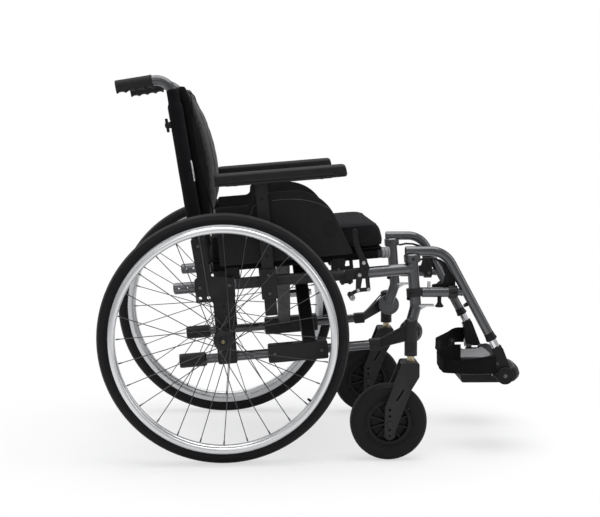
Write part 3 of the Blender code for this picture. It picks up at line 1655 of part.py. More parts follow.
def make_seat_cushion():
    """A boxed cushion: sharp top edges at the sides, a front that rolls over, and a low crown."""
    full = CUSHION_THICKNESS
    levels = [
        (0.0, 0.010, 0.004),
        (0.07, 0.002, 0.001),
        (0.30, 0.0, 0.0),
        (0.64, 0.0024, 0.0),
        (0.80, 0.0064, 0.0003),
        (0.93, 0.0110, 0.0015),
        (1.0, 0.0182, 0.0050),
    ]
    rings = []
    for share, front_inset, side_inset in levels:
        low, high = CUSHION_REAR + side_inset, CUSHION_FRONT - front_inset
        loop = rounded_loop((high - low) / 2, CUSHION_HALF_WIDTH - side_inset, 8.0, CUSHION_DRAW, 36)
        h = CUSHION_BOTTOM + share * full
        rings.append([frame_point((high + low) / 2 + a, out, h) for a, out in loop])
    half_length = (CUSHION_FRONT - CUSHION_REAR) / 2
    middle = (CUSHION_FRONT + CUSHION_REAR) / 2 - 0.006
    for shrink in (0.75, 0.45, 0.15):
        loop = rounded_loop(half_length * shrink, CUSHION_HALF_WIDTH * shrink, 5.0 * shrink + 0.8, 0, 36)
        lift = full + CUSHION_CROWN * (1 - shrink**2)
        rings.append([frame_point(middle + a, out, CUSHION_BOTTOM + lift) for a, out in loop])
    make_part("seat_cushion", "fabric", [skin(rings)])


def make_back_sling():
    """Two sleeves over the posts, joined by the panel between them."""
    sleeves, bores, notches = [], [], []
    for side in (RIGHT, LEFT):
        y = side * POST_HALF
        sleeves.append(tube([post_point(BACK_BOTTOM, 0, y), post_point(BACK_TOP, 0, y)], SLEEVE_RADIUS))
        bores.append(
            tube(
                [post_point(BACK_BOTTOM - 0.01, 0, y), post_point(BACK_TOP + 0.01, 0, y)],
                POST_RADIUS + SLACK,
            )
        )
        notches.append(
            turned(
                [(0, POST_RADIUS - 0.004), (0.0115, POST_RADIUS - 0.004), (0.0115, 0.030), (0, 0.030)],
                post_point(KNOB_T, 0, y),
                -POST_FRONT,
                12,
            )
        )
    half = PANEL_THICKNESS / 2
    low, high = BACK_BOTTOM + 0.001, BACK_TOP - 0.001
    outline = [(-half, low), (half, low), (half, high), (-half, high)]
    reach = POST_HALF - 0.0045
    panel = prism(outline, post_point(0, 0, -reach), POST_FRONT, POST_WAY, Y_WAY, 2 * reach)
    make_part("back_sling", "fabric", [panel], joined=sleeves, cut=[*bores, *notches])


def pad_depth(share):
    """How far forward the back pad's face stands, from its foot (0) to its head (1)."""
    belly = 0.62 + 0.38 * math.sin(math.pi * min(1.0, share * 1.05) ** 0.85)
    return PAD_DEPTH * belly * (1 - 0.36 * share**9)


def make_back_cushion():
    """The back pad: crowned up and across, with a sewn channel down each side."""
    rear = PANEL_THICKNESS / 2 + CLEARANCE
    bottom, top = BACK_BOTTOM + 0.004, BACK_TOP + PAD_RISE
    steps, across = 14, 20
    rings = []
    for k in range(steps + 1):
        share = k / steps
        end_round = min(1.0, (min(share, 1 - share) / 0.10 + 0.25)) ** 0.5
        face = rear + (pad_depth(share) - rear) * end_round
        half = PAD_HALF_WIDTH - 0.010 * (1 - end_round) - 0.003 * math.sin(math.pi * share)
        t = bottom + (top - bottom) * share
        front_row = []
        for n in range(across + 1):
            w = -1 + 2 * n / across
            y = half * w
            edge = (1 - abs(w) ** 5) ** 0.5 if abs(w) < 1 else 0.0
            channel = PAD_CHANNEL_DEPTH * math.exp(-(((abs(y) - PAD_CHANNEL_HALF) / 0.012) ** 2))
            thick = PAD_EDGE_THICKNESS + (face - rear - PAD_EDGE_THICKNESS) * edge - channel * end_round
            front_row.append(post_point(t, rear + max(thick, 0.006), y))
        back_row = [
            post_point(t, rear + (0.010 if abs(w) > 0.9 else 0.0), half * w)
            for w in (0.97, 0.6, -0.6, -0.97)
        ]
        rings.append(front_row + back_row)
    make_part("back_cushion", "fabric", [skin(rings)])


def main():
    clear_scene()
    for side in (RIGHT, LEFT):
        make_side_frame(side)
        make_lower_tube(side)
        make_axle_bracket(side)
        make_back_post(side)
        make_push_handle(side)
        make_grip(side)
        make_clamp_knob(side)
        make_armrest_frame(side)
        make_arm_pad(side)
        make_side_guard(side)
        make_brake_mount(side)
        make_brake_lever(side)
        make_brake_shoe(side)
        make_castor_bracket(side)
        make_castor_fork(side)
        make_castor_wheel(side)
        make_rear_tyre(side)
        make_rear_rim(side)
        make_handrim(side)
        make_rear_hub(side)
        make_hanger(side)
        make_hanger_latch(side)
        make_extension(side)
        make_footplate(side)
        make_heel_strap(side)
    make_cross_arms()
    make_seat_sling()
    make_seat_cushion()
    make_back_sling()
    make_back_cushion()


main()
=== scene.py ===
import math

import bmesh
import bpy
from mathutils import Matrix, Vector, noise
from mathutils.bvhtree import BVHTree


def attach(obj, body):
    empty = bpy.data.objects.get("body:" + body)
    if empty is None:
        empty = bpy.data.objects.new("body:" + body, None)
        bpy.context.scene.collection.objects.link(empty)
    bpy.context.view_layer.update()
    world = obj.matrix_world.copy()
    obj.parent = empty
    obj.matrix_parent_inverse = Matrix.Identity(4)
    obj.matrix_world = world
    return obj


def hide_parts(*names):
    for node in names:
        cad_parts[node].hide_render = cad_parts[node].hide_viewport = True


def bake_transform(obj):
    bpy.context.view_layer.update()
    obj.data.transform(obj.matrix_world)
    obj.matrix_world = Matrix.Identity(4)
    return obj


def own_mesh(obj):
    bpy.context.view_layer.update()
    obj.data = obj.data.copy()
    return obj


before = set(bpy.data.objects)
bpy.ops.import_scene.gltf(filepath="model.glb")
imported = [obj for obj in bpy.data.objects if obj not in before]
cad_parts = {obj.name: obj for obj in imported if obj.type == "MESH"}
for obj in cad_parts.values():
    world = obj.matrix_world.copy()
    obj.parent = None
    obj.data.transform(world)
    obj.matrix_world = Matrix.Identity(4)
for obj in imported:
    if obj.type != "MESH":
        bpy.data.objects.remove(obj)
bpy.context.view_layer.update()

RIGHT = -1
LEFT = 1
SIDE_NAMES = {RIGHT: "right", LEFT: "left"}

# Fits
CLEARANCE = 0.0003
SLACK = 0.0008

# Rear wheels
REAR_RADIUS = 0.305
REAR_TRACK_HALF = 0.297
TYRE_SECTION = 0.0175
RIM_OUTER = 0.2778
RIM_INNER = 0.2608
RIM_HALF_WIDTH = 0.0125
WHEEL_SIDES = 40
HANDRIM_RADIUS = 0.2665
HANDRIM_TUBE = 0.0085
HANDRIM_OFFSET = 0.0340
HANDRIM_TABS = 6
SPOKES = 28
SPOKE_RADIUS = 0.0011
SPOKE_SWEEP = 64.0
FLANGE_RADIUS = 0.0235
FLANGE_OFFSET = 0.026
FLANGE_THICKNESS = 0.004
HUB_BARREL = 0.015
AXLE_RADIUS = 0.0063
AXLE_REACH = 0.064
BUTTON_RADIUS = 0.0042
BUTTON_TRAVEL = 0.004

# Side frames
FRAME_TILT = math.radians(4.6)
FRAME_HALF = 0.222
LOWER_TUBE_HEIGHT = 0.2472
LOWER_TUBE_RADIUS = 0.0115
LOWER_TUBE_REAR = -0.1042
LOWER_TUBE_FRONT = 0.3855
UPPER_TUBE_H = 0.180
TUBE_RADIUS = 0.014
UPPER_TUBE_REAR = -0.106
FRONT_TUBE_U = 0.484
FRONT_TUBE_TOP = 0.209
FRONT_TUBE_BEND_H = 0.085
FRONT_BEND_RADIUS = 0.040
FLANGE_DISC_U = 0.4647
FLANGE_DISC_H = 0.0276
FLANGE_DISC_RADIUS = 0.029
FLANGE_DISC_OUTER = 0.2465
FLANGE_DISC_THICKNESS = 0.010
STRIKER_LENGTH = 0.034
STRIKER_HALF_WIDTH = 0.012
STRIKER_THICKNESS = 0.004

# Plates and fittings on the side frames
PLATE_THICKNESS = 0.008
BOLT_HEAD_RADIUS = 0.005
BOLT_HEAD_HEIGHT = 0.004
AXLE_U = 0.0046
END_SLEEVE_RADIUS = 0.0175
END_SLEEVE_LENGTH = 0.067
END_SLEEVE_WALL = 0.005
SADDLE_PLACES = (0.040, 0.300)
SADDLE_LENGTH = 0.034
SADDLE_WIDTH = 0.030
SOCKET_LENGTH = 0.040
SOCKET_BOTTOM = 0.140
SOCKET_TOP = 0.215
SOCKET_WALL = 0.005

# Folding cross and seat rails
RAIL_H = 0.225
RAIL_HALF = 0.213
RAIL_RADIUS = 0.0125
RAIL_REAR = -0.012
RAIL_FRONT = 0.430
ARM_A_U = 0.215
ARM_B_U = 0.165
ARM_WIDTH = 0.034
ARM_DEPTH = 0.020
PIVOT_SLEEVE_REAR = 0.110
PIVOT_SLEEVE_FRONT = 0.258
PIVOT_SLEEVE_HEIGHT = 0.044
PIVOT_SLEEVE_WIDTH = 0.040
CENTRE_BOLT_RADIUS = 0.0055
CENTRE_BOLT_HEAD = 0.010
CENTRE_BOLT_HEAD_LENGTH = 0.008

# Seat and back upholstery
SLING_THICKNESS = 0.003
CUSHION_REAR = -0.0157
CUSHION_FRONT = 0.4192
CUSHION_HALF_WIDTH = 0.2260
CUSHION_THICKNESS = 0.056
CUSHION_CROWN = 0.006
CUSHION_DRAW = 0.004
SLEEVE_RADIUS = 0.0185
BACK_BOTTOM = 0.127
BACK_TOP = 0.4714
PANEL_THICKNESS = 0.004
PAD_HALF_WIDTH = 0.195
PAD_EDGE_THICKNESS = 0.030
PAD_DEPTH = 0.0715
PAD_RISE = 0.011
PAD_CHANNEL_HALF = 0.135
SWELL_FRAMES = 20
STITCH = 0.0005

# Back posts and push handles
POST_LEAN = math.radians(9.2)
POST_HALF = 0.2205
POST_U = -0.0306
POST_RADIUS = 0.0155
POST_LENGTH = 0.426
POST_BORE_START = 0.200
HANDLE_RADIUS = 0.0125
HANDLE_BOTTOM = 0.260
HANDLE_CORNER = 0.4988
HANDLE_BEND = 0.040
GRIP_START = 0.043
GRIP_LENGTH = 0.090
GRIP_RADIUS = 0.0155
GRIP_END_WALL = 0.004
GRIP_TEETH = 4
GRIP_TOOTH_DEPTH = 0.0045
KNOB_T = 0.387
KNOB_BOSS_RADIUS = 0.009
KNOB_BOSS_LENGTH = 0.0065
KNOB_WING_LENGTH = 0.034
KNOB_WING_WIDTH = 0.012
KNOB_WING_DEPTH = 0.009

# Armrests
ARM_POST_U = 0.126
ARM_POST_HALF = 0.2535
ARM_POST_LENGTH_U = 0.030
ARM_POST_WIDTH = 0.016
ARM_POST_BOTTOM = 0.099
PAD_BAR_THICKNESS = 0.0055
PAD_BAR_WIDTH = 0.022
ARM_PAD_HALF = 0.269
ARM_PAD_WIDTH = 0.055
ARM_PAD_REAR = 0.0156
ARM_PAD_FRONT = 0.335
ARM_PAD_BOTTOM = 0.427
ARM_PAD_THICKNESS = 0.027
GUARD_THICKNESS = 0.0035
GUARD_REAR = 0.0135
GUARD_BOTTOM = 0.2317
GUARD_TOP = 0.3980
GUARD_REAR_TOP = 0.3660
GUARD_CORNER = 0.108
GUARD_FRONT_SLOPE = 22
GUARD_ARCH_U = ARM_POST_U + 0.073
GUARD_LINE = 0.0009

# Wheel brakes
BRAKE_LEVER_U = 0.3612
BRAKE_LEVER_H = 0.2081
BRAKE_LEVER_THICKNESS = 0.0072
SHOE_PIVOT = (0.3486, 0.1786)
SHOE_ARM_THICKNESS = 0.005
SHOE_PLACE = (0.322, 0.1328)
SHOE_RADIUS = 0.007
BRAKE_BOLT_RADIUS = 0.004

# Castors
CASTOR_HALF = 0.274
CASTOR_RADIUS = 0.0947
CASTOR_HALF_WIDTH = 0.0235
CASTOR_RIM_RADIUS = 0.0575
STEM_X = 0.4575
CASTOR_TRAIL = 0.054
HOUSING_RADIUS = 0.0165
COLLAR_RADIUS = 0.0156
HOUSING_TOP = 0.3458
COLLAR_TOP = 0.294
HOUSING_BOTTOM = 0.2572
FORK_TOP = 0.2445
FORK_CROWN = 0.012
FORK_HALF_WIDTH = 0.034
FORK_LEG = 0.006
STEM_RADIUS = 0.006
SPACER_RADIUS = 0.0088
STEM_TOP = 0.328
CASTOR_AXLE_RADIUS = 0.0045

# Leg supports
HANGER_Z = 0.509
HANGER_REAR_X = 0.449
HANGER_RADIUS = 0.012
HANGER_CORNER_X = 0.5465
HANGER_LEAN = math.radians(28.5)
HANGER_BEND = 0.060
HANGER_LENGTH = 0.249
HANGER_CUP_RADIUS = 0.0215
HANGER_CUP_BOTTOM = 0.1955
KNUCKLE_H = 0.121
KNUCKLE_RADIUS = 0.0205
KNUCKLE_HEIGHT = 0.020
BAR_Z = 0.4065
BAR_RADIUS = 0.0125
BAR_FRONT_X = 0.557
COLLAR_FRONT_X = 0.579
BAR_COLLAR_RADIUS = 0.0165
LATCH_X = 0.568
LATCH_THICKNESS = 0.008
MUSHROOM_X = 0.5345
PIN_X = 0.508
EXTENSION_RADIUS = 0.0098
EXTENSION_INSERT = 0.140
END_CAP_RADIUS = 0.0145
END_CAP_LENGTH = 0.020
ANKLE_X = 0.6983
ANKLE_Z = 0.1981
ANKLE_RADIUS = 0.0215
ANKLE_HALF_WIDTH = 0.0135
FLIP_HALF = 0.1975
FLIP_Z = 0.195
FLIP_PIN_RADIUS = 0.006
KNUCKLE_WALL = 0.004
FOOTPLATE_TOE_X = 0.757
FOOTPLATE_OUTER = 0.190
FOOTPLATE_INNER = 0.045
FOOTPLATE_TOP = 0.193
TOE_LENGTH = 0.060
TOE_RISE = 0.0150
TRAY_CORNERS = (
    (FOOTPLATE_INNER, 0.0160), (FOOTPLATE_INNER + 0.006, 0.0080), (FOOTPLATE_INNER + 0.018, 0.0020),
    (FOOTPLATE_INNER + 0.038, 0.0), (FOOTPLATE_INNER + 0.080, 0.0), (FOOTPLATE_INNER + 0.110, 0.0040),
    (FOOTPLATE_INNER + 0.130, 0.0100), (FOOTPLATE_OUTER, 0.0200)
)
STRAP_THICKNESS = 0.003
STRAP_BOTTOM = 0.2030
STRAP_TOP = 0.2465
STRAP_REACH = {RIGHT: 0.2050, LEFT: 0.1720}
STRAP_PEG_REAR = 0.0960
STRAP_PEG_FRONT = 0.0800

STRAP_START = 0.0225
STRAP_FIXED = 0.08

# What follows from the sizes above
CENTRE_X = (FOOTPLATE_TOE_X - REAR_RADIUS) / 2
COS_TILT = math.cos(FRAME_TILT)
SIN_TILT = math.sin(FRAME_TILT)
U_WAY = Vector((COS_TILT, 0, SIN_TILT))
H_WAY = Vector((-SIN_TILT, 0, COS_TILT))
X_WAY = Vector((1, 0, 0))
Y_WAY = Vector((0, 1, 0))
Z_WAY = Vector((0, 0, 1))
POST_WAY = Vector((-math.sin(POST_LEAN), 0, math.cos(POST_LEAN)))
POST_FRONT = Vector((math.cos(POST_LEAN), 0, math.sin(POST_LEAN)))
LEG_WAY = Vector((math.sin(HANGER_LEAN), 0, -math.cos(HANGER_LEAN)))
PLATE_INNER = FRAME_HALF + TUBE_RADIUS + CLEARANCE
PLATE_OUTER = PLATE_INNER + PLATE_THICKNESS
AXLE_H = (REAR_RADIUS - LOWER_TUBE_HEIGHT - AXLE_U * SIN_TILT) / COS_TILT
RIM_APOTHEM = RIM_INNER * math.cos(math.pi / WHEEL_SIDES)
POST_H = UPPER_TUBE_H + TUBE_RADIUS + CLEARANCE + POST_RADIUS * math.sin(POST_LEAN - FRAME_TILT)
SLING_BOTTOM = RAIL_H + RAIL_RADIUS + CLEARANCE
CUSHION_BOTTOM = SLING_BOTTOM + SLING_THICKNESS + CLEARANCE
CASTOR_X = STEM_X - CASTOR_TRAIL
UPPER_WRAP_REAR = 0.046
UPPER_WRAP_FRONT = 0.312

# Tread, light and camera
TREAD_BLOCKS = 190
TREAD_DEPTH = 0.0011
TREAD_RIB = 6.5
TREAD_EDGE = 42.0
WORLD_STRENGTH = 0.46
LAMPS = (
    ("overhead_light", (0.1, 0.0, 3.2), (0.0, 0.0, 0.4), (3.2, 3.0), 88),
    ("near_light", (-1.2, -3.0, 2.4), (0.0, 0.0, 0.5), (1.8, 1.4), 11),
    ("rear_light", (-2.2, 1.6, 1.9), (0.0, 0.0, 0.5), (1.2, 1.6), 13),
    ("front_light", (2.6, -0.6, 1.8), (0.0, 0.0, 0.4), (1.2, 1.6), 14)
)
CAMERA_LENS = 79.79
CAMERA_PLACE = (-0.1854, -3.4734, 0.8278)
CAMERA_TURN = (84.107, 0.0, -2.605)

# Places


def chair_point(x, y, z):
    """A point given forward of the rear axle."""
    return Vector((x - CENTRE_X, y, z))


def frame_point(u, y, h):
    """A point given along the side frame's leaning lines."""
    return Vector((-CENTRE_X, y, LOWER_TUBE_HEIGHT)) + U_WAY * u + H_WAY * h


def post_point(t, forward, y):
    """A point given along a back post, t up it and forward of its middle line."""
    return frame_point(POST_U, y, POST_H) + POST_WAY * t + POST_FRONT * forward


def about(middle, width):
    """The two ends of a width about its middle."""
    return middle - width / 2, middle + width / 2


def around(a):
    """The way from a wheel's centre at a turn from its top."""
    return Z_WAY * math.cos(a) + X_WAY * math.sin(a)


def onward(a):
    """The way along a wheel's rim at a turn from its top."""
    return Z_WAY * -math.sin(a) + X_WAY * math.cos(a)


def leg_point(along, y):
    """A point on the line of a leg tube, measured down from the hanger's corner."""
    return chair_point(HANGER_CORNER_X, y, HANGER_Z) + LEG_WAY * along


# Outlines and paths


def arc(centre, radius, start, end, steps):
    angles = [math.radians(start + (end - start) * k / steps) for k in range(steps + 1)]
    return [(centre[0] + radius * math.cos(a), centre[1] + radius * math.sin(a)) for a in angles]


def link(first, first_radius, second, second_radius, steps=12):
    """The outline of a flat link with round ends."""
    turn = math.degrees(math.atan2(second[1] - first[1], second[0] - first[0]))
    return arc(first, first_radius, turn + 90, turn + 270, steps) + arc(
        second, second_radius, turn - 90, turn + 90, steps
    )


def rounded_path(corners, radius, steps):
    """Straight runs with an arc of that radius at each inner corner."""
    path = [corners[0]]
    for before, corner, after in zip(corners, corners[1:], corners[2:]):
        ahead = (corner - before).normalized()
        leaving = (after - corner).normalized()
        turn = ahead.angle(leaving)
        inward = (leaving - ahead * ahead.dot(leaving)).normalized()
        start = corner - ahead * radius * math.tan(turn / 2)
        for k in range(steps + 1):
            angle = turn * k / steps
            path.append(start + ahead * radius * math.sin(angle) + inward * radius * (1 - math.cos(angle)))
    return path + [corners[-1]]


def soften(outline, radius, steps=3, closed=True):
    """The outline with its sharp corners rounded off."""
    count = len(outline)
    if radius <= 0:
        return list(outline)
    rounded = []
    for k in range(count):
        here = Vector(outline[k])
        if not closed and k in (0, count - 1):
            rounded.append(tuple(here))
            continue
        back, ahead = Vector(outline[k - 1]) - here, Vector(outline[(k + 1) % count]) - here
        if min(back.length, ahead.length) < 1e-7:
            continue
        turn = math.pi - back.angle(ahead)
        if turn < math.radians(24):
            rounded.append(tuple(here))
            continue
        reach = min(radius * math.tan(turn / 2), 0.46 * back.length, 0.46 * ahead.length)
        start, end = here + back.normalized() * reach, here + ahead.normalized() * reach
        for n in range(steps + 1):
            f = n / steps
            rounded.append(tuple(start * (1 - f) ** 2 + here * 2 * f * (1 - f) + end * f**2))
    return rounded


def drawn_in(outline, amount):
    """The outline moved in by an even amount."""
    count = len(outline)
    area = sum(
        outline[k][0] * outline[(k + 1) % count][1] - outline[(k + 1) % count][0] * outline[k][1]
        for k in range(count)
    )
    way = 1 if area > 0 else -1
    moved = []
    for k in range(count):
        here = Vector(outline[k])
        back = (here - Vector(outline[k - 1])).normalized()
        ahead = (Vector(outline[(k + 1) % count]) - here).normalized()
        first = Vector((-back.y, back.x)) * way
        middle = (first + Vector((-ahead.y, ahead.x)) * way).normalized()
        moved.append(tuple(here + middle * amount / max(0.55, middle.dot(first))))
    return moved


# Solids, each a bmesh


def skin(rings, looped=False):
    """Faces between rings of points that all have the same count."""
    solid = bmesh.new()
    rows = [[solid.verts.new(p) for p in ring] for ring in rings]
    pairs = list(zip(rows, rows[1:]))
    if looped:
        pairs.append((rows[-1], rows[0]))
    for row, following in pairs:
        for k in range(len(row)):
            n = (k + 1) % len(row)
            solid.faces.new((row[k], row[n], following[n], following[k]))
    if not looped:
        solid.faces.new(rows[0])
        solid.faces.new(rows[-1])
    bmesh.ops.recalc_face_normals(solid, faces=solid.faces)
    return solid


def sweep(path, radius, sides=28, edge=0.0007):
    """A bar swept along a path; radius is a number or one for each point."""
    radii = list(radius) if isinstance(radius, (list, tuple)) else [radius] * len(path)
    path = list(path)
    if edge:
        first, last = (path[1] - path[0]).normalized(), (path[-1] - path[-2]).normalized()
        path = [path[0], path[0] + first * edge, *path[1:-1], path[-1] - last * edge, path[-1]]
        radii = [radii[0] - edge, radii[0], *radii[1:-1], radii[-1], radii[-1] - edge]
    rings = []
    ahead = (path[1] - path[0]).normalized()
    normal = Y_WAY.cross(ahead)
    if normal.length < 0.1:
        normal = X_WAY.cross(ahead)
    normal.normalize()
    for k, point in enumerate(path):
        ahead = (path[min(k + 1, len(path) - 1)] - path[max(k - 1, 0)]).normalized()
        normal = (normal - ahead * normal.dot(ahead)).normalized()
        across = ahead.cross(normal)
        ring = []
        for n in range(sides):
            a = math.tau * n / sides
            ring.append(point + (normal * math.cos(a) + across * math.sin(a)) * radii[k])
        rings.append(ring)
    return skin(rings)


def turned(profile, centre, axis, sides=40, first=Z_WAY, soft=0.0006, bumps=None):
    """A profile of (radius, along) turned about an axis; radius 0 ends close on the axis."""
    profile = soften(profile, soft, 2, closed=profile[0][0] > 0)
    solid = bmesh.new()
    start = -(first - axis * first.dot(axis)).normalized()
    across = axis.cross(start)
    rows = []
    for radius, along in profile:
        middle = centre + axis * along
        if radius < 1e-6:
            rows.append([solid.verts.new(middle)] * sides)
            continue
        row = []
        for n in range(sides):
            a = math.tau * n / sides
            reach = radius * bumps(radius, along, a) if bumps else radius
            row.append(solid.verts.new(middle + (start * math.cos(a) + across * math.sin(a)) * reach))
        rows.append(row)
    pairs = list(zip(rows, rows[1:]))
    if profile[0][0] > 1e-6:
        pairs.append((rows[-1], rows[0]))
    for row, following in pairs:
        for k in range(sides):
            n = (k + 1) % sides
            corners = list(dict.fromkeys((row[k], row[n], following[n], following[k])))
            solid.faces.new(corners)
    bmesh.ops.recalc_face_normals(solid, faces=solid.faces)
    return solid


def prism(outline, origin, across, up, through, depth, edge=0.0008, corner=0.0):
    """A flat outline pushed through by a depth, its corners and rims rounded."""
    outline = soften(outline, corner)
    edge = min(edge, depth * 0.45)
    levels = []
    for k in range(4 if edge else 1):
        a = math.pi / 2 * k / 3
        levels.append((edge * (1 - math.sin(a)), edge * (1 - math.cos(a))) if edge else (0, 0))
    levels += [(inward, depth - along) for inward, along in reversed(levels)]
    rings = []
    for inward, along in levels:
        flat = drawn_in(outline, inward) if inward else outline
        rings.append([origin + across * a + up * b + through * along for a, b in flat])
    return skin(rings)


def frame_plate(outline, side, inner, outer, edge=0.0008, corner=0.0):
    """A plate whose outline is in (u, h), between two distances out from the middle."""
    origin = frame_point(0, side * inner, 0)
    return prism(outline, origin, U_WAY, H_WAY, Y_WAY * side, outer - inner, edge, corner)


def chair_plate(outline, side, inner, outer, edge=0.0008, corner=0.0):
    """A plate whose outline is in (x, z), between two distances out from the middle."""
    origin = chair_point(0, side * inner, 0)
    return prism(outline, origin, X_WAY, Z_WAY, Y_WAY * side, outer - inner, edge, corner)


def box_outline(first, second):
    return [(first[0], second[0]), (first[1], second[0]), (first[1], second[1]), (first[0], second[1])]


def frame_block(side, u_span, out_span, h_span, edge=0.001, corner=0.002):
    return frame_plate(box_outline(u_span, h_span), side, *out_span, edge, corner)


def chair_block(side, x_span, out_span, z_span, edge=0.001, corner=0.002):
    return chair_plate(box_outline(x_span, z_span), side, *out_span, edge, corner)


def pin(place, way, start, end, radius, sides=24, soft=0.0004):
    """A round pin along a way, between two distances from a place."""
    return turned([(0, start), (radius, start), (radius, end), (0, end)], place, way, sides, Z_WAY, soft)


def cross_pin(place, side, inner, outer, radius):
    """A round pin that points outward from a place given in world axes."""
    return pin(Vector((place.x, 0, place.z)), Y_WAY * side, inner, outer, radius)


def frame_bar(rear, front, y, h, radius, sides, edge=0.0):
    """A bar along the frame's own line, from rear to front."""
    return sweep([frame_point(rear, y, h), frame_point(front, y, h)], radius, sides, edge)


def socket_screw(place, way, radius, height):
    """A round screw head with a hollow for its key."""
    hollow, deep = radius * 0.52, min(height * 0.75, 0.003)
    profile = [(0, height - deep), (hollow, height - deep), (hollow, height), (radius, height)]
    profile += [(radius, 0), (0, 0)]

    def key(r, along, a):
        return 1 / (0.93 + 0.07 * math.cos(6 * a)) if r < radius * 0.6 else 1.0

    return turned(profile, place, way, 24, Z_WAY if abs(way.z) < 0.9 else X_WAY, 0.0004, key)


def hex_bolt(place, way, radius, height):
    """A washer with a six-sided head on it."""
    first = Z_WAY if abs(way.z) < 0.9 else X_WAY
    washer = turned(
        [(0, 0), (radius * 1.3, 0), (radius * 1.3, 0.001), (0, 0.001)], place, way, 28, first, 0.0003
    )
    rise = max(height - 0.001, 0.001)
    head = turned(
        [(0, 0), (radius, 0), (radius, rise - 0.0006), (radius * 0.86, rise), (0, rise)],
        place + way * 0.001, way, 6, first, 0.0
    )
    return [washer, head]


def hoop(centre, axis, major, minor, sides=40, round_sides=10):
    """A ring of round section about an axis."""
    profile = arc((major, 0), minor, 0, 360 - 360 / round_sides, round_sides - 1)
    return turned(profile, centre, axis, sides, Z_WAY if abs(axis.z) < 0.9 else X_WAY, 0.0)


def hull(points):
    solid = bmesh.new()
    corners = [solid.verts.new(p) for p in points]
    bmesh.ops.convex_hull(solid, input=corners)
    bmesh.ops.recalc_face_normals(solid, faces=solid.faces)
    return solid


def eased(solid, width):
    """The solid with its sharp edges rounded."""
    sharp = [e for e in solid.edges if len(e.link_faces) == 2 and e.calc_face_angle() > 0.5]
    bmesh.ops.bevel(
        solid, geom=sharp, offset=width, segments=3, profile=0.5, affect="EDGES", clamp_overlap=True
    )
    return solid


# Pieces


def mesh_of(name, solids):
    whole = bmesh.new()
    for solid in solids:
        part = bpy.data.meshes.new("part")
        solid.to_mesh(part)
        whole.from_mesh(part)
        bpy.data.meshes.remove(part)
        solid.free()
    mesh = bpy.data.meshes.new(name)
    whole.to_mesh(mesh)
    whole.free()
    return mesh


def cut(solid, cutters):
    """The solid with the cutters taken out of it."""
    made = [bpy.data.objects.new(n, mesh_of(n, s)) for n, s in (("body", [solid]), ("cutter", cutters))]
    for thing in made:
        bpy.context.scene.collection.objects.link(thing)
    modifier = made[0].modifiers.new("Cut", "BOOLEAN")
    modifier.operation = "DIFFERENCE"
    modifier.solver = "EXACT"
    modifier.object = made[1]
    graph = bpy.context.evaluated_depsgraph_get()
    result = bmesh.new()
    result.from_mesh(made[0].evaluated_get(graph).to_mesh())
    for thing in made:
        mesh = thing.data
        bpy.data.objects.remove(thing, do_unlink=True)
        bpy.data.meshes.remove(mesh)
    return result


def shape(name, parts, origin=None, sharp=38, flats=True):
    """One object from (finish, solid) pairs, with no body yet."""
    origin = origin or Vector((0, 0, 0))
    finishes = list(dict.fromkeys(f for f, _ in parts))
    solids = []
    for finish, solid in parts:
        for one in solid if isinstance(solid, list) else [solid]:
            for face in one.faces:
                face.material_index = finishes.index(finish)
            solids.append(one)
    mesh = mesh_of(name, solids)
    mesh.transform(Matrix.Translation(-origin))
    mesh.shade_smooth()
    mesh.set_sharp_from_angle(angle=math.radians(sharp))
    for finish in finishes:
        mesh.materials.append(FINISHES[finish])
    made = bpy.data.objects.new(name, mesh)
    made.location = origin
    bpy.context.scene.collection.objects.link(made)
    if flats:
        evened = made.modifiers.new("Flats", "WEIGHTED_NORMAL")
        evened.keep_sharp = True
        evened.weight = 50
    return made


def piece(name, body, parts, node, origin=None, sharp=38):
    """One object that rides on a body and stands for a node of the frame."""
    made = shape(name, parts, origin, sharp)
    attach(made, body)
    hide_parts(node)
    return made


def side_piece(side, label, body, parts, node, origin=None, sharp=38):
    """A piece of one side, which has the side's name in its own name, its body's and its node's."""
    name = SIDE_NAMES[side]
    carrier = f"{name}_frame" if body == "frame" else f"{body}_{name}"
    return piece(f"{name}_{label}", carrier, parts, f"{node}_{name}", origin, sharp)


# Materials


def add_node(tree, kind, values=None, **settings):
    """A node with its inputs set or linked."""
    node = tree.nodes.new(f"ShaderNode{kind}")
    for key, value in settings.items():
        setattr(node, key, value)
    for key, value in (values or {}).items():
        if isinstance(value, bpy.types.NodeSocket):
            tree.links.new(value, node.inputs[key])
        else:
            node.inputs[key].default_value = value
    return node


def plain_material(name, colour, roughness, **inputs):
    """A Principled material with its even values set on the shader itself."""
    made = bpy.data.materials.new(name)
    made.use_nodes = True
    shader = made.node_tree.nodes["Principled BSDF"]
    shader.inputs["Base Color"].default_value = (*colour, 1)
    shader.inputs["Roughness"].default_value = roughness
    for key, value in inputs.items():
        shader.inputs[key.replace("_", " ")].default_value = value
    return made, made.node_tree, shader


def places(tree, stretch=(1, 1, 1)):
    """Object coordinates, stretched."""
    coordinates = add_node(tree, "TexCoord")
    return add_node(
        tree, "Mapping", {"Vector": coordinates.outputs["Object"], "Scale": stretch}
    ).outputs["Vector"]


def noise_of(tree, vector, scale, detail=4.0, roughness=0.55):
    values = {"Vector": vector, "Scale": scale, "Detail": detail, "Roughness": roughness}
    return add_node(tree, "TexNoise", values).outputs["Fac"]


def spread(tree, value, low, high, start=0.3, end=0.7):
    """A value between start and end, spread from low to high."""
    values = {"Value": value, "From Min": start, "From Max": end, "To Min": low, "To Max": high}
    return add_node(tree, "MapRange", values).outputs["Result"]


def calc(tree, operation, first, second=0.0):
    node = add_node(tree, "Math", operation=operation)
    for socket, value in zip(node.inputs, (first, second)):
        if isinstance(value, bpy.types.NodeSocket):
            tree.links.new(value, socket)
        else:
            socket.default_value = value
    return node.outputs["Value"]


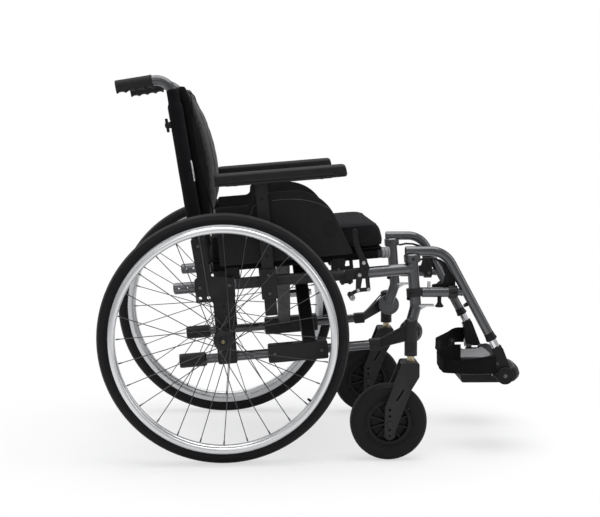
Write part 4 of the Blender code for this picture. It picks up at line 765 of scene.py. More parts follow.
def blend_colours(tree, share, first, second):
    node = add_node(tree, "Mix", data_type="RGBA")
    for key, value in (("Factor", share), ("A", first), ("B", second)):
        kind = "VALUE" if key == "Factor" else "RGBA"
        socket = next(s for s in node.inputs if s.name == key and s.type == kind)
        if isinstance(value, bpy.types.NodeSocket):
            tree.links.new(value, socket)
        else:
            socket.default_value = value if key == "Factor" else (*value, 1)
    return next(s for s in node.outputs if s.type == "RGBA")


def bump_of(tree, height, strength, distance):
    values = {"Height": height, "Strength": strength, "Distance": distance}
    return add_node(tree, "Bump", values).outputs["Normal"]


def lit_and_worn_edges(tree, colour, share, lit_and_worn_edge_colour, low=0.52, high=0.60):
    """The colour, lightened along a shape's edges: partly wear, partly a painted highlight where the edges
    catch the light.
    """
    edges = spread(tree, add_node(tree, "NewGeometry").outputs["Pointiness"], 0, 1, low, high)
    return blend_colours(tree, calc(tree, "MULTIPLY", edges, share), colour, lit_and_worn_edge_colour)


def join(tree, shader, colour, roughness, normal):
    """Links what a finish works out to its shader; a colour of None stays as set."""
    for key, value in (("Base Color", colour), ("Roughness", roughness), ("Normal", normal)):
        if value is not None:
            tree.links.new(value, shader.inputs[key])


def painted_metal():
    """Anthracite metallic lacquer: fine flakes, a soft orange-peel and a thin clear coat."""
    made, tree, shader = plain_material(
        "frame_paint_finish", (0.075, 0.076, 0.080), 0.30, Metallic=0.85, Coat_Weight=0.35,
        Coat_Roughness=0.10
    )
    where = places(tree)
    flakes = noise_of(tree, where, 2600, 2.0)
    clouds = noise_of(tree, where, 30, 3.0)
    colour = blend_colours(tree, spread(tree, flakes, 0, 1), (0.050, 0.051, 0.054), (0.120, 0.121, 0.126))
    colour = blend_colours(tree, spread(tree, clouds, 0.0, 0.25), colour, (0.095, 0.095, 0.098))
    # Edges lightened: partly wear, partly a painted highlight where the edges catch the light.
    colour = lit_and_worn_edges(tree, colour, 0.35, (0.23, 0.23, 0.24))
    peel = noise_of(tree, where, 420, 2.0)
    join(tree, shader, colour, spread(tree, clouds, 0.25, 0.32), bump_of(tree, peel, 0.05, 0.0006))
    return made


def black_coat():
    """Black powder coat with a fine pebbled surface."""
    made, tree, shader = plain_material(
        "black_metal_finish", (0.009, 0.009, 0.010), 0.44, Specular_IOR_Level=0.26
    )
    where = places(tree)
    pebbles = noise_of(tree, where, 1300, 3.0)
    clouds = noise_of(tree, where, 45, 4.0)
    colour = blend_colours(tree, spread(tree, clouds, 0, 1), (0.007, 0.007, 0.008), (0.013, 0.013, 0.014))
    # Edges lightened: partly wear, partly a painted highlight where the edges catch the light.
    colour = lit_and_worn_edges(tree, colour, 0.40, (0.055, 0.055, 0.058))
    join(tree, shader, colour, spread(tree, clouds, 0.36, 0.50), bump_of(tree, pebbles, 0.22, 0.0005))
    return made


def moulded_plastic(name, dark, light, roughness, grain_scale, grain):
    """Moulded plastic with an even fine grain and slightly lighter edges: partly wear, partly a painted
    highlight.
    """
    made, tree, shader = plain_material(name, dark, roughness, Specular_IOR_Level=0.18)
    where = places(tree)
    cells = add_node(tree, "TexVoronoi", {"Vector": where, "Scale": grain_scale}).outputs["Distance"]
    clouds = noise_of(tree, where, 60, 4.0)
    colour = blend_colours(tree, spread(tree, clouds, 0, 1), dark, light)
    # Edges lightened: partly wear, partly a painted highlight where the edges catch the light.
    colour = lit_and_worn_edges(tree, colour, 0.30, (0.060, 0.060, 0.062))
    rough = spread(tree, clouds, roughness - 0.05, roughness + 0.06)
    join(tree, shader, colour, rough, bump_of(tree, cells, grain, 0.0006))
    return made


def bare_metal(name, colour, roughness, stretch=(1, 1, 1), streaks=0.10):
    """Bare or plated metal with faint marks of use."""
    made, tree, shader = plain_material(name, colour, roughness, Metallic=1.0)
    where = places(tree, stretch)
    marks = noise_of(tree, where, 260, 6.0, 0.7)
    clouds = noise_of(tree, places(tree), 26, 3.0)
    dull = tuple(c * 0.86 for c in colour)
    mixed = blend_colours(tree, spread(tree, clouds, 0, 0.8), colour, dull)
    rough = spread(tree, marks, roughness - streaks / 2, roughness + streaks)
    join(tree, shader, mixed, rough, bump_of(tree, marks, 0.06, 0.0004))
    return made


def wheel_places(tree):
    """How far a point is from the local Y axis, its turn about it in radians, and its place along it."""
    split = add_node(tree, "SeparateXYZ", {"Vector": places(tree)})
    x, z = split.outputs["X"], split.outputs["Z"]
    radius = calc(tree, "SQRT", calc(tree, "ADD", calc(tree, "MULTIPLY", x, x), calc(tree, "MULTIPLY", z, z)))
    return radius, calc(tree, "ARCTAN2", x, z), split.outputs["Y"]


def brushed_ring():
    """Anodised aluminium of a wheel's rim, with turning marks that follow the ring."""
    made, tree, shader = plain_material("rim_finish", (0.70, 0.71, 0.72), 0.30, Metallic=0.9)
    radius, turn, out = wheel_places(tree)
    scales = (("X", radius, 2600), ("Y", out, 2600), ("Z", turn, 3.0))
    rings = add_node(
        tree, "CombineXYZ", {key: calc(tree, "MULTIPLY", value, scale) for key, value, scale in scales}
    )
    marks = noise_of(tree, rings.outputs["Vector"], 1.0, 3.0)
    clouds = noise_of(tree, places(tree), 18, 4.0)
    colour = blend_colours(tree, spread(tree, marks, 0, 1), (0.68, 0.69, 0.70), (0.79, 0.795, 0.80))
    rough = calc(tree, "ADD", spread(tree, marks, 0.24, 0.36), spread(tree, clouds, -0.03, 0.05))
    join(tree, shader, colour, rough, bump_of(tree, marks, 0.05, 0.0003))
    return made


def tyre_rubber(name, tread_from, dust):
    """Rubber, with the tread greyed by the floor and faint mould rings on its sides."""
    made, tree, shader = plain_material(name, (0.010, 0.010, 0.011), 0.66, Specular_IOR_Level=0.16)
    radius = wheel_places(tree)[0]
    where = places(tree)
    clouds = noise_of(tree, where, 55, 6.0, 0.65)
    grain = noise_of(tree, where, 1500, 3.0)
    worn = spread(tree, radius, 0, 1, tread_from, tread_from + 0.004)
    worn = calc(tree, "MULTIPLY", worn, spread(tree, clouds, 0.35, 1.0))
    side = blend_colours(tree, spread(tree, clouds, 0, 1), (0.007, 0.007, 0.008), (0.012, 0.012, 0.013))
    colour = blend_colours(tree, worn, side, dust)
    # Tread block and shoulder edges lightened: partly wear, partly a painted highlight where the tread
    # catches the light.
    colour = lit_and_worn_edges(tree, colour, 0.45, (0.075, 0.075, 0.072), 0.54, 0.66)
    rings = calc(tree, "SINE", calc(tree, "MULTIPLY", radius, 5200))
    height = calc(tree, "ADD", calc(tree, "MULTIPLY", rings, 0.10), grain)
    join(tree, shader, colour, spread(tree, clouds, 0.52, 0.72), bump_of(tree, height, 0.18, 0.0006))
    return made


def woven_cloth(name, dark, light, pitch, depth, sheen):
    """A plain weave whose threads run along the object's own lines."""
    made, tree, shader = plain_material(
        name, dark, 0.92, Specular_IOR_Level=0.06, Sheen_Weight=sheen, Sheen_Roughness=0.45
    )
    where = places(tree)
    split = add_node(tree, "SeparateXYZ", {"Vector": where})
    wave = math.pi / pitch
    lines = [calc(tree, "SINE", calc(tree, "MULTIPLY", split.outputs[key], wave)) for key in "XYZ"]
    crossings = [calc(tree, "MULTIPLY", lines[k], lines[(k + 1) % 3]) for k in range(3)]
    weave = calc(tree, "ADD", calc(tree, "ADD", crossings[0], crossings[1]), crossings[2])
    fuzz = noise_of(tree, where, 900, 4.0)
    clouds = noise_of(tree, where, 14, 5.0, 0.6)
    # The colour follows the weave: lighter on the threads' crests and darker in the hollows between them, a
    # painted shade and highlight of the weave, over a random cloudy tone.
    share = calc(tree, "ADD", spread(tree, weave, 0, 0.5, -1.2, 1.2), spread(tree, clouds, 0, 0.5))
    colour = blend_colours(tree, share, dark, light)
    height = calc(tree, "ADD", weave, calc(tree, "MULTIPLY", fuzz, 0.8))
    join(tree, shader, colour, spread(tree, fuzz, 0.80, 0.95), bump_of(tree, height, depth, 0.0007))
    return made


def ribbed_tray():
    """The footplate's grey top with slanting anti-slip ribs."""
    made, tree, shader = plain_material("tray_top_finish", (0.20, 0.20, 0.205), 0.50, Specular_IOR_Level=0.45)
    split = add_node(tree, "SeparateXYZ", {"Vector": places(tree)})
    slant = calc(tree, "ADD", split.outputs["X"], calc(tree, "MULTIPLY", split.outputs["Y"], 0.6))
    ribs = calc(tree, "SINE", calc(tree, "MULTIPLY", slant, 780))
    clouds = noise_of(tree, places(tree), 40, 5.0)
    # The colour follows the ribs: darker down in the grooves, a painted shade, and lighter on the crests,
    # partly rubbed wear and partly a painted highlight.
    share = calc(tree, "ADD", spread(tree, ribs, 0, 0.6, -0.6, 0.6), spread(tree, clouds, 0, 0.4))
    colour = blend_colours(tree, share, (0.105, 0.105, 0.108), (0.27, 0.27, 0.275))
    height = calc(tree, "ADD", spread(tree, ribs, 0, 1, -0.4, 0.7), calc(tree, "MULTIPLY", clouds, 0.15))
    join(tree, shader, colour, spread(tree, clouds, 0.42, 0.6), bump_of(tree, height, 0.5, 0.0012))
    return made


FINISHES = {
    "paint": painted_metal(), "coat": black_coat(),
    "plastic": moulded_plastic(
        "black_plastic_finish", (0.006, 0.006, 0.007), (0.010, 0.010, 0.011), 0.46, 1500, 0.16
    ),
    "guard": moulded_plastic(
        "side_guard_finish", (0.006, 0.006, 0.007), (0.010, 0.010, 0.010), 0.52, 2200, 0.10
    ),
    "soft": moulded_plastic(
        "soft_plastic_finish", (0.010, 0.010, 0.011), (0.016, 0.016, 0.017), 0.52, 900, 0.28
    ),
    "steel": bare_metal("silver_finish", (0.62, 0.62, 0.63), 0.26),
    "bolt": bare_metal("bolt_finish", (0.120, 0.120, 0.124), 0.36),
    "chrome": bare_metal("chrome_finish", (0.80, 0.80, 0.82), 0.12, (1, 1, 0.2), 0.05),
    "brass": bare_metal("brass_finish", (0.55, 0.47, 0.31), 0.32),
    "button": bare_metal("button_finish", (0.250, 0.205, 0.125), 0.42), "rim": brushed_ring(),
    "spoke": bare_metal("spoke_finish", (0.085, 0.085, 0.088), 0.34),
    "tyre": tyre_rubber("tyre_finish", 0.2985, (0.050, 0.050, 0.048)),
    "castor_tyre": tyre_rubber("castor_tyre_finish", 0.0915, (0.024, 0.024, 0.023)),
    "grip": moulded_plastic(
        "grip_rubber_finish", (0.012, 0.012, 0.013), (0.020, 0.020, 0.021), 0.60, 1100, 0.30
    ),
    "sling": woven_cloth("fabric_finish", (0.004, 0.004, 0.005), (0.011, 0.011, 0.012), 0.0011, 0.5, 0.02),
    "webbing": woven_cloth(
        "webbing_finish", (0.006, 0.006, 0.006), (0.014, 0.014, 0.015), 0.0016, 0.7, 0.02
    ),
    "cover": woven_cloth(
        "upholstery_finish", (0.006, 0.006, 0.007), (0.018, 0.018, 0.020), 0.0016, 0.6, 0.05
    ),
    "back_cover": woven_cloth(
        "back_cover_finish", (0.007, 0.007, 0.008), (0.020, 0.020, 0.022), 0.0016, 0.6, 0.30
    ),
    "cover_side": woven_cloth(
        "upholstery_side_finish", (0.007, 0.007, 0.008), (0.017, 0.017, 0.018), 0.0013, 0.4, 0.02
    ),
    # Lighter grey plastic for the guard's two edge lines: a painted highlight.
    "lit_edge_line": moulded_plastic("guard_highlight_line_finish", (0.075, 0.075, 0.078), (0.110, 0.110, 0.114), 0.30, 900, 0.05),
    "tray": ribbed_tray(),
    # Near-black plastic for the discs on the extension tube: painted shade standing in for its holes.
    "dark": moulded_plastic("painted_hole_shade_finish", (0.004, 0.004, 0.004), (0.007, 0.007, 0.007), 0.7, 900, 0.1)
}


# Rear wheels


def wheel_centre(side):
    return chair_point(0, side * REAR_TRACK_HALF, REAR_RADIUS)


def tread_depth(turn, section):
    """How deep the tread is cut at one place of the tyre; section is in degrees from its crown."""
    off = abs(section)
    if off < TREAD_RIB or off > TREAD_EDGE:
        return 0.0
    row = 0 if off < (TREAD_RIB + TREAD_EDGE) / 2 else 1
    share = (turn * TREAD_BLOCKS / math.tau + 0.5 * row + (0.25 if section > 0 else 0.0)) % 1.0
    between_rows = abs(off - (TREAD_RIB + TREAD_EDGE) / 2) < 1.6 or off < TREAD_RIB + 2.2
    return TREAD_DEPTH if share > 0.70 or between_rows else 0.0


def dress_rear_tyre(side):
    """The tyre with its blocks; each block takes four steps round the wheel."""
    middle = REAR_RADIUS - TYRE_SECTION
    seat = RIM_OUTER + CLEARANCE
    lip = math.degrees(math.acos((seat - middle) / TYRE_SECTION))
    sections = [-lip, -lip + 5, -96, -80, -64, -50]
    half = [
        TREAD_EDGE + 0.6, TREAD_EDGE - 0.6, 30.5, 29.0, 25.4, 24.0, TREAD_RIB + 2.6, TREAD_RIB + 1.8,
        TREAD_RIB - 0.4
    ]
    sections += [-a for a in half] + [0.0] + half[::-1] + [-a for a in sections[::-1]]
    steps = 4 * TREAD_BLOCKS
    rings = []
    for k in range(steps):
        turn = math.tau * (k // 4 + (0.02, 0.66, 0.70, 0.98)[k % 4]) / TREAD_BLOCKS
        away = around(turn)
        ring = []
        for section in sections:
            a = math.radians(section)
            off = abs(section)
            lift = 0.0006 if abs(off - 74) < 8 else 0.0
            radius = TYRE_SECTION - tread_depth(turn + 0.0001, section) - 0.0006 + (
                lift if off > 50 else 0.0006
            )
            out = radius * math.sin(a)
            ring.append(wheel_centre(side) + away * (middle + radius * math.cos(a)) + Y_WAY * out)
        rings.append(ring)
    tyre = skin(rings, looped=True)
    side_piece(side, "tyre", "rear_wheel", [("tyre", tyre)], "rear_tyre", wheel_centre(side), 30)


def dress_rear_rim(side):
    shoulder = RIM_INNER + 0.006
    profile = [
        (RIM_OUTER, -RIM_HALF_WIDTH), (RIM_OUTER, -RIM_HALF_WIDTH + 0.0016),
        (RIM_OUTER - 0.004, -RIM_HALF_WIDTH + 0.0024), (RIM_OUTER - 0.004, RIM_HALF_WIDTH - 0.0024),
        (RIM_OUTER, RIM_HALF_WIDTH - 0.0016), (RIM_OUTER, RIM_HALF_WIDTH),
        (shoulder + 0.0005, RIM_HALF_WIDTH), (shoulder - 0.0004, RIM_HALF_WIDTH - 0.0006),
        (RIM_INNER + 0.0004, RIM_HALF_WIDTH / 2), (RIM_INNER, 0.002), (RIM_INNER, -0.002),
        (RIM_INNER + 0.0004, -RIM_HALF_WIDTH / 2), (shoulder - 0.0004, -RIM_HALF_WIDTH + 0.0006),
        (shoulder + 0.0005, -RIM_HALF_WIDTH)
    ]
    ring = turned(profile, wheel_centre(side), Y_WAY, 160, Z_WAY, 0.0008)
    away = around(2.2)
    inner = wheel_centre(side) + away * (RIM_INNER - 0.009)
    valve = turned([(0, 0), (0.0022, 0), (0.0030, 0.003), (0.0030, 0.012), (0, 0.012)], inner, away, 16)
    side_piece(
        side, "rim", "rear_wheel", [("rim", ring), ("plastic", valve)], "rear_rim",
        wheel_centre(side)
    )


def dress_handrim(side):
    """The push rim on its six tabs, each with a screw."""
    centre = wheel_centre(side)
    profile = arc((HANDRIM_RADIUS, HANDRIM_OFFSET), HANDRIM_TUBE, 0, 342, 19)
    ring = turned(profile, centre, Y_WAY * side, 160, Z_WAY, 0.0)
    parts = [("rim", ring)]
    tab_start = RIM_HALF_WIDTH + CLEARANCE
    tab_end = HANDRIM_OFFSET - HANDRIM_TUBE / 2
    tab_in, tab_out = HANDRIM_RADIUS + 0.001, RIM_OUTER - 0.002
    for n in range(HANDRIM_TABS):
        a = math.tau * (n + 0.5) / HANDRIM_TABS
        away, along = around(a), onward(a)
        corner = centre + Y_WAY * side * tab_start
        foot = [(tab_in, -0.008), (tab_out, -0.008), (tab_out, 0.008), (tab_in, 0.008)]
        parts.append(("rim", prism(foot, corner, away, along, Y_WAY * side, 0.003, 0.0008, 0.003)))
        neck = [(tab_in, -0.0065), (tab_in + 0.0035, -0.0065), (tab_in + 0.0035, 0.0065), (tab_in, 0.0065)]
        parts.append(
            ("rim", prism(neck, corner, away, along, Y_WAY * side, tab_end - tab_start, 0.0006, 0.001))
        )
        spot = corner + away * (tab_out - 0.0045) + Y_WAY * side * 0.003
        parts.append(("bolt", socket_screw(spot, Y_WAY * side, 0.0030, 0.0018)))
    side_piece(side, "push_rim", "rear_wheel", parts, "handrim", centre)


def dress_rear_hub(side):
    """The hub with its flanges and axle, and the laced spokes with their nipples."""
    centre = wheel_centre(side)
    way = Y_WAY * side
    inner_end = REAR_TRACK_HALF - PLATE_OUTER - CLEARANCE
    flange_in = FLANGE_OFFSET - FLANGE_THICKNESS / 2
    flange_out = FLANGE_OFFSET + FLANGE_THICKNESS / 2
    head_end = flange_out + 0.012
    button_bore = BUTTON_RADIUS + CLEARANCE
    hub = [
        (0.0066, -inner_end), (0.0125, -inner_end), (0.0125, -flange_out), (FLANGE_RADIUS, -flange_out),
        (FLANGE_RADIUS, -flange_in), (HUB_BARREL + 0.0030, -flange_in + 0.0008),
        (HUB_BARREL, -flange_in + 0.0060), (HUB_BARREL - 0.0008, 0), (HUB_BARREL, flange_in - 0.0060),
        (HUB_BARREL + 0.0030, flange_in - 0.0008), (FLANGE_RADIUS, flange_in), (FLANGE_RADIUS, flange_out),
        (0.0185, flange_out + 0.0030), (0.0105, flange_out + 0.0050), (0.0105, flange_out + 0.0010),
        (0.0066, flange_out + 0.0010)
    ]
    axle = [
        (0, -AXLE_REACH), (AXLE_RADIUS - 0.001, -AXLE_REACH), (AXLE_RADIUS, -AXLE_REACH + 0.0015),
        (AXLE_RADIUS, flange_out + 0.0015), (0.0098, flange_out + 0.0015), (0.0098, flange_out + 0.0065),
        (0.0080, flange_out + 0.0080), (0.0080, head_end), (button_bore, head_end),
        (button_bore, head_end - 0.010), (0, head_end - 0.010)
    ]
    parts = [
        ("coat", turned(hub, centre, way, 64, Z_WAY, 0.0007)),
        ("coat", turned(axle, centre, way, 40, Z_WAY, 0.0005)),
        ("coat", hoop(centre + way * (flange_out + 0.0006), way, 0.0150, 0.0009, 56, 8))
    ]
    hole_radius = FLANGE_RADIUS - 0.003
    rim_end = RIM_APOTHEM - 2 * CLEARANCE
    for n in range(SPOKES):
        flange_side = 1 if n % 2 == 0 else -1
        leading = (n // 2) % 2 == 0
        hub_offset = flange_out - 0.0005 if leading else flange_in + 0.0005
        rim_offset = 0.0042 if leading else 0.0012
        rim_angle = math.tau * n / SPOKES
        hub_angle = rim_angle + math.radians(SPOKE_SWEEP if leading else -SPOKE_SWEEP)
        ends = []
        for angle, radius, offset in ((hub_angle, hole_radius, hub_offset), (rim_angle, rim_end, rim_offset)):
            ends.append(centre + around(angle) * radius + way * flange_side * offset)
        run = (ends[1] - ends[0]).normalized()
        parts.append(("spoke", sweep(ends, SPOKE_RADIUS, 8, 0.0)))
        nipple = [(0, 0.011), (0.0011, 0.011), (0.0016, 0.0095), (0.0019, 0.0), (0, 0.0)]
        parts.append(("bolt", turned(nipple, ends[1], -run, 8, Y_WAY, 0.0)))
        head = way * flange_side * (1 if leading else -1)
        parts.append(
            (
                "bolt",
                turned([(0, -0.001), (0.0019, -0.001), (0.0019, 0.0006), (0, 0.0012)], ends[0], head, 8)
            )
        )
    side_piece(side, "hub_and_spokes", "rear_wheel", parts, "rear_hub", centre)
    low = head_end - 0.010 + BUTTON_TRAVEL + CLEARANCE
    high = head_end + BUTTON_TRAVEL
    profile = [(0, low), (BUTTON_RADIUS, low), (BUTTON_RADIUS, high - 0.0008), (BUTTON_RADIUS - 0.0008, high)]
    profile += [(0.0020, high), (0.0014, high - 0.0006), (0, high - 0.0006)]
    button = turned(profile, centre, way, 32, Z_WAY, 0.0002)
    side_piece(side, "button", "release_button", [("button", button)], "axle_button", centre)


# Side frames


def bead(points, radius, sides=8):
    """A closed ring of small round section along points."""
    rings = []
    count = len(points)
    middle = sum(points, Vector()) / count
    for k, point in enumerate(points):
        ahead = (points[(k + 1) % count] - points[k - 1]).normalized()
        outward = point - middle
        outward = (outward - ahead * outward.dot(ahead)).normalized()
        across = ahead.cross(outward)
        turns = [math.tau * n / sides for n in range(sides)]
        rings.append([point + (outward * math.cos(a) + across * math.sin(a)) * radius for a in turns])
    return skin(rings, looped=True)


def dress_side_frame(side):
    """The upper tube with its weld and plug, the front tube with its disc, saddles, socket and stop."""
    y = side * FRAME_HALF
    way = Y_WAY * side
    rear_end = frame_point(UPPER_TUBE_REAR, y, UPPER_TUBE_H)
    upper = frame_bar(UPPER_TUBE_REAR, FRONT_TUBE_U - 0.003, y, UPPER_TUBE_H, TUBE_RADIUS, 40, 0.0012)
    holes = [pin(frame_point(u, y, UPPER_TUBE_H), way, -0.02, 0.02, 0.0031, 16) for u in (-0.0947, -0.0744)]
    upper = cut(upper, holes)
    wrapped = frame_bar(UPPER_WRAP_REAR, UPPER_WRAP_FRONT, y, UPPER_TUBE_H, TUBE_RADIUS + 0.0002, 40)
    plug_profile = [(0, -0.004), (0.0118, -0.004), (0.0118, 0.0012), (0.0085, 0.0024), (0, 0.0024)]
    plug = turned(plug_profile, rear_end, -U_WAY, 32)
    tube_end_out = FLANGE_DISC_OUTER - TUBE_RADIUS - 2 * CLEARANCE
    corners = [
        frame_point(FRONT_TUBE_U, y, FRONT_TUBE_TOP), frame_point(FRONT_TUBE_U, y, FRONT_TUBE_BEND_H),
        frame_point(FLANGE_DISC_U, side * tube_end_out, FLANGE_DISC_H + 0.008)
    ]
    front = sweep(rounded_path(corners, FRONT_BEND_RADIUS, 10), TUBE_RADIUS, 40, 0.0010)
    weld = []
    for k in range(56):
        a = math.tau * k / 56
        u = FRONT_TUBE_U - TUBE_RADIUS * abs(math.cos(a)) - 0.0006
        reach = TUBE_RADIUS * (1 + 0.03 * math.sin(28 * a))
        weld.append(frame_point(u, y + reach * math.sin(a), UPPER_TUBE_H + reach * math.cos(a)))
    disc_back = FLANGE_DISC_OUTER - FLANGE_DISC_THICKNESS
    disc = turned(
        [
            (0, 0.0010), (0.0235, 0.0010), (0.0243, 0), (FLANGE_DISC_RADIUS, 0),
            (FLANGE_DISC_RADIUS, FLANGE_DISC_THICKNESS), (0, FLANGE_DISC_THICKNESS)
        ],
        frame_point(FLANGE_DISC_U, side * disc_back, FLANGE_DISC_H), way, 64, Z_WAY, 0.0008
    )
    notches = []
    for turn in (200, 335):
        a = math.radians(turn)
        u, h = FLANGE_DISC_U + 0.0255 * math.cos(a), FLANGE_DISC_H + 0.0255 * math.sin(a)
        spot = frame_point(u, side * disc_back, h)
        notches.append(pin(spot, way, -0.001, 0.0035, 0.0026, 16))
    disc = cut(disc, notches)
    front_face_x = frame_point(FRONT_TUBE_U, y, KNUCKLE_H).x + CENTRE_X
    striker_top = BAR_Z - BAR_RADIUS - 0.018
    striker = chair_block(
        side, (front_face_x, front_face_x + TUBE_RADIUS + STRIKER_LENGTH),
        (FRAME_HALF - STRIKER_HALF_WIDTH, FRAME_HALF + STRIKER_HALF_WIDTH),
        (striker_top - STRIKER_THICKNESS, striker_top), 0.0008, 0.0012
    )
    gusset = chair_plate(
        [
            (front_face_x + TUBE_RADIUS - 0.002, striker_top - STRIKER_THICKNESS + 0.001),
            (front_face_x + TUBE_RADIUS + 0.020, striker_top - STRIKER_THICKNESS + 0.001),
            (front_face_x + TUBE_RADIUS - 0.002, striker_top - STRIKER_THICKNESS - 0.012)
        ],
        side, FRAME_HALF - 0.002, FRAME_HALF + 0.002
    )
    rear_stud = chair_point(STEM_X + 0.0085, y, 0.391)
    stud_profile = [(0, 0), (0.0052, 0), (0.0052, 0.006), (0.0038, 0.0125), (0, 0.0135)]
    stud = turned(stud_profile, rear_stud, -X_WAY, 24)
    bore_radius = RAIL_RADIUS + CLEARANCE
    rail_bore = frame_bar(RAIL_REAR - 0.01, RAIL_FRONT + 0.01, side * RAIL_HALF, RAIL_H, bore_radius, 32)
    parts = [("paint", upper), ("plastic", plug), ("paint", front), ("paint", bead(weld, 0.0019))]
    parts += [("paint", disc), ("coat", wrapped), ("steel", striker), ("steel", gusset), ("plastic", stud)]
    for place in SADDLE_PLACES:
        saddle = frame_block(
            side, about(place, SADDLE_LENGTH), about(RAIL_HALF, SADDLE_WIDTH),
            (UPPER_TUBE_H + 0.004, RAIL_H - 0.004), 0.0018, 0.004
        )
        parts.append(("plastic", cut(saddle, [rail_bore.copy()])))
        spot = frame_point(place, side * (RAIL_HALF + SADDLE_WIDTH / 2), UPPER_TUBE_H + 0.014)
        parts.append(("bolt", socket_screw(spot, way, 0.0034, 0.0022)))
    rail_bore.free()
    socket = frame_block(
        side, about(ARM_POST_U, SOCKET_LENGTH),
        (FRAME_HALF + 0.008, ARM_POST_HALF + ARM_POST_WIDTH / 2 + SOCKET_WALL), (SOCKET_BOTTOM, SOCKET_TOP),
        0.0018, 0.004
    )
    post_hole = frame_block(
        side,
        (ARM_POST_U - ARM_POST_LENGTH_U / 2 - CLEARANCE, ARM_POST_U + ARM_POST_LENGTH_U / 2 + CLEARANCE),
        (ARM_POST_HALF - ARM_POST_WIDTH / 2 - CLEARANCE, ARM_POST_HALF + ARM_POST_WIDTH / 2 + CLEARANCE),
        (SOCKET_BOTTOM - 0.01, SOCKET_TOP + 0.01), 0.0, 0.0
    )
    parts.append(("coat", cut(socket, [post_hole])))
    face = ARM_POST_HALF + ARM_POST_WIDTH / 2 + SOCKET_WALL
    for h in (SOCKET_BOTTOM + 0.014, SOCKET_TOP - 0.016):
        spot = frame_point(ARM_POST_U, side * face, h)
        parts.append(("bolt", socket_screw(spot, way, 0.0036, 0.0026)))
    side_piece(side, "frame_tubes", "frame", parts, "side_frame")


def dress_lower_tube(side):
    y = side * FRAME_HALF
    bar = frame_bar(LOWER_TUBE_REAR, LOWER_TUBE_FRONT, y, 0, LOWER_TUBE_RADIUS, 36, 0.0010)
    sleeve_rear = LOWER_TUBE_REAR - END_SLEEVE_WALL
    profile = [
        (0, 0), (END_SLEEVE_RADIUS - 0.002, 0), (END_SLEEVE_RADIUS, 0.002),
        (END_SLEEVE_RADIUS, END_SLEEVE_LENGTH - 0.004), (END_SLEEVE_RADIUS - 0.003, END_SLEEVE_LENGTH),
        (0, END_SLEEVE_LENGTH)
    ]
    rear = frame_point(sleeve_rear, y, 0)
    sleeve = turned(profile, rear, U_WAY, 44, Z_WAY, 0.0008)
    seams = [hoop(rear + U_WAY * along, U_WAY, END_SLEEVE_RADIUS, 0.0007, 44, 6) for along in (0.010, 0.058)]
    spot = frame_point(sleeve_rear + 0.034, side * (FRAME_HALF + END_SLEEVE_RADIUS - 0.001), 0)
    screw = socket_screw(spot, Y_WAY * side, 0.0038, 0.0030)
    parts = [("paint", bar), ("coat", sleeve), ("coat", seams), ("coat", screw)]
    side_piece(side, "low_tube", "frame", parts, "lower_tube")


def dress_axle_bracket(side):
    """The plate that carries the rear axle, with its bolts and the holes for other wheel places."""
    way = Y_WAY * side
    arm_top_h = 0.300
    post_u_at_top = POST_U - (arm_top_h - POST_H) * math.tan(POST_LEAN - FRAME_TILT)
    reach = POST_RADIUS + 0.0015
    outline = [
        (POST_U - 0.0245, 0.143), (AXLE_U - 0.0185, 0.143), (AXLE_U - 0.0185, -LOWER_TUBE_RADIUS - 0.002),
        (AXLE_U + 0.0290, -LOWER_TUBE_RADIUS - 0.002), (AXLE_U + 0.0290, 0.143), (AXLE_U + 0.0375, 0.150),
        (AXLE_U + 0.0375, 0.197), (POST_U + reach, 0.205), (post_u_at_top + reach, arm_top_h),
        (post_u_at_top - reach, arm_top_h), (POST_U - reach, 0.205), (POST_U - 0.0245, 0.200)
    ]
    plate = frame_plate(outline, side, PLATE_INNER, PLATE_OUTER, 0.0012, 0.006)
    hole_places = [(AXLE_U + 0.006, h, 0.0042) for h in (0.085, 0.107, 0.129)]
    hole_places += [(POST_U - 0.0136, 0.1535, 0.0042), (POST_U + 0.0071, 0.1535, 0.0042)]
    hole_places += [(AXLE_U, AXLE_H, AXLE_RADIUS + CLEARANCE)]
    holes = [
        cross_pin(frame_point(u, 0, h), side, PLATE_INNER - 0.002, PLATE_OUTER + 0.002, radius) for u, h,
        radius in hole_places
    ]
    plate = cut(plate, holes)
    pad = frame_block(
        side, (AXLE_U - 0.0170, AXLE_U + 0.0275),
        (FRAME_HALF + LOWER_TUBE_RADIUS + CLEARANCE, PLATE_INNER + 0.002), (-0.010, 0.010)
    )
    parts = [("coat", plate), ("coat", pad)]
    bolt_places = [
        (POST_U - 0.012, UPPER_TUBE_H), (AXLE_U + 0.025, UPPER_TUBE_H), (AXLE_U - 0.009, 0),
        (AXLE_U + 0.020, 0), (POST_U - 0.004, 0.235), (post_u_at_top, 0.282)
    ]
    for n, (u, h) in enumerate(bolt_places):
        spot = frame_point(u, side * PLATE_OUTER, h)
        finish = "bolt" if n in (0, 1, 5) else "coat"
        parts.append((finish, hex_bolt(spot, way, BOLT_HEAD_RADIUS * 0.66, BOLT_HEAD_HEIGHT)))
    for u, h, radius in hole_places[:3]:
        parts.append(
            ("coat", hoop(frame_point(u, side * PLATE_OUTER, h), way, radius + 0.0007, 0.0006, 28, 6))
        )
    side_piece(side, "axle_plate", "frame", parts, "axle_bracket")


# Back posts, push handles and their clamps


def dress_back_post(side):
    bore = HANDLE_RADIUS + CLEARANCE
    profile = [
        (0, 0), (POST_RADIUS, 0), (POST_RADIUS, POST_LENGTH), (bore, POST_LENGTH), (bore, POST_BORE_START),
        (0, POST_BORE_START)
    ]
    post = turned(profile, post_point(0, 0, side * POST_HALF), POST_WAY, 40)
    side_piece(side, "post", "frame", [("coat", post)], "back_post")


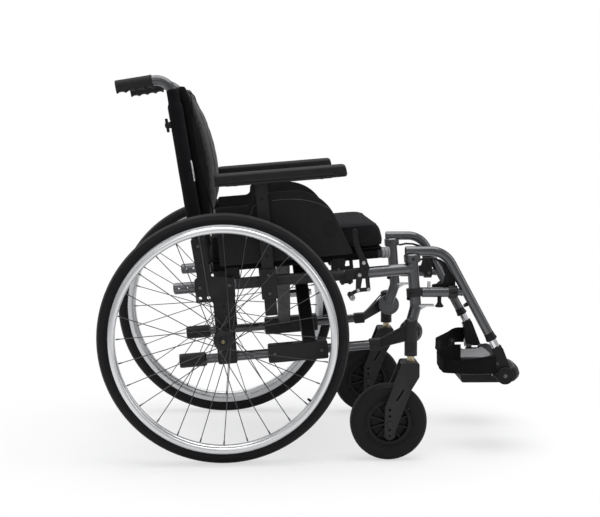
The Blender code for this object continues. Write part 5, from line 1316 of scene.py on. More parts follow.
def dress_push_handle(side):
    y = side * POST_HALF
    tube_end = GRIP_START + GRIP_LENGTH - GRIP_END_WALL - CLEARANCE
    corners = [
        post_point(HANDLE_BOTTOM, 0, y), post_point(HANDLE_CORNER, 0, y),
        post_point(HANDLE_CORNER, -tube_end, y)
    ]
    bar = sweep(rounded_path(corners, HANDLE_BEND, 18), HANDLE_RADIUS, 40, 0.0008)
    side_piece(
        side, "handle_tube", "pusher", [("paint", bar)], "push_handle",
        post_point(HANDLE_CORNER, 0, y)
    )


def grip_reach(along, turn):
    """The grip's radius, with pointed teeth between finger hollows on its underside."""
    wave = 1 - abs(math.sin(math.pi * GRIP_TEETH * along / GRIP_LENGTH)) ** 0.75
    underside = max(0.0, math.cos(turn))
    end = min(along, GRIP_LENGTH - along)
    collar = 0.0006 if along < 0.006 else 0.0
    ridge = 0.00022 * math.cos(math.tau * along / 0.0030) if 0.009 < end and math.cos(turn) < 0.2 else 0.0
    soft = 0.0022 * (1 - min(1.0, end / 0.0022) ** 0.5)
    return GRIP_RADIUS - 0.0006 + collar + ridge - soft + GRIP_TOOTH_DEPTH * wave * underside**1.6


def dress_grip(side):
    y = side * POST_HALF
    sides, steps = 48, 180
    bore = HANDLE_RADIUS + CLEARANCE
    rings = []
    for k in range(steps + 1):
        along = GRIP_LENGTH * (1 - k / steps)
        centre = post_point(HANDLE_CORNER, -GRIP_START - along, y)
        ring = []
        for n in range(sides):
            turn = math.tau * n / sides
            away = -POST_WAY * math.cos(turn) + Y_WAY * math.sin(turn)
            ring.append(centre + away * grip_reach(along, turn))
        rings.append(ring)
    for depth in (0, GRIP_LENGTH - GRIP_END_WALL):
        centre = post_point(HANDLE_CORNER, -GRIP_START - depth, y)
        turns = [math.tau * n / sides for n in range(sides)]
        rings.append(
            [centre + (-POST_WAY * math.cos(a) + Y_WAY * math.sin(a)) * (bore + 0.0001) for a in turns]
        )
    side_piece(
        side, "hand_grip", "pusher", [("grip", skin(rings))], "grip",
        post_point(HANDLE_CORNER, -GRIP_START, y), 50
    )


def dress_clamp_knob(side):
    y = side * POST_HALF
    face = POST_RADIUS + CLEARANCE
    origin = post_point(KNOB_T, -face, y)
    boss = turned(
        [
            (0, 0), (KNOB_BOSS_RADIUS, 0), (KNOB_BOSS_RADIUS, KNOB_BOSS_LENGTH * 0.5),
            (KNOB_BOSS_RADIUS - 0.0015, KNOB_BOSS_LENGTH * 0.6),
            (KNOB_BOSS_RADIUS - 0.0015, KNOB_BOSS_LENGTH + 0.001), (0, KNOB_BOSS_LENGTH + 0.001)
        ],
        origin, -POST_FRONT, 36
    )
    half_wing, half_width = KNOB_WING_LENGTH / 2, KNOB_WING_WIDTH / 2
    outline = []
    for k in range(48):
        a = math.tau * k / 48
        waist = 0.62 + 0.38 * abs(math.sin(a)) ** 1.5
        outline.append((half_width * math.cos(a) * waist, half_wing * math.sin(a)))
    start = post_point(KNOB_T, -face - KNOB_BOSS_LENGTH, y)
    wing = prism(outline, start, Y_WAY, POST_WAY, -POST_FRONT, KNOB_WING_DEPTH * 0.8, 0.0022)
    cap = turned(
        [
            (0, 0), (0.0055, 0), (0.0052, KNOB_WING_DEPTH), (0.0040, KNOB_WING_DEPTH + 0.0002),
            (0, KNOB_WING_DEPTH)
        ],
        start, -POST_FRONT, 28
    )
    parts = [("plastic", boss), ("plastic", wing), ("plastic", cap)]
    side_piece(side, "knob", "clamp", parts, "clamp_knob", origin)


# Armrests


def dress_armrest(side):
    way = Y_WAY * side
    bar_bottom = ARM_PAD_BOTTOM - CLEARANCE - PAD_BAR_THICKNESS
    post = frame_block(
        side, about(ARM_POST_U, ARM_POST_LENGTH_U), about(ARM_POST_HALF, ARM_POST_WIDTH),
        (ARM_POST_BOTTOM, bar_bottom + 0.001), 0.0022, 0.002
    )
    bar = frame_block(
        side, (ARM_PAD_REAR + 0.025, ARM_PAD_FRONT - 0.035), about(ARM_POST_HALF, PAD_BAR_WIDTH),
        (bar_bottom, bar_bottom + PAD_BAR_THICKNESS), 0.0012, 0.002
    )
    parts = [("coat", post), ("coat", bar)]
    weld = [
        frame_point(ARM_POST_U + du, side * (ARM_POST_HALF + dy), bar_bottom + 0.0002) for du,
        dy in soften(box_outline((-0.0152, 0.0152), (-0.0082, 0.0082)), 0.003, 4)
    ]
    parts.append(("coat", bead(weld, 0.0015)))
    for u in (ARM_PAD_REAR + 0.050, ARM_PAD_FRONT - 0.060):
        spot = frame_point(u, side * ARM_POST_HALF, bar_bottom + 0.0014)
        parts.append(("bolt", socket_screw(spot, -H_WAY, 0.0042, 0.0024)))
    face = ARM_POST_HALF + ARM_POST_WIDTH / 2
    for h in (0.245, 0.385):
        spot = frame_point(ARM_POST_U, side * (face - 0.0005), h)
        parts.append(("plastic", turned([(0, 0), (0.0042, 0), (0.0036, 0.0016), (0, 0.0018)], spot, way, 24)))
    side_piece(side, "arm_frame", "armrest", parts, "armrest_frame")


def dress_arm_pad(side):
    """A moulded foam pad: crowned top, rounded sides and a slanted nose."""
    half = ARM_PAD_WIDTH / 2
    thick = ARM_PAD_THICKNESS
    section = []
    for k in range(56):
        a = math.tau * k / 56
        c, s = math.cos(a), math.sin(a)
        out = math.copysign(abs(c) ** 0.42, c)
        lift = math.copysign(abs(s) ** (0.46 if s > 0 else 0.30), s)
        section.append((out, lift))
    rings = []
    steps = 64
    length = ARM_PAD_FRONT - ARM_PAD_REAR
    for k in range(steps + 1):
        share = 0.5 - 0.5 * math.cos(math.pi * k / steps)
        from_end = min(share, 1 - share) * length
        swell = min(1.0, from_end / 0.012)
        swell = (1 - (1 - swell) ** 2.6) ** 0.5 if swell < 1 else 1.0
        scale = 0.60 + 0.40 * swell
        ring = []
        for out, lift in section:
            slant = 0.0030 * (0.5 + 0.5 * lift) * min(1.0, share * 2 - 1) if share > 0.5 else 0.0
            reach = ARM_PAD_REAR + share * length - slant
            y = side * (ARM_PAD_HALF + half * out * (scale * 0.5 + 0.5))
            middle = ARM_PAD_BOTTOM + thick / 2
            rise = thick / 2 * lift * (scale if lift > 0 else 0.80 + 0.20 * scale)
            crown = 0.0016 * out * out if lift > 0 else 0.0
            ring.append(frame_point(reach, y, middle + rise - crown * max(0.0, lift)))
        rings.append(ring)
    pad = skin(rings)
    middle_u = (ARM_PAD_FRONT + ARM_PAD_REAR) / 2
    seam, lip = [], []
    for k in range(120):
        a = math.tau * k / 120
        c, s = math.cos(a), math.sin(a)
        along = math.copysign(abs(c) ** 0.16, c)
        out = math.copysign(abs(s) ** 0.30, s)
        u = middle_u + along * (length / 2 - 0.0014) - (0.0022 if along > 0.9 else 0)
        seam.append(frame_point(u, side * (ARM_PAD_HALF + out * (half - 0.0006)), ARM_PAD_BOTTOM + 0.0058))
        lip.append(frame_point(u, side * (ARM_PAD_HALF + out * (half - 0.0034)), ARM_PAD_BOTTOM - 0.0006))
    parts = [("soft", pad), ("soft", bead(seam, 0.0008, 6)), ("soft", bead(lip, 0.0028, 8))]
    made = side_piece(side, "arm_cushion", "armrest", parts, "arm_pad", None, 60)


def bowed(first, bend, last, steps):
    """Points from first to last on a curve that is drawn towards bend."""
    points = []
    for k in range(steps + 1):
        t = k / steps
        weights = ((1 - t) ** 2, 2 * t * (1 - t), t**2)
        points.append(tuple(sum(w * p[i] for w, p in zip(weights, (first, bend, last))) for i in (0, 1)))
    return points


def guard_outline():
    """The guard from the side: a low rear wing, an S-shaped step up to the post, a round front."""
    step_u = ARM_POST_U - 0.024
    front_centre = (GUARD_ARCH_U, GUARD_TOP - GUARD_CORNER)
    wing = GUARD_REAR_TOP + 0.005
    outline = [(GUARD_REAR - 0.003, GUARD_BOTTOM - 0.004), (GUARD_REAR - 0.003, wing)]
    outline += arc((step_u - 0.016, wing + 0.016), 0.016, 270, 330, 8)
    outline += [(step_u, GUARD_TOP - 0.003), (step_u + 0.006, GUARD_TOP)]
    outline += arc(front_centre, GUARD_CORNER, 90, GUARD_FRONT_SLOPE, 28)
    slope_top_u, slope_top_h = outline[-1]
    drop = slope_top_h - GUARD_BOTTOM
    outline += [(slope_top_u + drop * math.tan(math.radians(GUARD_FRONT_SLOPE)), GUARD_BOTTOM)]
    return outline


def dress_side_guard(side):
    """A thin moulded panel with a rolled rim, a sunk field and a plain round boss."""
    way = Y_WAY * side
    inner = ARM_POST_HALF - ARM_POST_WIDTH / 2 - CLEARANCE - GUARD_THICKNESS
    outline = soften(guard_outline(), 0.006, 6)
    rim = frame_plate(outline, side, inner, inner + GUARD_THICKNESS, 0.0011)
    shift = frame_point(0, side * (inner + GUARD_THICKNESS - 0.0004), 0)
    edge = [shift + U_WAY * u + H_WAY * h for u, h in drawn_in(outline, 0.0032)]
    post_rear = ARM_POST_U - ARM_POST_LENGTH_U / 2
    rear_line = [(GUARD_REAR + 0.004, 0.343)] + bowed((0.081, 0.343), (0.097, 0.343), (0.099, 0.356), 6)
    rear_line += bowed((0.099, 0.356), (0.101, 0.3695), (post_rear, 0.3700), 6)
    front_line = bowed(
        (GUARD_ARCH_U - 0.048, 0.3780), (GUARD_ARCH_U + 0.045, 0.3835), (GUARD_ARCH_U + 0.0925, 0.3430), 24
    )
    swerve = bowed((0.1965, 0.352), (0.1960, 0.314), (0.2210, 0.2945), 14) + [(0.235, 0.280)]
    parts = [("guard", rim), ("guard", bead(edge, 0.0009, 6))]
    # The two lighter lines along the guard's moulded edges are painted highlights, where those edges catch
    # the light.
    for finish, line in (("lit_edge_line", rear_line), ("lit_edge_line", front_line), ("soft", swerve)):
        run = [shift + U_WAY * u + H_WAY * h for u, h in line]
        parts.append((finish, sweep(run, GUARD_LINE, 10, 0.0)))
    middle = frame_point(0.288, side * (inner + GUARD_THICKNESS - 0.0006), 0.296)
    boss = [(0, 0), (0.0192, 0), (0.0192, 0.0010), (0.0180, 0.0016), (0, 0.0016)]
    parts.append(("guard", turned(boss, middle, way, 64)))
    for u, h in ((ARM_POST_U, 0.262), (ARM_POST_U, 0.370)):
        spot = frame_point(u, side * inner, h)
        parts.append(("bolt", socket_screw(spot, -way, 0.0040, 0.0020)))
    side_piece(side, "guard_panel", "armrest", parts, "side_guard")


# Wheel brakes


def dress_brake_mount(side):
    way = Y_WAY * side
    outline = [
        (SHOE_PIVOT[0] - 0.036, SHOE_PIVOT[1] - 0.0106), (BRAKE_LEVER_U + 0.0098, SHOE_PIVOT[1] - 0.0106),
        (BRAKE_LEVER_U + 0.0098, BRAKE_LEVER_H + 0.008), (BRAKE_LEVER_U - 0.0102, BRAKE_LEVER_H + 0.008),
        (BRAKE_LEVER_U - 0.0102, SHOE_PIVOT[1] + 0.0134), (SHOE_PIVOT[0] - 0.036, SHOE_PIVOT[1] + 0.0134)
    ]
    plate = frame_plate(outline, side, PLATE_INNER, PLATE_OUTER, 0.0010, 0.004)
    clamp = frame_block(
        side, (SHOE_PIVOT[0] - 0.048, SHOE_PIVOT[0] - 0.016),
        (FRAME_HALF - TUBE_RADIUS - 0.004, PLATE_INNER + 0.002),
        (UPPER_TUBE_H - 0.021, UPPER_TUBE_H + 0.0030), 0.0014, 0.003
    )
    hole_radius = TUBE_RADIUS + CLEARANCE
    hole_rear, hole_front = SHOE_PIVOT[0] - 0.06, BRAKE_LEVER_U + 0.02
    tube_hole = frame_bar(hole_rear, hole_front, side * FRAME_HALF, UPPER_TUBE_H, hole_radius, 40)
    parts = [("coat", cut(plate, [tube_hole.copy()])), ("coat", cut(clamp, [tube_hole]))]
    for (u, h), thickness in (
        ((BRAKE_LEVER_U, BRAKE_LEVER_H), BRAKE_LEVER_THICKNESS), (SHOE_PIVOT, SHOE_ARM_THICKNESS)
    ):
        place = frame_point(u, 0, h)
        face = PLATE_OUTER + 2 * CLEARANCE + thickness
        parts.append(("steel", cross_pin(place, side, PLATE_OUTER - 0.002, face + 0.0008, BRAKE_BOLT_RADIUS)))
        parts.append(("steel", hex_bolt(frame_point(u, side * face, h), way, 0.0035, 0.0030)))
    for u in (SHOE_PIVOT[0] - 0.041, SHOE_PIVOT[0] - 0.023):
        spot = frame_point(u, side * FRAME_HALF, UPPER_TUBE_H - 0.021)
        parts.append(("coat", hex_bolt(spot, -H_WAY, 0.0042, 0.0042)))
    side_piece(side, "brake_plate", "frame", parts, "brake_mount")


def brake_lever_outline():
    """The lever from the side: a short tail below the pivot and a grip that curves back and up."""
    front = [(0.0132, -0.0178), (0.0136, -0.0120), (0.0114, -0.0046), (0.0070, 0.0079), (0.0020, 0.0200)]
    front += [(-0.0022, 0.0303), (-0.0059, 0.0411), (-0.0082, 0.0520), (-0.0094, 0.0635), (-0.0092, 0.0760)]
    tip = [(-0.0096, 0.0810), (-0.0126, 0.0843), (-0.0164, 0.0846), (-0.0204, 0.0822)]
    rear = [(-0.0229, 0.0772), (-0.0228, 0.0620), (-0.0213, 0.0456), (-0.0180, 0.0324), (-0.0137, 0.0197)]
    rear += [(-0.0100, 0.0079), (-0.0062, -0.0040), (-0.0010, -0.0130), (0.0060, -0.0190), (0.0100, -0.0198)]
    return [(BRAKE_LEVER_U + u, BRAKE_LEVER_H + h) for u, h in front + tip + rear]


def dress_brake_lever(side):
    """A curved flat grip with rounded rims on its pivot."""
    outline = soften(brake_lever_outline(), 0.004, 4)
    start = PLATE_OUTER + CLEARANCE
    lever = frame_plate(outline, side, start, start + BRAKE_LEVER_THICKNESS, 0.0018)
    hole = cross_pin(
        frame_point(BRAKE_LEVER_U, 0, BRAKE_LEVER_H), side, start - 0.002,
        start + BRAKE_LEVER_THICKNESS + 0.002, BRAKE_BOLT_RADIUS + CLEARANCE
    )
    parts = [("plastic", cut(lever, [hole]))]
    side_piece(
        side, "brake_grip", "brake_handle", parts, "brake_lever",
        frame_point(BRAKE_LEVER_U, side * start, BRAKE_LEVER_H), 50
    )


def dress_brake_shoe(side):
    """The bell crank with its link bars and bolts, and the ringed roller that meets the tyre."""
    way = Y_WAY * side
    start = PLATE_OUTER + CLEARANCE
    end = start + SHOE_ARM_THICKNESS
    knee = (SHOE_PIVOT[0] - 0.0062, SHOE_PIVOT[1] - 0.0372)
    toe = (SHOE_PIVOT[0] + 0.0193, SHOE_PIVOT[1] - 0.0370)
    lift = (SHOE_PIVOT[0] + 0.0187, SHOE_PIVOT[1] - 0.0080)
    crank = frame_plate(link(SHOE_PIVOT, 0.0085, knee, 0.0058), side, start, end, 0.0008)
    hole = cross_pin(
        frame_point(SHOE_PIVOT[0], 0, SHOE_PIVOT[1]), side, start - 0.002, end + 0.002,
        BRAKE_BOLT_RADIUS + CLEARANCE
    )
    parts = [
        ("coat", cut(crank, [hole])),
        ("coat", frame_plate(link(knee, 0.0050, toe, 0.0050), side, start + 0.0005, end - 0.0005, 0.0007)),
        ("coat", frame_plate(link(toe, 0.0052, lift, 0.0052), side, start + 0.0002, end - 0.0002, 0.0007)),
        (
            "coat",
            frame_plate(link(knee, 0.0045, SHOE_PLACE, 0.0045), side, start + 0.0007, end - 0.0007, 0.0007)
        )
    ]
    for u, h in (knee, toe):
        parts.append(("steel", hex_bolt(frame_point(u, side * (end - 0.0005), h), way, 0.0032, 0.0026)))
    roller = [
        (0, 0), (SHOE_RADIUS, 0), (SHOE_RADIUS, REAR_TRACK_HALF + TYRE_SECTION - start),
        (0, REAR_TRACK_HALF + TYRE_SECTION - start)
    ]
    middle = frame_point(SHOE_PLACE[0], side * start, SHOE_PLACE[1])
    parts.append(("coat", turned(roller, middle, way, 36, Z_WAY, 0.0010)))
    tip = middle + way * (REAR_TRACK_HALF + TYRE_SECTION - start)
    parts.append(("steel", hoop(tip, way, 0.0048, 0.0008, 32, 8)))
    parts.append(("steel", socket_screw(tip - way * 0.0006, way, 0.0030, 0.0012)))
    side_piece(
        side, "brake_linkage", "brake_arm", parts, "brake_shoe",
        frame_point(SHOE_PIVOT[0], side * start, SHOE_PIVOT[1])
    )


# Castors


def dress_castor_bracket(side):
    """The stem housing with its cap and collar, the serrated hub, and the ribbed arm to the tube."""
    way = Y_WAY * side
    boss_middle = chair_point(STEM_X, side * CASTOR_HALF, 0)
    bore = STEM_RADIUS + CLEARANCE
    housing = [
        (bore, HOUSING_BOTTOM), (COLLAR_RADIUS, HOUSING_BOTTOM), (COLLAR_RADIUS, HOUSING_BOTTOM + 0.0120),
        (COLLAR_RADIUS - 0.0008, HOUSING_BOTTOM + 0.0126),
        (COLLAR_RADIUS - 0.0008, HOUSING_BOTTOM + 0.0136), (COLLAR_RADIUS, HOUSING_BOTTOM + 0.0142),
        (COLLAR_RADIUS, COLLAR_TOP), (HOUSING_RADIUS, COLLAR_TOP), (HOUSING_RADIUS, HOUSING_TOP - 0.003),
        (HOUSING_RADIUS - 0.003, HOUSING_TOP), (bore, HOUSING_TOP)
    ]
    parts = [("coat", turned(housing, boss_middle, Z_WAY, 56, X_WAY, 0.0008))]
    cap = [
        (0, -0.006), (0.0085, -0.006), (0.0085, 0.0), (0.0125, 0.0), (0.0118, 0.0016), (0.0060, 0.0036),
        (0, 0.0040)
    ]
    parts.append(
        ("bolt", turned(cap, boss_middle + Z_WAY * (HOUSING_TOP - 0.0004), Z_WAY, 40, X_WAY, 0.0004))
    )
    hub_start = FLANGE_DISC_OUTER + CLEARANCE
    hub_end = CASTOR_HALF - HOUSING_RADIUS + 0.004
    reach = FLANGE_DISC_RADIUS - 0.008
    teeth = 36

    def serration(radius, along, turn):
        return 1 - 0.035 * (0.5 + 0.5 * math.cos(teeth * turn)) if radius > reach - 0.002 else 1.0

    hub = turned(
        [(0, hub_start), (reach, hub_start), (reach, hub_end), (0, hub_end)],
        frame_point(FLANGE_DISC_U, 0, FLANGE_DISC_H), way, teeth * 6, Z_WAY, 0.0006, serration
    )
    parts.append(("coat", hub))
    block = frame_block(
        side, (LOWER_TUBE_FRONT - 0.024, LOWER_TUBE_FRONT + 0.0055),
        (FRAME_HALF - 0.014, FRAME_HALF + 0.014), (-0.0135, 0.0135), 0.0022, 0.004
    )
    bore_rear, bore_front = LOWER_TUBE_FRONT - 0.030, LOWER_TUBE_FRONT + CLEARANCE
    tube_bore = frame_bar(bore_rear, bore_front, side * FRAME_HALF, 0, LOWER_TUBE_RADIUS + CLEARANCE, 36)
    parts.append(("coat", cut(block, [tube_bore])))
    arm_rear, arm_front = LOWER_TUBE_FRONT + 0.002, STEM_X - 0.005
    arm = hull(
        [
            frame_point(arm_rear, side * (FRAME_HALF + out), h) for out in (-0.010, 0.010)
            for h in (-0.009, 0.012)
        ]
        + [
            chair_point(arm_front, side * (CASTOR_HALF + out), z) for out in (-0.008, 0.011)
            for z in (COLLAR_TOP + 0.0015, HOUSING_TOP - 0.0085)
        ]
    )
    parts.append(("coat", eased(arm, 0.0024)))
    for low, high in ((-0.0075, COLLAR_TOP + 0.0045), (0.0100, HOUSING_TOP - 0.0115)):
        run = [
            frame_point(arm_rear + 0.004, side * (FRAME_HALF + 0.0098), low),
            chair_point(STEM_X - 0.0150, side * (CASTOR_HALF + 0.0100), high)
        ]
        parts.append(("coat", sweep(run, 0.0019, 16)))
    for u in (LOWER_TUBE_FRONT - 0.017, LOWER_TUBE_FRONT - 0.003):
        spot = frame_point(u, side * (FRAME_HALF + 0.014), 0.002)
        parts.append(("coat", socket_screw(spot, way, 0.0040, 0.0020)))
    front = chair_point(STEM_X + 0.0150, side * (CASTOR_HALF - 0.002), 0.323)
    lug = turned([(0, -0.004), (0.0075, -0.004), (0.0075, 0.004), (0, 0.004)], front, X_WAY, 32)
    parts.append(("coat", lug))
    parts.append(("coat", hex_bolt(front + X_WAY * 0.004, X_WAY, 0.0056, 0.0062)))
    side_piece(side, "castor_housing", "frame", parts, "castor_bracket")


def fork_side_outline():
    """One leg from the side: square at the crown, leaning back to a rounded foot."""
    foot = (CASTOR_X, CASTOR_RADIUS - 0.027)
    return [
        (STEM_X - 0.024, FORK_TOP), (STEM_X + 0.018, FORK_TOP), (STEM_X + 0.018, FORK_TOP - 0.035),
        (STEM_X - 0.0013, FORK_TOP - 0.067), *arc(foot, 0.0135, 15, -195, 16),
        (CASTOR_X - 0.0125, CASTOR_RADIUS + 0.040)
    ]


def dress_castor_fork(side):
    """Two legs with their row of axle holes and a slot, the crown, the brass spacer and the bolt."""
    way = Y_WAY * side
    stem_foot = chair_point(STEM_X, side * CASTOR_HALF, 0)
    outline = soften(fork_side_outline(), 0.007, 5)
    parts = []
    hole_heights = [CASTOR_RADIUS + step for step in (0.0343, 0.0188, 0.0018, -0.0153, -0.0297)]
    for out in (-FORK_HALF_WIDTH, FORK_HALF_WIDTH - FORK_LEG):
        start, end = CASTOR_HALF + out, CASTOR_HALF + out + FORK_LEG
        leg = chair_plate(outline, side, start, end, 0.0012)
        cutters = [
            pin(chair_point(CASTOR_X, side * (CASTOR_HALF + out), z), way, -0.002, FORK_LEG + 0.002, 0.0032)
            for z in hole_heights if abs(z - CASTOR_RADIUS) > 0.006
        ]
        slot = link((0.4365, 0.1775), 0.0021, (0.4210, 0.1530), 0.0021)
        cutters.append(chair_plate(slot, side, start - 0.002, end + 0.002, 0.0))
        parts.append(("coat", cut(leg, cutters)))
    crown = chair_block(
        side, (STEM_X - 0.0235, STEM_X + 0.0175),
        (CASTOR_HALF - FORK_HALF_WIDTH + 0.001, CASTOR_HALF + FORK_HALF_WIDTH - 0.001),
        (FORK_TOP - FORK_CROWN, FORK_TOP - 0.0005), 0.002, 0.005
    )
    parts.append(("coat", crown))
    spacer = [
        (0, FORK_TOP - 0.004), (SPACER_RADIUS + 0.0022, FORK_TOP - 0.004),
        (SPACER_RADIUS + 0.0022, FORK_TOP + 0.0014), (SPACER_RADIUS, FORK_TOP + 0.0022),
        (SPACER_RADIUS, HOUSING_BOTTOM - CLEARANCE), (0, HOUSING_BOTTOM - CLEARANCE)
    ]
    parts.append(("brass", turned(spacer, stem_foot, Z_WAY, 40, X_WAY, 0.0004)))
    parts.append(("steel", pin(stem_foot, Z_WAY, FORK_TOP, STEM_TOP, STEM_RADIUS, 32)))
    bolt = chair_point(CASTOR_X, 0, CASTOR_RADIUS)
    reach = FORK_HALF_WIDTH + 0.0005
    parts.append(
        ("steel", cross_pin(bolt, side, CASTOR_HALF - reach, CASTOR_HALF + reach, CASTOR_AXLE_RADIUS))
    )
    for end in (-1, 1):
        spot = chair_point(CASTOR_X, side * (CASTOR_HALF + end * FORK_HALF_WIDTH), CASTOR_RADIUS)
        parts.append(("coat", hex_bolt(spot, way * end, 0.0062, 0.0040)))
    side_piece(side, "fork", "castor_swivel", parts, "castor_fork", stem_foot)


def dress_castor_wheel(side):
    """The castor's ribbed hub and web, and its solid tyre with a shoulder line."""
    centre = chair_point(CASTOR_X, side * CASTOR_HALF, CASTOR_RADIUS)
    bore = CASTOR_AXLE_RADIUS + CLEARANCE
    hub_half, web_half, rim_half = 0.0255, 0.006, CASTOR_HALF_WIDTH - 0.0045
    rim_inner = CASTOR_RIM_RADIUS - 0.0115
    half_profile = [
        (bore, hub_half), (0.0110, hub_half), (0.0130, hub_half - 0.0016), (0.0130, web_half + 0.002),
        (0.0150, web_half), (rim_inner - 0.003, web_half), (rim_inner - 0.0005, web_half + 0.002),
        (rim_inner, rim_half - 0.001), (rim_inner + 0.001, rim_half), (CASTOR_RIM_RADIUS - 0.004, rim_half),
        (CASTOR_RIM_RADIUS - 0.0032, rim_half - 0.0008), (CASTOR_RIM_RADIUS - 0.0022, rim_half - 0.0008),
        (CASTOR_RIM_RADIUS - 0.0014, rim_half), (CASTOR_RIM_RADIUS, rim_half)
    ]
    profile = [(r, -along) for r, along in half_profile] + half_profile[::-1]
    parts = [("plastic", turned(profile, centre, Y_WAY, 96, Z_WAY, 0.0004))]
    for n in range(10):
        a = math.tau * n / 10
        away, along = around(a), onward(a)
        rib = [
            (0.0125, -hub_half + 0.005), (0.0300, -rim_half + 0.007),
            (rim_inner + 0.001, -rim_half + 0.0035), (rim_inner + 0.001, rim_half - 0.0035),
            (0.0300, rim_half - 0.007), (0.0125, hub_half - 0.005)
        ]
        parts.append(("plastic", prism(rib, centre - along * 0.0016, away, Y_WAY, along, 0.0032, 0.0006)))
    side_piece(side, "castor_centre", "castor_wheel", parts, "castor_hub", centre)
    seat = CASTOR_RIM_RADIUS + CLEARANCE
    depth = CASTOR_RADIUS - seat
    half_tyre = [
        (seat, rim_half - 0.001), (seat + 0.0006, rim_half + 0.0010), (seat + 0.0025, rim_half + 0.0014),
        (seat + 0.0040, rim_half + 0.0004), (seat + 0.0060, rim_half + 0.0008),
        (seat + 0.30 * depth, CASTOR_HALF_WIDTH - 0.0012),
        (seat + 0.45 * depth, CASTOR_HALF_WIDTH - 0.0004),
        (seat + 0.62 * depth, CASTOR_HALF_WIDTH - 0.0006),
        (CASTOR_RADIUS - 0.0085, CASTOR_HALF_WIDTH * 0.92),
        (CASTOR_RADIUS - 0.0072, CASTOR_HALF_WIDTH * 0.93),
        (CASTOR_RADIUS - 0.0062, CASTOR_HALF_WIDTH * 0.86),
        (CASTOR_RADIUS - 0.0030, CASTOR_HALF_WIDTH * 0.70),
        (CASTOR_RADIUS - 0.0008, CASTOR_HALF_WIDTH * 0.46), (CASTOR_RADIUS, CASTOR_HALF_WIDTH * 0.20)
    ]
    profile = [(r, -along) for r, along in half_tyre] + half_tyre[::-1]
    tyre = turned(profile, centre, Y_WAY, 128, Z_WAY, 0.0006)
    side_piece(
        side, "castor_rubber", "castor_wheel", [("castor_tyre", tyre)], "castor_tyre", centre, 60
    )


# Leg supports


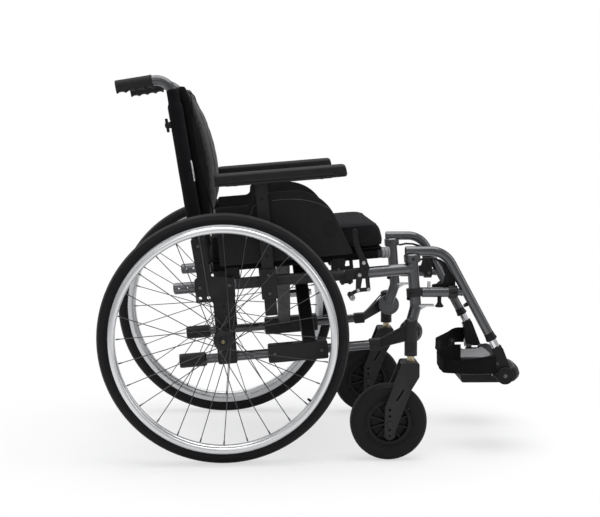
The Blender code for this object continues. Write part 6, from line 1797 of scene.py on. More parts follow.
def dress_hanger(side):
    """The swing-away tube with its cup, knuckle, latch bar, stop and end cap."""
    y = side * FRAME_HALF
    way = Y_WAY * side
    pivot = frame_point(FRONT_TUBE_U, y, 0)
    corners = [
        chair_point(HANGER_REAR_X, y, HANGER_Z), chair_point(HANGER_CORNER_X, y, HANGER_Z),
        leg_point(HANGER_LENGTH, y)
    ]
    bore = sweep(
        [leg_point(HANGER_LENGTH - EXTENSION_INSERT - 0.004, y), leg_point(HANGER_LENGTH + 0.010, y)],
        EXTENSION_RADIUS + CLEARANCE, 36, 0.0
    )
    hole_radius = TUBE_RADIUS + SLACK
    hole_top = FRONT_TUBE_TOP + SLACK
    hole = pin(pivot, H_WAY, KNUCKLE_H - KNUCKLE_HEIGHT, hole_top, hole_radius, 40, 0.0)
    leg = cut(sweep(rounded_path(corners, HANGER_BEND, 20), HANGER_RADIUS, 44, 0.0008), [hole.copy()])
    parts = [("paint", cut(leg, [bore.copy()]))]
    cup_top = FRONT_TUBE_TOP + 0.009
    cup = [
        (0, cup_top), (HANGER_CUP_RADIUS - 0.005, cup_top), (HANGER_CUP_RADIUS - 0.001, cup_top - 0.004),
        (HANGER_CUP_RADIUS - 0.001, HANGER_CUP_BOTTOM + 0.0025),
        (HANGER_CUP_RADIUS - 0.003, HANGER_CUP_BOTTOM), (hole_radius, HANGER_CUP_BOTTOM),
        (hole_radius, hole_top), (0, hole_top)
    ]
    parts.append(("paint", turned(cup, pivot, H_WAY, 48, X_WAY, 0.0006)))
    knuckle = [
        (hole_radius, KNUCKLE_H - KNUCKLE_HEIGHT / 2), (KNUCKLE_RADIUS, KNUCKLE_H - KNUCKLE_HEIGHT / 2),
        (KNUCKLE_RADIUS, KNUCKLE_H - 0.0015), (KNUCKLE_RADIUS - 0.0008, KNUCKLE_H - 0.0008),
        (KNUCKLE_RADIUS - 0.0008, KNUCKLE_H + 0.0008), (KNUCKLE_RADIUS, KNUCKLE_H + 0.0015),
        (KNUCKLE_RADIUS, KNUCKLE_H + KNUCKLE_HEIGHT / 2), (hole_radius, KNUCKLE_H + KNUCKLE_HEIGHT / 2)
    ]
    parts.append(("coat", turned(knuckle, pivot, H_WAY, 48, X_WAY, 0.0010)))
    bar_start_x = frame_point(FRONT_TUBE_U, y, KNUCKLE_H).x + CENTRE_X + TUBE_RADIUS + 0.004
    leg_at_bar = leg_point((HANGER_Z - BAR_Z) / math.cos(HANGER_LEAN), y).x + CENTRE_X
    axis = chair_point(0, y, BAR_Z)
    bar = turned(
        [
            (0, bar_start_x), (BAR_RADIUS, bar_start_x), (BAR_RADIUS, BAR_FRONT_X + 0.001),
            (0.0092, BAR_FRONT_X + 0.001), (0.0092, leg_at_bar), (0, leg_at_bar)
        ],
        axis, X_WAY, 40
    )
    parts.append(("paint", bar))
    collar = turned(
        [
            (0, BAR_FRONT_X), (BAR_COLLAR_RADIUS, BAR_FRONT_X), (BAR_COLLAR_RADIUS, COLLAR_FRONT_X - 0.002),
            (BAR_COLLAR_RADIUS - 0.002, COLLAR_FRONT_X), (0, COLLAR_FRONT_X)
        ],
        axis, X_WAY, 44
    )
    groove = chair_plate(
        link((BAR_FRONT_X + 0.006, BAR_Z), 0.0016, (COLLAR_FRONT_X - 0.006, BAR_Z), 0.0016), side,
        FRAME_HALF + BAR_COLLAR_RADIUS - 0.003, FRAME_HALF + BAR_COLLAR_RADIUS + 0.002, 0.0
    )
    parts.append(("coat", cut(collar, [groove])))
    fillet = hoop(chair_point(leg_at_bar - 0.0125, y, BAR_Z), X_WAY, 0.0092, 0.0014, 40, 8)
    parts.append(("paint", fillet))
    low = BAR_Z - BAR_RADIUS
    mushroom = turned(
        [
            (0, low - 0.0250), (0.0080, low - 0.0250), (0.0105, low - 0.0235), (0.0105, low - 0.0205),
            (0.0080, low - 0.0185), (0.0050, low - 0.0130), (0.0050, BAR_Z), (0, BAR_Z)
        ],
        chair_point(MUSHROOM_X, y, 0), Z_WAY, 36, X_WAY, 0.0006
    )
    parts.append(("plastic", mushroom))
    stop = turned(
        [
            (0, BAR_Z), (0.004, BAR_Z), (0.004, BAR_Z + BAR_RADIUS + 0.0125),
            (0.003, BAR_Z + BAR_RADIUS + 0.0145), (0, BAR_Z + BAR_RADIUS + 0.0145)
        ],
        chair_point(PIN_X, y, 0), Z_WAY, 24, X_WAY, 0.0004
    )
    parts.append(("steel", stop))
    cap_top, cap_end = HANGER_LENGTH - END_CAP_LENGTH + 0.004, HANGER_LENGTH + 0.004
    cap = [
        (EXTENSION_RADIUS + CLEARANCE, cap_end), (END_CAP_RADIUS - 0.0006, cap_end),
        (END_CAP_RADIUS, cap_end - 0.0030), (END_CAP_RADIUS - 0.0015, cap_end - 0.0100),
        (END_CAP_RADIUS - 0.0022, cap_top + 0.0006), (HANGER_RADIUS - 0.0004, cap_top),
        (EXTENSION_RADIUS + CLEARANCE, cap_top)
    ]
    parts.append(("plastic", turned(cap, leg_point(0, y), LEG_WAY, 48, Z_WAY, 0.0006)))
    under = leg_point((HANGER_Z - 0.3821) / math.cos(HANGER_LEAN), y)
    below = (-Z_WAY * math.sin(HANGER_LEAN) - X_WAY * math.cos(HANGER_LEAN)).normalized()
    nub = [(0, 0.009), (0.0050, 0.009), (0.0050, 0.016), (0.0036, 0.0225), (0, 0.0235)]
    parts.append(("plastic", turned(nub, under, below, 28)))
    plug = [(0, -0.003), (0.0098, -0.003), (0.0098, 0.0008), (0, 0.0014)]
    parts.append(("plastic", turned(plug, chair_point(HANGER_REAR_X, y, HANGER_Z), -X_WAY, 32)))
    out = FRAME_HALF + HANGER_CUP_RADIUS - 0.0014
    bolt = frame_point(FRONT_TUBE_U, side * out, HANGER_CUP_BOTTOM + 0.010)
    parts.append(("coat", socket_screw(bolt, way, 0.0036, 0.0018)))
    for spare in (bore, hole):
        spare.free()
    side_piece(side, "hanger_tube", "leg_support", parts, "hanger", pivot)


def dress_latch(side):
    """The release lever: a fin with a sunk web that rises to a thin tail."""
    outer = FRAME_HALF - BAR_COLLAR_RADIUS - CLEARANCE
    pivot = (LATCH_X, BAR_Z)
    tail = (pivot[0] - 0.0825, pivot[1] + 0.0785)
    outline = [
        *arc(pivot, 0.0100, -110, 20, 10), (pivot[0] + 0.0090, pivot[1] + 0.0240),
        (pivot[0] + 0.0010, pivot[1] + 0.0480), (pivot[0] - 0.0150, pivot[1] + 0.0700),
        (pivot[0] - 0.0270, pivot[1] + 0.0785), (pivot[0] - 0.0450, pivot[1] + 0.0835),
        (pivot[0] - 0.0650, pivot[1] + 0.0845), *arc(tail, 0.0024, 110, 290, 6),
        (pivot[0] - 0.0645, pivot[1] + 0.0797), (pivot[0] - 0.0460, pivot[1] + 0.0787),
        (pivot[0] - 0.0330, pivot[1] + 0.0735), (pivot[0] - 0.0240, pivot[1] + 0.0600),
        (pivot[0] - 0.0170, pivot[1] + 0.0400), (pivot[0] - 0.0220, pivot[1] + 0.0210),
        (pivot[0] - 0.0490, pivot[1] + 0.0170), (pivot[0] - 0.0500, pivot[1] + 0.0100),
        (pivot[0] - 0.0250, pivot[1] + 0.0060)
    ]
    fin = chair_plate(soften(outline, 0.004, 3), side, outer - LATCH_THICKNESS, outer, 0.0014)
    spine = [
        (pivot[0] + 0.0035, pivot[1] + 0.0060), (pivot[0] + 0.0025, pivot[1] + 0.0230),
        (pivot[0] - 0.0070, pivot[1] + 0.0450), (pivot[0] - 0.0190, pivot[1] + 0.0640),
        (pivot[0] - 0.0330, pivot[1] + 0.0765), (pivot[0] - 0.0480, pivot[1] + 0.0810)
    ]
    parts = [("plastic", fin)]
    for at in (outer - LATCH_THICKNESS, outer):
        rib = [chair_point(x, side * at, z) for x, z in spine]
        parts.append(("plastic", sweep(rib, [0.0016, 0.0015, 0.0014, 0.0013, 0.0011, 0.0009], 12, 0.0)))
    middle = chair_point(LATCH_X, side * (outer - LATCH_THICKNESS), BAR_Z)
    parts.append(("bolt", socket_screw(middle, -Y_WAY * side, 0.0042, 0.0020)))
    side_piece(
        side, "release_lever", "release_latch", parts, "hanger_latch",
        chair_point(LATCH_X, side * outer, BAR_Z)
    )


def dress_extension(side):
    """The bright sliding tube, the black ankle block with its ringed disc, and the hinge pin."""
    y = side * FRAME_HALF
    way = Y_WAY * side
    top = leg_point(HANGER_LENGTH - EXTENSION_INSERT, y)
    neck = leg_point(HANGER_LENGTH + 0.036, y)
    rod = sweep([top, leg_point(HANGER_LENGTH + 0.050, y)], EXTENSION_RADIUS, 40)
    ankle = (ANKLE_X, ANKLE_Z)
    inner, outer = FRAME_HALF - ANKLE_HALF_WIDTH, FRAME_HALF + ANKLE_HALF_WIDTH
    outline = link((neck.x + CENTRE_X, neck.z), 0.0130, ankle, ANKLE_RADIUS - 0.001, 16)
    block = chair_plate(outline, side, inner, outer, 0.0024)
    parts = [("chrome", rod), ("plastic", block)]
    collar = turned(
        [
            (EXTENSION_RADIUS - 0.001, 0), (0.0128, 0), (0.0134, 0.002), (0.0134, 0.010),
            (EXTENSION_RADIUS - 0.001, 0.010)
        ],
        leg_point(HANGER_LENGTH + 0.0255, y), LEG_WAY, 40
    )
    parts.append(("plastic", collar))
    centre = chair_point(ANKLE_X, y, ANKLE_Z)
    reach = ANKLE_HALF_WIDTH + 0.010
    disc = [
        (0, 0), (ANKLE_RADIUS, 0), (ANKLE_RADIUS, reach - 0.0015), (ANKLE_RADIUS - 0.0015, reach),
        (0.0172, reach), (0.0168, reach - 0.0006), (0.0160, reach - 0.0006), (0.0156, reach),
        (0.0105, reach), (0.0101, reach - 0.0005), (0.0094, reach - 0.0005), (0.0090, reach),
        (0.0058, reach), (0.0056, reach - 0.0010), (0, reach - 0.0010)
    ]

    def knurl(radius, along, turn):
        return 1 - 0.006 * (0.5 + 0.5 * math.cos(40 * turn)) if radius > 0.0205 else 1.0

    parts.append(("plastic", turned(disc, centre, way, 120, Z_WAY, 0.0003, knurl)))
    parts.append(("bolt", hex_bolt(centre + way * (reach - 0.0010), way, 0.0040, 0.0025)))
    lug = chair_block(
        side, (ANKLE_X - 0.008, ANKLE_X + 0.008), (FLIP_HALF - 0.0040, inner + 0.002),
        (FLIP_Z - 0.0045, FLIP_Z + 0.0045)
    )
    parts.append(("plastic", lug))
    hinge = chair_point(ANKLE_X, side * FLIP_HALF, FLIP_Z)
    parts.append(("steel", pin(hinge, X_WAY, -0.026, 0.026, FLIP_PIN_RADIUS - 0.0001, 32, 0.001)))
    rear = chair_point(ANKLE_X - 0.0185, side * (outer - 0.001), ANKLE_Z + 0.030)
    parts.append(("bolt", socket_screw(rear, way, 0.0032, 0.0020)))
    # Four near-black discs on the tube stand for its adjustment holes: painted shade in place of real holes.
    for step in range(4):
        spot = leg_point(
            HANGER_LENGTH - EXTENSION_INSERT + 0.018 + 0.026 * step, y
        ) + way * (EXTENSION_RADIUS - 0.0006)
        parts.append(("dark", turned([(0, 0), (0.0024, 0), (0.0024, 0.0009), (0, 0.0009)], spot, way, 16)))
    side_piece(side, "ankle", "leg_extension", parts, "extension", top)


def tray_profile(side, out, cut_back, inset):
    """The tray's outline from the side, drawn in near its side edges."""
    toe, top = FOOTPLATE_TOE_X, FOOTPLATE_TOP
    profile = [
        (toe - 0.1590, top - 0.0216), (toe - 0.0570, top - 0.0220), (toe - 0.0120, top - 0.0196),
        (toe - 0.0020, top - 0.0110), (toe, top - 0.0040), (toe - 0.0040, top + 0.0070),
        (toe - 0.0110, top + TOE_RISE), (toe - 0.0220, top + TOE_RISE), (toe - 0.0330, top + 0.0075),
        (toe - 0.0480, top + 0.0015), (toe - 0.0620, top - 0.0008), (toe - 0.1610, top - 0.0004)
    ]
    rounded = soften(profile, 0.006, 4)
    if inset > 0:
        rounded = drawn_in(rounded, inset)
    ring = []
    for x, z in rounded:
        forward = max(0.0, x - (toe - TOE_LENGTH)) / TOE_LENGTH
        ring.append(chair_point(x - cut_back * forward, side * out, z))
    return ring


def cut_back_at(out):
    """How far the toe is drawn back at one distance out."""
    for (first, low), (second, high) in zip(TRAY_CORNERS, TRAY_CORNERS[1:]):
        if out <= second:
            return low + (high - low) * max(0.0, out - first) / (second - first)
    return TRAY_CORNERS[-1][1]


def dress_footplate(side):
    """The tray with its grey ribbed tread, black rim, hinge knuckles, screws and strap peg."""
    way = Y_WAY * side
    top = FOOTPLATE_TOP
    width = FOOTPLATE_OUTER - FOOTPLATE_INNER
    rings = []
    for k in range(41):
        share = 0.5 - 0.5 * math.cos(math.pi * k / 40)
        out = FOOTPLATE_INNER + width * share
        near = min(share, 1 - share) * width
        inset = 0.0026 * (1 - min(1.0, near / 0.0026)) ** 2
        rings.append(tray_profile(side, out, cut_back_at(out), inset))
    tray = skin(rings)
    origin = chair_point(ANKLE_X, side * FLIP_HALF, FLIP_Z)
    barrel = FLIP_PIN_RADIUS + CLEARANCE + KNUCKLE_WALL
    hole = pin(origin, X_WAY, -0.03, 0.03, FLIP_PIN_RADIUS + CLEARANCE, 32, 0.0)
    parts = [("plastic", tray)]
    tread = []
    steps_x, steps_y = 40, 30
    toe = FOOTPLATE_TOE_X
    for j in range(steps_y + 1):
        out = FOOTPLATE_INNER + 0.007 + (width - 0.014) * j / steps_y
        row = []
        for k in range(steps_x + 1):
            share = k / steps_x
            x = toe - 0.1575 + 0.1415 * share
            z = top + 0.0005
            if x > toe - 0.062:
                f = (x - (toe - 0.062)) / 0.046
                z += 0.0152 * max(0.0, min(1.0, f)) ** 1.7
            forward = max(0.0, x - (toe - TOE_LENGTH)) / TOE_LENGTH
            row.append((x - cut_back_at(out) * forward, out, z))
        tread.append(row)
    sheet = bmesh.new()
    layers = []
    for drop in (0.0, 0.0022):
        layers.append(
            [[sheet.verts.new(chair_point(x, side * out, z - drop)) for x, out, z in row] for row in tread]
        )
    for layer in layers:
        for j in range(steps_y):
            for k in range(steps_x):
                sheet.faces.new((layer[j][k], layer[j][k + 1], layer[j + 1][k + 1], layer[j + 1][k]))
    edge = [(0, k) for k in range(steps_x)] + [(j, steps_x) for j in range(steps_y)]
    edge += [(steps_y, k) for k in range(steps_x, 0, -1)] + [(j, 0) for j in range(steps_y, 0, -1)]
    upper, lower = layers
    for (j, k), (m, n) in zip(edge, edge[1:] + edge[:1]):
        sheet.faces.new((upper[j][k], upper[m][n], lower[m][n], lower[j][k]))
    bmesh.ops.recalc_face_normals(sheet, faces=sheet.faces)
    parts.append(("tray", sheet))
    for start, end in ((-0.024, -0.009), (0.009, 0.024)):
        knuckle = turned(
            [(0, start), (barrel, start), (barrel, end), (0, end)], origin, X_WAY, 36, Z_WAY, 0.0010
        )
        parts.append(("plastic", cut(knuckle, [hole.copy()])))
        web = chair_block(
            side, (ANKLE_X + start, ANKLE_X + end), (FOOTPLATE_OUTER - 0.004, FLIP_HALF - 0.004),
            (FLIP_Z - barrel + 0.001, top - 0.003)
        )
        parts.append(("plastic", cut(web, [hole.copy()])))
    hole.free()
    peg = chair_block(
        side, (ANKLE_X - STRAP_PEG_REAR, ANKLE_X - STRAP_PEG_FRONT),
        (FOOTPLATE_INNER, FOOTPLATE_INNER + 0.004), (top - 0.004, STRAP_TOP - 0.002), 0.0010, 0.003
    )
    parts.append(("plastic", peg))
    stud = chair_point(
        ANKLE_X - (STRAP_PEG_REAR + STRAP_PEG_FRONT) / 2, side * FOOTPLATE_INNER, STRAP_TOP - 0.0068
    )
    parts.append(("bolt", socket_screw(stud, -way, 0.0032, 0.0016)))
    for back in (0.040, 0.058):
        spot = chair_point(ANKLE_X - back, side * (FOOTPLATE_OUTER - 0.012), top + 0.0005)
        parts.append(("bolt", socket_screw(spot, Z_WAY, 0.0036, 0.0018)))
    for out in (0.075, 0.105, 0.135, 0.165):
        run = [
            chair_point(toe - 0.150, side * out, top - 0.0206),
            chair_point(toe - 0.064, side * out, top - 0.0210)
        ]
        parts.append(("plastic", sweep(run, 0.0016, 10)))
    side_piece(side, "tray", "foot_tray", parts, "footplate", origin)


def strap_place(side, points, k, share, level, off):
    """A place on the band: it hangs and waves where it is free, and drops more at its top edge."""
    ahead = (points[min(k + 1, len(points) - 1)] - points[max(k - 1, 0)]).normalized()
    free = math.sin(math.pi * min(1.0, max(0.0, (share - STRAP_FIXED) / (1 - 2 * STRAP_FIXED))))
    z = STRAP_BOTTOM + 0.0005 + (STRAP_TOP - STRAP_BOTTOM - 0.001) * level
    z -= free * (0.0080 + 0.0120 * level)
    wave = 0.0011 * free * math.sin(9 * share * math.pi + 2 * level)
    place = points[k] + Vector((-ahead.y, ahead.x)) * (wave + off)
    return chair_point(place.x, side * place.y, z)


def dress_heel_strap(side):
    """Webbing round behind the heel, its top edge dipping in the middle, with stitched ends."""
    name = SIDE_NAMES[side]
    ankle_face = FRAME_HALF + ANKLE_HALF_WIDTH + CLEARANCE + STRAP_THICKNESS / 2
    inner_face = FOOTPLATE_INNER + 0.004 + CLEARANCE + STRAP_THICKNESS / 2
    heel = FOOTPLATE_TOE_X - STRAP_REACH[side]
    corners = [
        Vector((ANKLE_X - STRAP_START, ankle_face, 0)), Vector((ANKLE_X - 0.055, ankle_face, 0)),
        Vector((heel, FOOTPLATE_OUTER - 0.010, 0)), Vector((heel, inner_face + 0.020, 0)),
        Vector((ANKLE_X - 0.098, inner_face, 0)), Vector((ANKLE_X - STRAP_PEG_FRONT, inner_face, 0))
    ]
    route = [p.to_2d() for p in rounded_path(corners, 0.018, 8)]
    points = [route[0]]
    for target in route[1:]:
        gap = (target - points[-1]).length
        pieces = max(1, round(gap / 0.006))
        start = points[-1]
        points += [start + (target - start) * (n + 1) / pieces for n in range(pieces)]
    lengths = [0.0]
    for first, second in zip(points, points[1:]):
        lengths.append(lengths[-1] + (second - first).length)
    total = lengths[-1]
    rows = 8
    rings = []
    half = STRAP_THICKNESS / 2 - 0.0003
    for k in range(len(points)):
        ring = []
        for face, order in ((1, range(rows + 1)), (-1, range(rows, -1, -1))):
            for n in order:
                off = face * half * (0.45 if n in (0, rows) else 1.0)
                ring.append(strap_place(side, points, k, lengths[k] / total, n / rows, off))
        rings.append(ring)
    parts = [("webbing", skin(rings))]
    for level in (0.10, 0.90):
        inside = range(1, len(points) - 1)
        stitch = [strap_place(side, points, k, lengths[k] / total, level, -half) for k in inside]
        parts.append(("webbing", sweep(stitch, STITCH, 6, 0.0)))
    band = shape(f"{name}_heel_band", parts, None, 50, False)
    finish_strap(band, side)


def finish_strap(band, side):
    """The strap is fixed in world space and its CAD part is hidden."""
    name = SIDE_NAMES[side]
    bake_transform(band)
    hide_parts(f"heel_strap_{name}")


# Folding cross


def dress_cross_arm(letter, low_side, place):
    """The pivot sleeve, the bar up to the opposite rail, and that rail with its end caps."""
    low, high = low_side * FRAME_HALF, -low_side * RAIL_HALF
    bore_radius = LOWER_TUBE_RADIUS + SLACK
    bore = frame_bar(PIVOT_SLEEVE_REAR - 0.01, PIVOT_SLEEVE_FRONT + 0.01, low, 0, bore_radius, 36)
    sleeve = frame_block(
        low_side, (PIVOT_SLEEVE_REAR, PIVOT_SLEEVE_FRONT), about(FRAME_HALF, PIVOT_SLEEVE_WIDTH),
        about(0, PIVOT_SLEEVE_HEIGHT), 0.0030, 0.005
    )
    foot, head = frame_point(place, low, 0), frame_point(place, high, RAIL_H)
    ahead = (head - foot).normalized()
    across = ahead.cross(U_WAY)
    start = foot + ahead * (PIVOT_SLEEVE_WIDTH / 2 - 0.004)
    section = box_outline(about(0, ARM_WIDTH), about(0, ARM_DEPTH))
    bar = prism(section, start, U_WAY, across, ahead, (head - start).length, 0.0006, 0.004)
    rise = RAIL_H * FRAME_HALF / (FRAME_HALF + RAIL_HALF)
    middle = frame_point(0, 0, rise)
    parts = [("coat", cut(sleeve, [bore.copy()]))]
    if letter == "b":
        bolt_hole = pin(middle, U_WAY, place - 0.03, place + 0.03, CENTRE_BOLT_RADIUS + CLEARANCE, 24, 0.0)
        bar = cut(bar, [bolt_hole])
    parts.append(("coat", cut(bar, [bore])))
    parts.append(("coat", frame_bar(RAIL_REAR, RAIL_FRONT, high, RAIL_H, RAIL_RADIUS, 40, 0.0007)))
    hem = frame_bar(RAIL_REAR + 0.006, RAIL_FRONT - 0.030, high, RAIL_H, RAIL_RADIUS + 0.0002, 40)
    parts.append(("sling", hem))
    for end, way in ((RAIL_REAR, -1), (RAIL_FRONT, 1)):
        spot = frame_point(end, high, RAIL_H)
        cap = [
            (0, -0.020), (RAIL_RADIUS + 0.0001, -0.020), (RAIL_RADIUS + 0.0012, -0.0185),
            (RAIL_RADIUS + 0.0012, -0.0020), (RAIL_RADIUS - 0.0012, 0.0006), (0, 0.0006)
        ]
        if end == RAIL_FRONT:
            parts.append(("tray", turned(cap, spot, U_WAY * way, 40, Z_WAY, 0.0005)))
        else:
            plug = [(0, -0.003), (RAIL_RADIUS - 0.001, -0.003), (RAIL_RADIUS - 0.001, 0.0008), (0, 0.0008)]
            parts.append(("plastic", turned(plug, spot, U_WAY * way, 36)))
    if letter == "a":
        b_rear, b_front = ARM_B_U - ARM_WIDTH / 2, ARM_B_U + ARM_WIDTH / 2
        spacer = (CENTRE_BOLT_HEAD, b_front + CLEARANCE, place - ARM_WIDTH / 2 + 0.004)
        parts.append(("steel", pin(middle, U_WAY, spacer[1], spacer[2], spacer[0], 32)))
        parts.append(("steel", pin(middle, U_WAY, b_rear - 0.002, b_front + 0.002, CENTRE_BOLT_RADIUS, 28)))
        head_spot = middle + U_WAY * (b_rear - CLEARANCE)
        parts.append(("steel", hex_bolt(head_spot, -U_WAY, CENTRE_BOLT_HEAD * 0.77, CENTRE_BOLT_HEAD_LENGTH)))
        front_spot = middle + U_WAY * (place + ARM_WIDTH / 2)
        parts.append(("steel", hex_bolt(front_spot, U_WAY, CENTRE_BOLT_HEAD * 0.77, 0.0065)))
    for u in (PIVOT_SLEEVE_REAR + 0.016, PIVOT_SLEEVE_FRONT - 0.016):
        spot = frame_point(u, low_side * (FRAME_HALF + PIVOT_SLEEVE_WIDTH / 2), 0)
        parts.append(("bolt", socket_screw(spot, Y_WAY * low_side, 0.0040, 0.0022)))
    node = f"cross_arm_{letter}"
    origin = frame_point(place, low, 0)
    piece(f"cross_bar_{letter}", f"cross_{letter}", parts, node, origin)


# Upholstery


def finished_mesh(made):
    """Applies what is on an object to its mesh."""
    graph = bpy.context.evaluated_depsgraph_get()
    mesh = bpy.data.meshes.new_from_object(made.evaluated_get(graph))
    made.modifiers.clear()
    old = made.data
    made.data = mesh
    bpy.data.meshes.remove(old)


def swollen(name, solid, held, voxel, pressure, cap):
    """The solid remeshed and blown up by cloth simulation; held(point) is 1 where it stays put."""
    made = bpy.data.objects.new(name, mesh_of(name, [solid]))
    bpy.context.scene.collection.objects.link(made)
    remesh = made.modifiers.new("Even", "REMESH")
    remesh.mode = "VOXEL"
    remesh.voxel_size = voxel
    finished_mesh(made)
    start = [v.co.copy() for v in made.data.vertices]
    group = made.vertex_groups.new(name="held")
    for v in made.data.vertices:
        share = held(v.co)
        if share > 0:
            group.add([v.index], share, "REPLACE")
    cloth = made.modifiers.new("Stuffing", "CLOTH")
    settings = cloth.settings
    settings.quality = 6
    settings.mass = 0.3
    settings.tension_stiffness = 12
    settings.compression_stiffness = 12
    settings.shear_stiffness = 6
    settings.bending_stiffness = 0.6
    settings.use_pressure = True
    settings.uniform_pressure_force = pressure
    settings.effector_weights.gravity = 0
    settings.vertex_group_mass = "held"
    cloth.collision_settings.use_collision = False
    cloth.point_cache.frame_start = 1
    cloth.point_cache.frame_end = SWELL_FRAMES
    for step in range(1, SWELL_FRAMES + 1):
        bpy.context.scene.frame_set(step)
    graph = bpy.context.evaluated_depsgraph_get()
    shown = made.evaluated_get(graph).to_mesh()
    moved = [v.co.copy() for v in shown.vertices]
    made.evaluated_get(graph).to_mesh_clear()
    made.modifiers.clear()
    made.vertex_groups.clear()
    bpy.context.scene.frame_set(1)
    for v, first, last in zip(made.data.vertices, start, moved):
        step = last - first
        if step.length > cap:
            step = step.normalized() * cap
        v.co = first + step * (1 - held(first))
    return made


def smooth_mesh(made, rounds):
    """Evens out the remesh's steps."""
    solid = bmesh.new()
    solid.from_mesh(made.data)
    for _ in range(rounds):
        bmesh.ops.smooth_vert(
            solid, verts=solid.verts, factor=0.5, use_axis_x=True, use_axis_y=True, use_axis_z=True
        )
    solid.to_mesh(made.data)
    solid.free()


def evened(spots, rounds):
    """A closed run of points, each drawn towards its neighbours."""
    for _ in range(rounds):
        spots = [(spots[k - 1] + spots[k] * 2 + spots[(k + 1) % len(spots)]) / 4 for k in range(len(spots))]
    return spots


def refine(made):
    """Splits each face of an object once, smoothly."""
    fine = made.modifiers.new("Fine", "SUBSURF")
    fine.levels = fine.render_levels = 1
    finished_mesh(made)


def cushion_loop(half_length, half_width, corner, draw, count):
    """A rounded rectangle whose sides draw in between the corners, as (along, out) points."""
    points = []
    power = 2.0 * corner
    for k in range(count):
        a = math.tau * (k + 0.5) / count
        c, s = math.cos(a), math.sin(a)
        along = math.copysign(abs(c) ** (2 / power), c)
        out = math.copysign(abs(s) ** (2 / power), s)
        pull_along = draw * (1 - out**2) * abs(along)
        pull_out = draw * (1 - along**2) * abs(out)
        points.append(
            (
                along * half_length - math.copysign(pull_along, along),
                out * half_width - math.copysign(pull_out, out)
            )
        )
    return points


def seat_piping(level, front_inset, side_inset, tree, radius):
    """A welt along the cushion's edge at one level, laid on the swollen cover."""
    low, high = CUSHION_REAR + side_inset, CUSHION_FRONT - front_inset
    middle = (low + high) / 2
    loop = cushion_loop((high - low) / 2, CUSHION_HALF_WIDTH - side_inset, 8.0, CUSHION_DRAW, 400)
    spots = []
    for along, out in loop:
        spot = frame_point(middle + along, out, CUSHION_BOTTOM + level * CUSHION_THICKNESS)
        spots.append(tree.find_nearest(spot)[0])
    return bead(evened(spots, 3), radius, 10)


def surface_tree(made):
    solid = bmesh.new()
    solid.from_mesh(made.data)
    tree = BVHTree.FromBMesh(solid)
    solid.free()
    return tree


def colour_by(made, finishes, choose):
    """Gives each face the finish that choose(centre, normal) names."""
    made.data.materials.clear()
    for finish in finishes:
        made.data.materials.append(FINISHES[finish])
    for face in made.data.polygons:
        face.material_index = finishes.index(choose(face.center, face.normal))


def add_solids(made, parts):
    """Joins further (finish, solid) pairs to an object's mesh."""
    finishes = list(made.data.materials)
    whole = bmesh.new()
    whole.from_mesh(made.data)
    for finish, solid in parts:
        material = FINISHES[finish]
        if material not in finishes:
            finishes.append(material)
            made.data.materials.append(material)
        for face in solid.faces:
            face.material_index = finishes.index(material)
            face.smooth = True
        part = bpy.data.meshes.new("part")
        solid.to_mesh(part)
        whole.from_mesh(part)
        bpy.data.meshes.remove(part)
        solid.free()
    whole.to_mesh(made.data)
    whole.free()


def frame_height(point):
    """How far a point is above the lower tubes along the frame's leaning upright."""
    return (point - frame_point(0, 0, 0)).dot(H_WAY)


def between_levels(levels, steps):
    """The levels with rounded steps added between them."""
    fine = []
    for k in range(len(levels) - 1):
        before, first = levels[max(0, k - 1)], levels[k]
        second, after = levels[k + 1], levels[min(len(levels) - 1, k + 2)]
        for n in range(steps):
            t = n / steps
            row = []
            for p0, p1, p2, p3 in zip(before, first, second, after):
                bend = (2 * p0 - 5 * p1 + 4 * p2 - p3) * t**2 + (3 * p1 - 3 * p2 + p3 - p0) * t**3
                row.append((2 * p1 + (p2 - p0) * t + bend) / 2)
            fine.append((first[0] + (second[0] - first[0]) * t, row[1], row[2]))
    return fine + [levels[-1]]


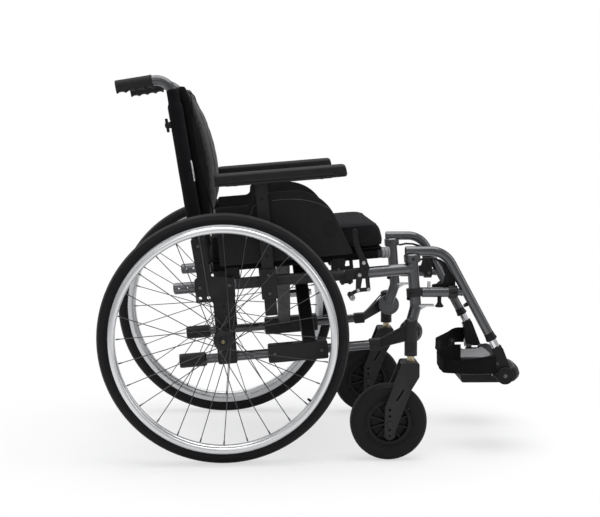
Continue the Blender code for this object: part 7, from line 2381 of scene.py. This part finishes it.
def dress_seat():
    """The sling on its rails, and the boxed cushion on it with its two welts."""
    half = RAIL_HALF + RAIL_RADIUS
    rear, front = RAIL_REAR + 0.006, RAIL_FRONT - 0.020
    rings = []
    steps = 40
    for k in range(steps + 1):
        y = -half + 2 * half * k / steps
        ring = []
        count = 36
        for top, order in ((0, range(count + 1)), (1, range(count, -1, -1))):
            for n in order:
                u = rear + (front - rear) * n / count
                h = SLING_BOTTOM + 0.0002 + (SLING_THICKNESS - 0.0004) * top
                ring.append(frame_point(u, y, h))
        rings.append(ring)
    sling_parts = [("sling", skin(rings))]
    for side in (RIGHT, LEFT):
        for offset in (0.030, 0.034):
            y = side * (half - offset)
            run = [frame_point(rear + 0.004, y, SLING_BOTTOM), frame_point(front - 0.004, y, SLING_BOTTOM)]
            sling_parts.append(("sling", sweep(run, STITCH, 6, 0.0)))
    sling = shape("seat_cloth", sling_parts, None, 50, False)
    half_length = (CUSHION_FRONT - CUSHION_REAR) / 2
    middle = (CUSHION_FRONT + CUSHION_REAR) / 2 - 0.006
    levels = [
        (0.0, 0.011, 0.0050), (0.07, 0.004, 0.0028), (0.30, 0.000, 0.0018), (0.64, 0.0010, 0.0018),
        (0.82, 0.0036, 0.0018), (0.96, 0.0082, 0.0024), (1.030, 0.0150, 0.0052)
    ]
    rings = []
    for share, front_inset, side_inset in between_levels(levels, 4):
        low, high = CUSHION_REAR + side_inset, CUSHION_FRONT - front_inset
        loop = cushion_loop((high - low) / 2, CUSHION_HALF_WIDTH - side_inset, 8.0, CUSHION_DRAW, 96)
        rings.append(
            [
                frame_point((high + low) / 2 + a, out, CUSHION_BOTTOM + share * CUSHION_THICKNESS) for a,
                out in loop
            ]
        )
    for shrink in (0.75, 0.45, 0.15):
        loop = cushion_loop(half_length * shrink, CUSHION_HALF_WIDTH * shrink, 5.0 * shrink + 0.8, 0, 96)
        lift = CUSHION_THICKNESS * 1.03 + (CUSHION_CROWN - 0.002) * (1 - shrink**2)
        rings.append([frame_point(middle + a, out, CUSHION_BOTTOM + lift) for a, out in loop])

    def held(point):
        """The underside stays flat on the sling."""
        return 1.0 if frame_height(point) < CUSHION_BOTTOM + 0.006 else 0.0

    cushion = swollen("seat_pad", skin(rings), held, 0.005, 3.0, 0.003)
    smooth_mesh(cushion, 4)
    low, high = CUSHION_BOTTOM, CUSHION_BOTTOM + CUSHION_THICKNESS + CUSHION_CROWN
    wide = CUSHION_HALF_WIDTH
    for v in cushion.data.vertices:
        h = frame_height(v.co)
        u = (v.co - frame_point(0, 0, 0)).dot(U_WAY)
        h = max(low, min(high + 0.002, h))
        u = max(CUSHION_REAR, min(CUSHION_FRONT + 0.005, u))
        ripple = 0.0008 * noise.noise(Vector((u * 22, v.co.y * 22, h * 22)))
        if h > low + 0.004:
            h += ripple
        v.co = frame_point(u, max(-wide, min(wide, v.co.y)), h)
    refine(cushion)

    def choose(centre, normal):
        return "cover" if normal.dot(H_WAY) > 0.55 else "cover_side"

    colour_by(cushion, ["cover_side", "cover"], choose)
    cushion.data.shade_smooth()
    tree = surface_tree(cushion)
    welts = [("cover_side", seat_piping(1.00, 0.0120, 0.0035, tree, 0.0015))]
    welts.append(("cover_side", seat_piping(0.10, 0.0030, 0.0010, tree, 0.0014)))
    add_solids(cushion, welts)
    for made, node, slot in ((sling, "seat_sling", "fabric"), (cushion, "seat_cushion", "upholstery")):
        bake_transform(made)
        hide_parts(node)


def back_face(share, w):
    """How far forward the back pad's face stands, w from -1 to 1 across, before its swelling."""
    belly = 0.62 + 0.38 * math.sin(math.pi * min(1.0, share * 1.05) ** 0.85)
    depth = PAD_DEPTH * belly * (1 - 0.36 * share**9)
    rear = PANEL_THICKNESS / 2 + CLEARANCE
    end_round = min(1.0, (min(share, 1 - share) / 0.10 + 0.25)) ** 0.5
    face = rear + (depth - rear) * end_round
    edge = (1 - abs(w) ** 5) ** 0.5 if abs(w) < 1 else 0.0
    return rear + max(PAD_EDGE_THICKNESS + (face - rear - PAD_EDGE_THICKNESS) * edge, 0.006), end_round


def post_parts(point):
    """A point's place up the post, forward of it and across."""
    offset = point - post_point(0, 0, 0)
    return offset.dot(POST_WAY), offset.dot(POST_FRONT), point.y


def ride_back(made, node):
    """The object rides on the right side frame's body, with a mesh of its own."""
    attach(made, "right_frame")
    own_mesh(made)
    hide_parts(node)


def dress_back_cushion():
    """The back pad: crowned, with sewn channels, a welt round its face and a boxed edge."""
    bottom, top = BACK_BOTTOM + 0.004, BACK_TOP + PAD_RISE
    rear = PANEL_THICKNESS / 2 + CLEARANCE
    steps, across = 40, 44
    rings = []
    for k in range(steps + 1):
        share = k / steps
        _, end_round = back_face(share, 0)
        half = PAD_HALF_WIDTH - 0.003 - 0.010 * (1 - end_round) - 0.003 * math.sin(math.pi * share)
        t = bottom + 0.0025 + (top - bottom - 0.005) * share
        front_row = []
        for n in range(across + 1):
            w = -1 + 2 * n / across
            face, _ = back_face(share, w)
            front_row.append(post_point(t, rear + (face - rear) * 0.95, half * w))
        back_row = [
            post_point(t, rear + (0.010 if abs(w) > 0.9 else 0.0), half * w)
            for w in (0.97, 0.6, -0.6, -0.97)
        ]
        rings.append(front_row + back_row)

    def held(point):
        """The rear face stays flat on the panel."""
        return 1.0 if post_parts(point)[1] < rear + 0.005 else 0.0

    pad = swollen("back_pad", skin(rings), held, 0.006, 4.0, 0.006)
    smooth_mesh(pad, 3)
    span = top - bottom
    for v in pad.data.vertices:
        t, forward, y = post_parts(v.co)
        share = min(1.0, max(0.0, (t - bottom) / span))
        front = min(1.0, max(0.0, (forward - rear - 0.012) / 0.014))
        for line in (-PAD_CHANNEL_HALF, PAD_CHANNEL_HALF):
            forward -= 0.0062 * front * math.exp(-(((y - line) / 0.0065) ** 2))
        for line in (0.335, 0.67):
            dip = math.exp(-(((share - line) * span / 0.0060) ** 2))
            forward -= 0.0014 * front * dip * (abs(y) < PAD_CHANNEL_HALF)
        pucker = noise.noise(Vector((t * 34, y * 34, 0.0)))
        near_channel = math.exp(-(((abs(y) - PAD_CHANNEL_HALF) / 0.020) ** 2))
        forward += front * (0.0007 + 0.0010 * near_channel) * pucker
        forward = max(rear, min(forward, PAD_DEPTH + 0.004))
        t = max(bottom, min(top, t))
        v.co = post_point(t, forward, max(-PAD_HALF_WIDTH, min(PAD_HALF_WIDTH, y)))
    refine(pad)

    def choose(centre, normal):
        return "back_cover" if normal.dot(POST_FRONT) > 0.55 else "cover_side"

    colour_by(pad, ["cover_side", "back_cover"], choose)
    pad.data.shade_smooth()
    tree = surface_tree(pad)
    parts = []
    for line in (-PAD_CHANNEL_HALF, PAD_CHANNEL_HALF):
        run = []
        for k in range(90):
            t = bottom + 0.014 + (span - 0.028) * k / 89
            spot, normal, _, _ = tree.ray_cast(post_point(t, 0.20, line), -POST_FRONT)
            if spot:
                run.append(spot + POST_FRONT * 0.0001)
        parts.append(("cover_side", sweep(run, 0.0007, 6, 0.0)))
    loop = cushion_loop(span / 2 - 0.008, PAD_HALF_WIDTH - 0.012, 4.0, 0.0, 360)
    spots = []
    for along, out in loop:
        t = (bottom + top) / 2 + along
        spot, _, _, _ = tree.ray_cast(post_point(t, 0.20, out), -POST_FRONT)
        if spot is None:
            spot = tree.find_nearest(post_point(t, 0.03, out))[0]
        spots.append(spot)
    spots = [tree.find_nearest(s)[0] for s in evened(spots, 6)]
    parts.append(("cover_side", bead(spots, 0.0019, 10)))
    add_solids(pad, parts)
    ride_back(pad, "back_cushion")


def dress_back_sling():
    """The panel between the posts, and the two sleeves with their hems."""
    half = PANEL_THICKNESS / 2 - 0.0006
    low, high = BACK_BOTTOM + 0.001, BACK_TOP - 0.001
    reach = POST_HALF - 0.0045
    rings = []
    across, up = 60, 40
    for n in range(across + 1):
        w = -1 + 2 * n / across
        y = reach * w
        sag = -0.0035 * (1 - w * w)
        ring = []
        for face, order in ((-half, range(up + 1)), (half, range(up, -1, -1))):
            for k in order:
                t = low + (high - low) * k / up
                ripple = 0.0008 * noise.noise(Vector((t * 14, y * 14, 1.0)))
                ring.append(post_point(t, face + (sag + ripple) * (1 if face < 0 else 0), y))
        rings.append(ring)
    parts = [("sling", skin(rings))]
    for t in (low + 0.012, low + 0.016, high - 0.012, high - 0.016):
        run = [
            post_point(t, -half - 0.0035 * (1 - (w / 30) ** 2) - 0.0002, reach * w / 30)
            for w in range(-28, 29)
        ]
        parts.append(("sling", sweep(run, STITCH, 6, 0.0)))
    panel = shape("back_panel", parts, None, 50, False)
    ride_back(panel, "back_sling")
    for side in (RIGHT, LEFT):
        dress_back_sleeve(side)


def dress_back_sleeve(side):
    """A sleeve of cloth round one post, loose below its clamp, with a bright strip sewn to its front."""
    name = SIDE_NAMES[side]
    y = side * POST_HALF
    inner = POST_RADIUS + SLACK
    outer = SLEEVE_RADIUS
    steps, sides = 90, 64
    rings = []
    for wall, order in ((outer, range(steps + 1)), (inner, range(steps, -1, -1))):
        for k in order:
            t = BACK_BOTTOM + (BACK_TOP - BACK_BOTTOM) * k / steps
            ring = []
            for n in range(sides):
                a = math.tau * n / sides
                neck = min(1.0, max(0.0, (t - POST_LENGTH - 0.002) / 0.012))
                neck = neck * neck * (3 - 2 * neck)
                reach = wall - neck * (wall - HANDLE_RADIUS - (0.0021 if wall == outer else 0.0006))
                if wall == outer:
                    fold = noise.noise(Vector((math.cos(a) * 1.6, math.sin(a) * 1.6, t * 18)))
                    reach -= (0.0007 + 0.0006 * fold) * (1 - 0.6 * neck)
                    end = min(t - BACK_BOTTOM, BACK_TOP - t)
                    reach -= 0.0010 * (1 - min(1.0, end / 0.0015))
                ring.append(post_point(t, reach * math.cos(a), y + side * reach * math.sin(a)))
            rings.append(ring)
    sleeve = skin(rings, looped=True)
    notch = pin(post_point(KNOB_T, 0, y), -POST_FRONT, POST_RADIUS - 0.004, 0.030, 0.0115, 32, 0.0)
    parts = [("sling", cut(sleeve, [notch]))]
    strip_t = (chair_point(-0.0706, 0, 0.7083) - post_point(0, 0, 0)).dot(POST_WAY)
    run = [
        post_point(strip_t + step, 0.0166, y + side * (outer**2 - 0.0166**2) ** 0.5)
        for step in (-0.0265, -0.0240, -0.0080, 0.0080, 0.0240, 0.0265)
    ]
    parts.append(("steel", sweep(run, [0.0008, 0.0022, 0.0026, 0.0026, 0.0022, 0.0008], 14, 0.0)))
    for t, ring in ((BACK_BOTTOM + 0.010, outer - 0.0006), (BACK_TOP - 0.010, HANDLE_RADIUS + 0.0018)):
        turns = [math.tau * n / 64 for n in range(64)]
        circle = [post_point(t, ring * math.cos(a), y + ring * math.sin(a)) for a in turns]
        parts.append(("sling", bead(circle, 0.0005, 6)))
    made = shape(f"{name}_back_sleeve", parts, None, 50, False)
    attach(made, f"{name}_frame")
    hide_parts("back_sling")


# Floor, light and camera


def make_stage():
    """A pale floor that fades into a white surround, with soft studio light and the camera."""
    made, tree, shader = plain_material("floor_finish", (0.88, 0.88, 0.88), 0.75, Specular_IOR_Level=0.25)
    output = tree.nodes["Material Output"]
    rays = add_node(tree, "LightPath")
    where = add_node(tree, "TexCoord").outputs["Object"]
    far = add_node(tree, "VectorMath", {0: where}, operation="LENGTH").outputs["Value"]
    glow = add_node(tree, "Emission", {"Color": (1, 1, 1, 1), "Strength": 1.0})
    share = spread(tree, far, 0.60, 1.0, 0.55, 1.35)
    seen = calc(tree, "MULTIPLY", share, rays.outputs["Is Camera Ray"])
    grain = noise_of(tree, where, 60, 4.0)
    join(tree, shader, None, spread(tree, grain, 0.70, 0.80), bump_of(tree, grain, 0.02, 0.001))
    mixed = add_node(tree, "MixShader", {"Fac": seen})
    tree.links.new(shader.outputs["BSDF"], mixed.inputs[1])
    tree.links.new(glow.outputs["Emission"], mixed.inputs[2])
    tree.links.new(mixed.outputs["Shader"], output.inputs["Surface"])
    floor = bmesh.new()
    bmesh.ops.create_grid(floor, x_segments=8, y_segments=8, size=14)
    mesh = mesh_of("floor", [floor])
    mesh.materials.append(made)
    ground = bpy.data.objects.new("floor", mesh)
    ground.location = (0, 0, -0.0004)
    bpy.context.scene.collection.objects.link(ground)

    world = bpy.data.worlds.new("studio")
    bpy.context.scene.world = world
    world.use_nodes = True
    sky = world.node_tree
    sky.nodes.clear()
    path = add_node(sky, "LightPath")
    shown = calc(sky, "MAXIMUM", path.outputs["Is Camera Ray"], path.outputs["Is Transmission Ray"])
    soft = add_node(sky, "Background", {"Color": (0.97, 0.98, 1.0, 1), "Strength": WORLD_STRENGTH})
    white = add_node(sky, "Background", {"Color": (1, 1, 1, 1), "Strength": 1.0})
    both = add_node(sky, "MixShader", {"Fac": shown})
    sky.links.new(soft.outputs["Background"], both.inputs[1])
    sky.links.new(white.outputs["Background"], both.inputs[2])
    end = add_node(sky, "OutputWorld")
    sky.links.new(both.outputs["Shader"], end.inputs["Surface"])

    for name, place, aim, size, power in LAMPS:
        lamp = bpy.data.lights.new(name, "AREA")
        lamp.shape = "RECTANGLE"
        lamp.size, lamp.size_y = size
        lamp.energy = power
        holder = bpy.data.objects.new(name, lamp)
        holder.location = place
        holder.rotation_euler = (Vector(aim) - Vector(place)).to_track_quat("-Z", "Y").to_euler()
        bpy.context.scene.collection.objects.link(holder)

    lens = bpy.data.cameras.new("camera")
    lens.sensor_width = 36
    lens.sensor_fit = "HORIZONTAL"
    lens.lens = CAMERA_LENS
    lens.clip_end = 60
    eye = bpy.data.objects.new("camera", lens)
    eye.location = CAMERA_PLACE
    eye.rotation_euler = [math.radians(a) for a in CAMERA_TURN]
    bpy.context.scene.collection.objects.link(eye)
    bpy.context.scene.camera = eye
    bpy.context.scene.view_settings.view_transform = "Standard"


SIDE_PIECES = (
    dress_rear_tyre, dress_rear_rim, dress_handrim, dress_rear_hub, dress_side_frame, dress_lower_tube,
    dress_axle_bracket, dress_back_post, dress_push_handle, dress_grip, dress_clamp_knob, dress_armrest,
    dress_arm_pad, dress_side_guard, dress_brake_mount, dress_brake_lever, dress_brake_shoe,
    dress_castor_bracket, dress_castor_fork, dress_castor_wheel, dress_hanger, dress_latch, dress_extension,
    dress_footplate, dress_heel_strap
)


def main():
    for side in (RIGHT, LEFT):
        for dress in SIDE_PIECES:
            dress(side)
    dress_cross_arm("a", RIGHT, ARM_A_U)
    dress_cross_arm("b", LEFT, ARM_B_U)
    dress_seat()
    dress_back_cushion()
    dress_back_sling()
    make_stage()


main()
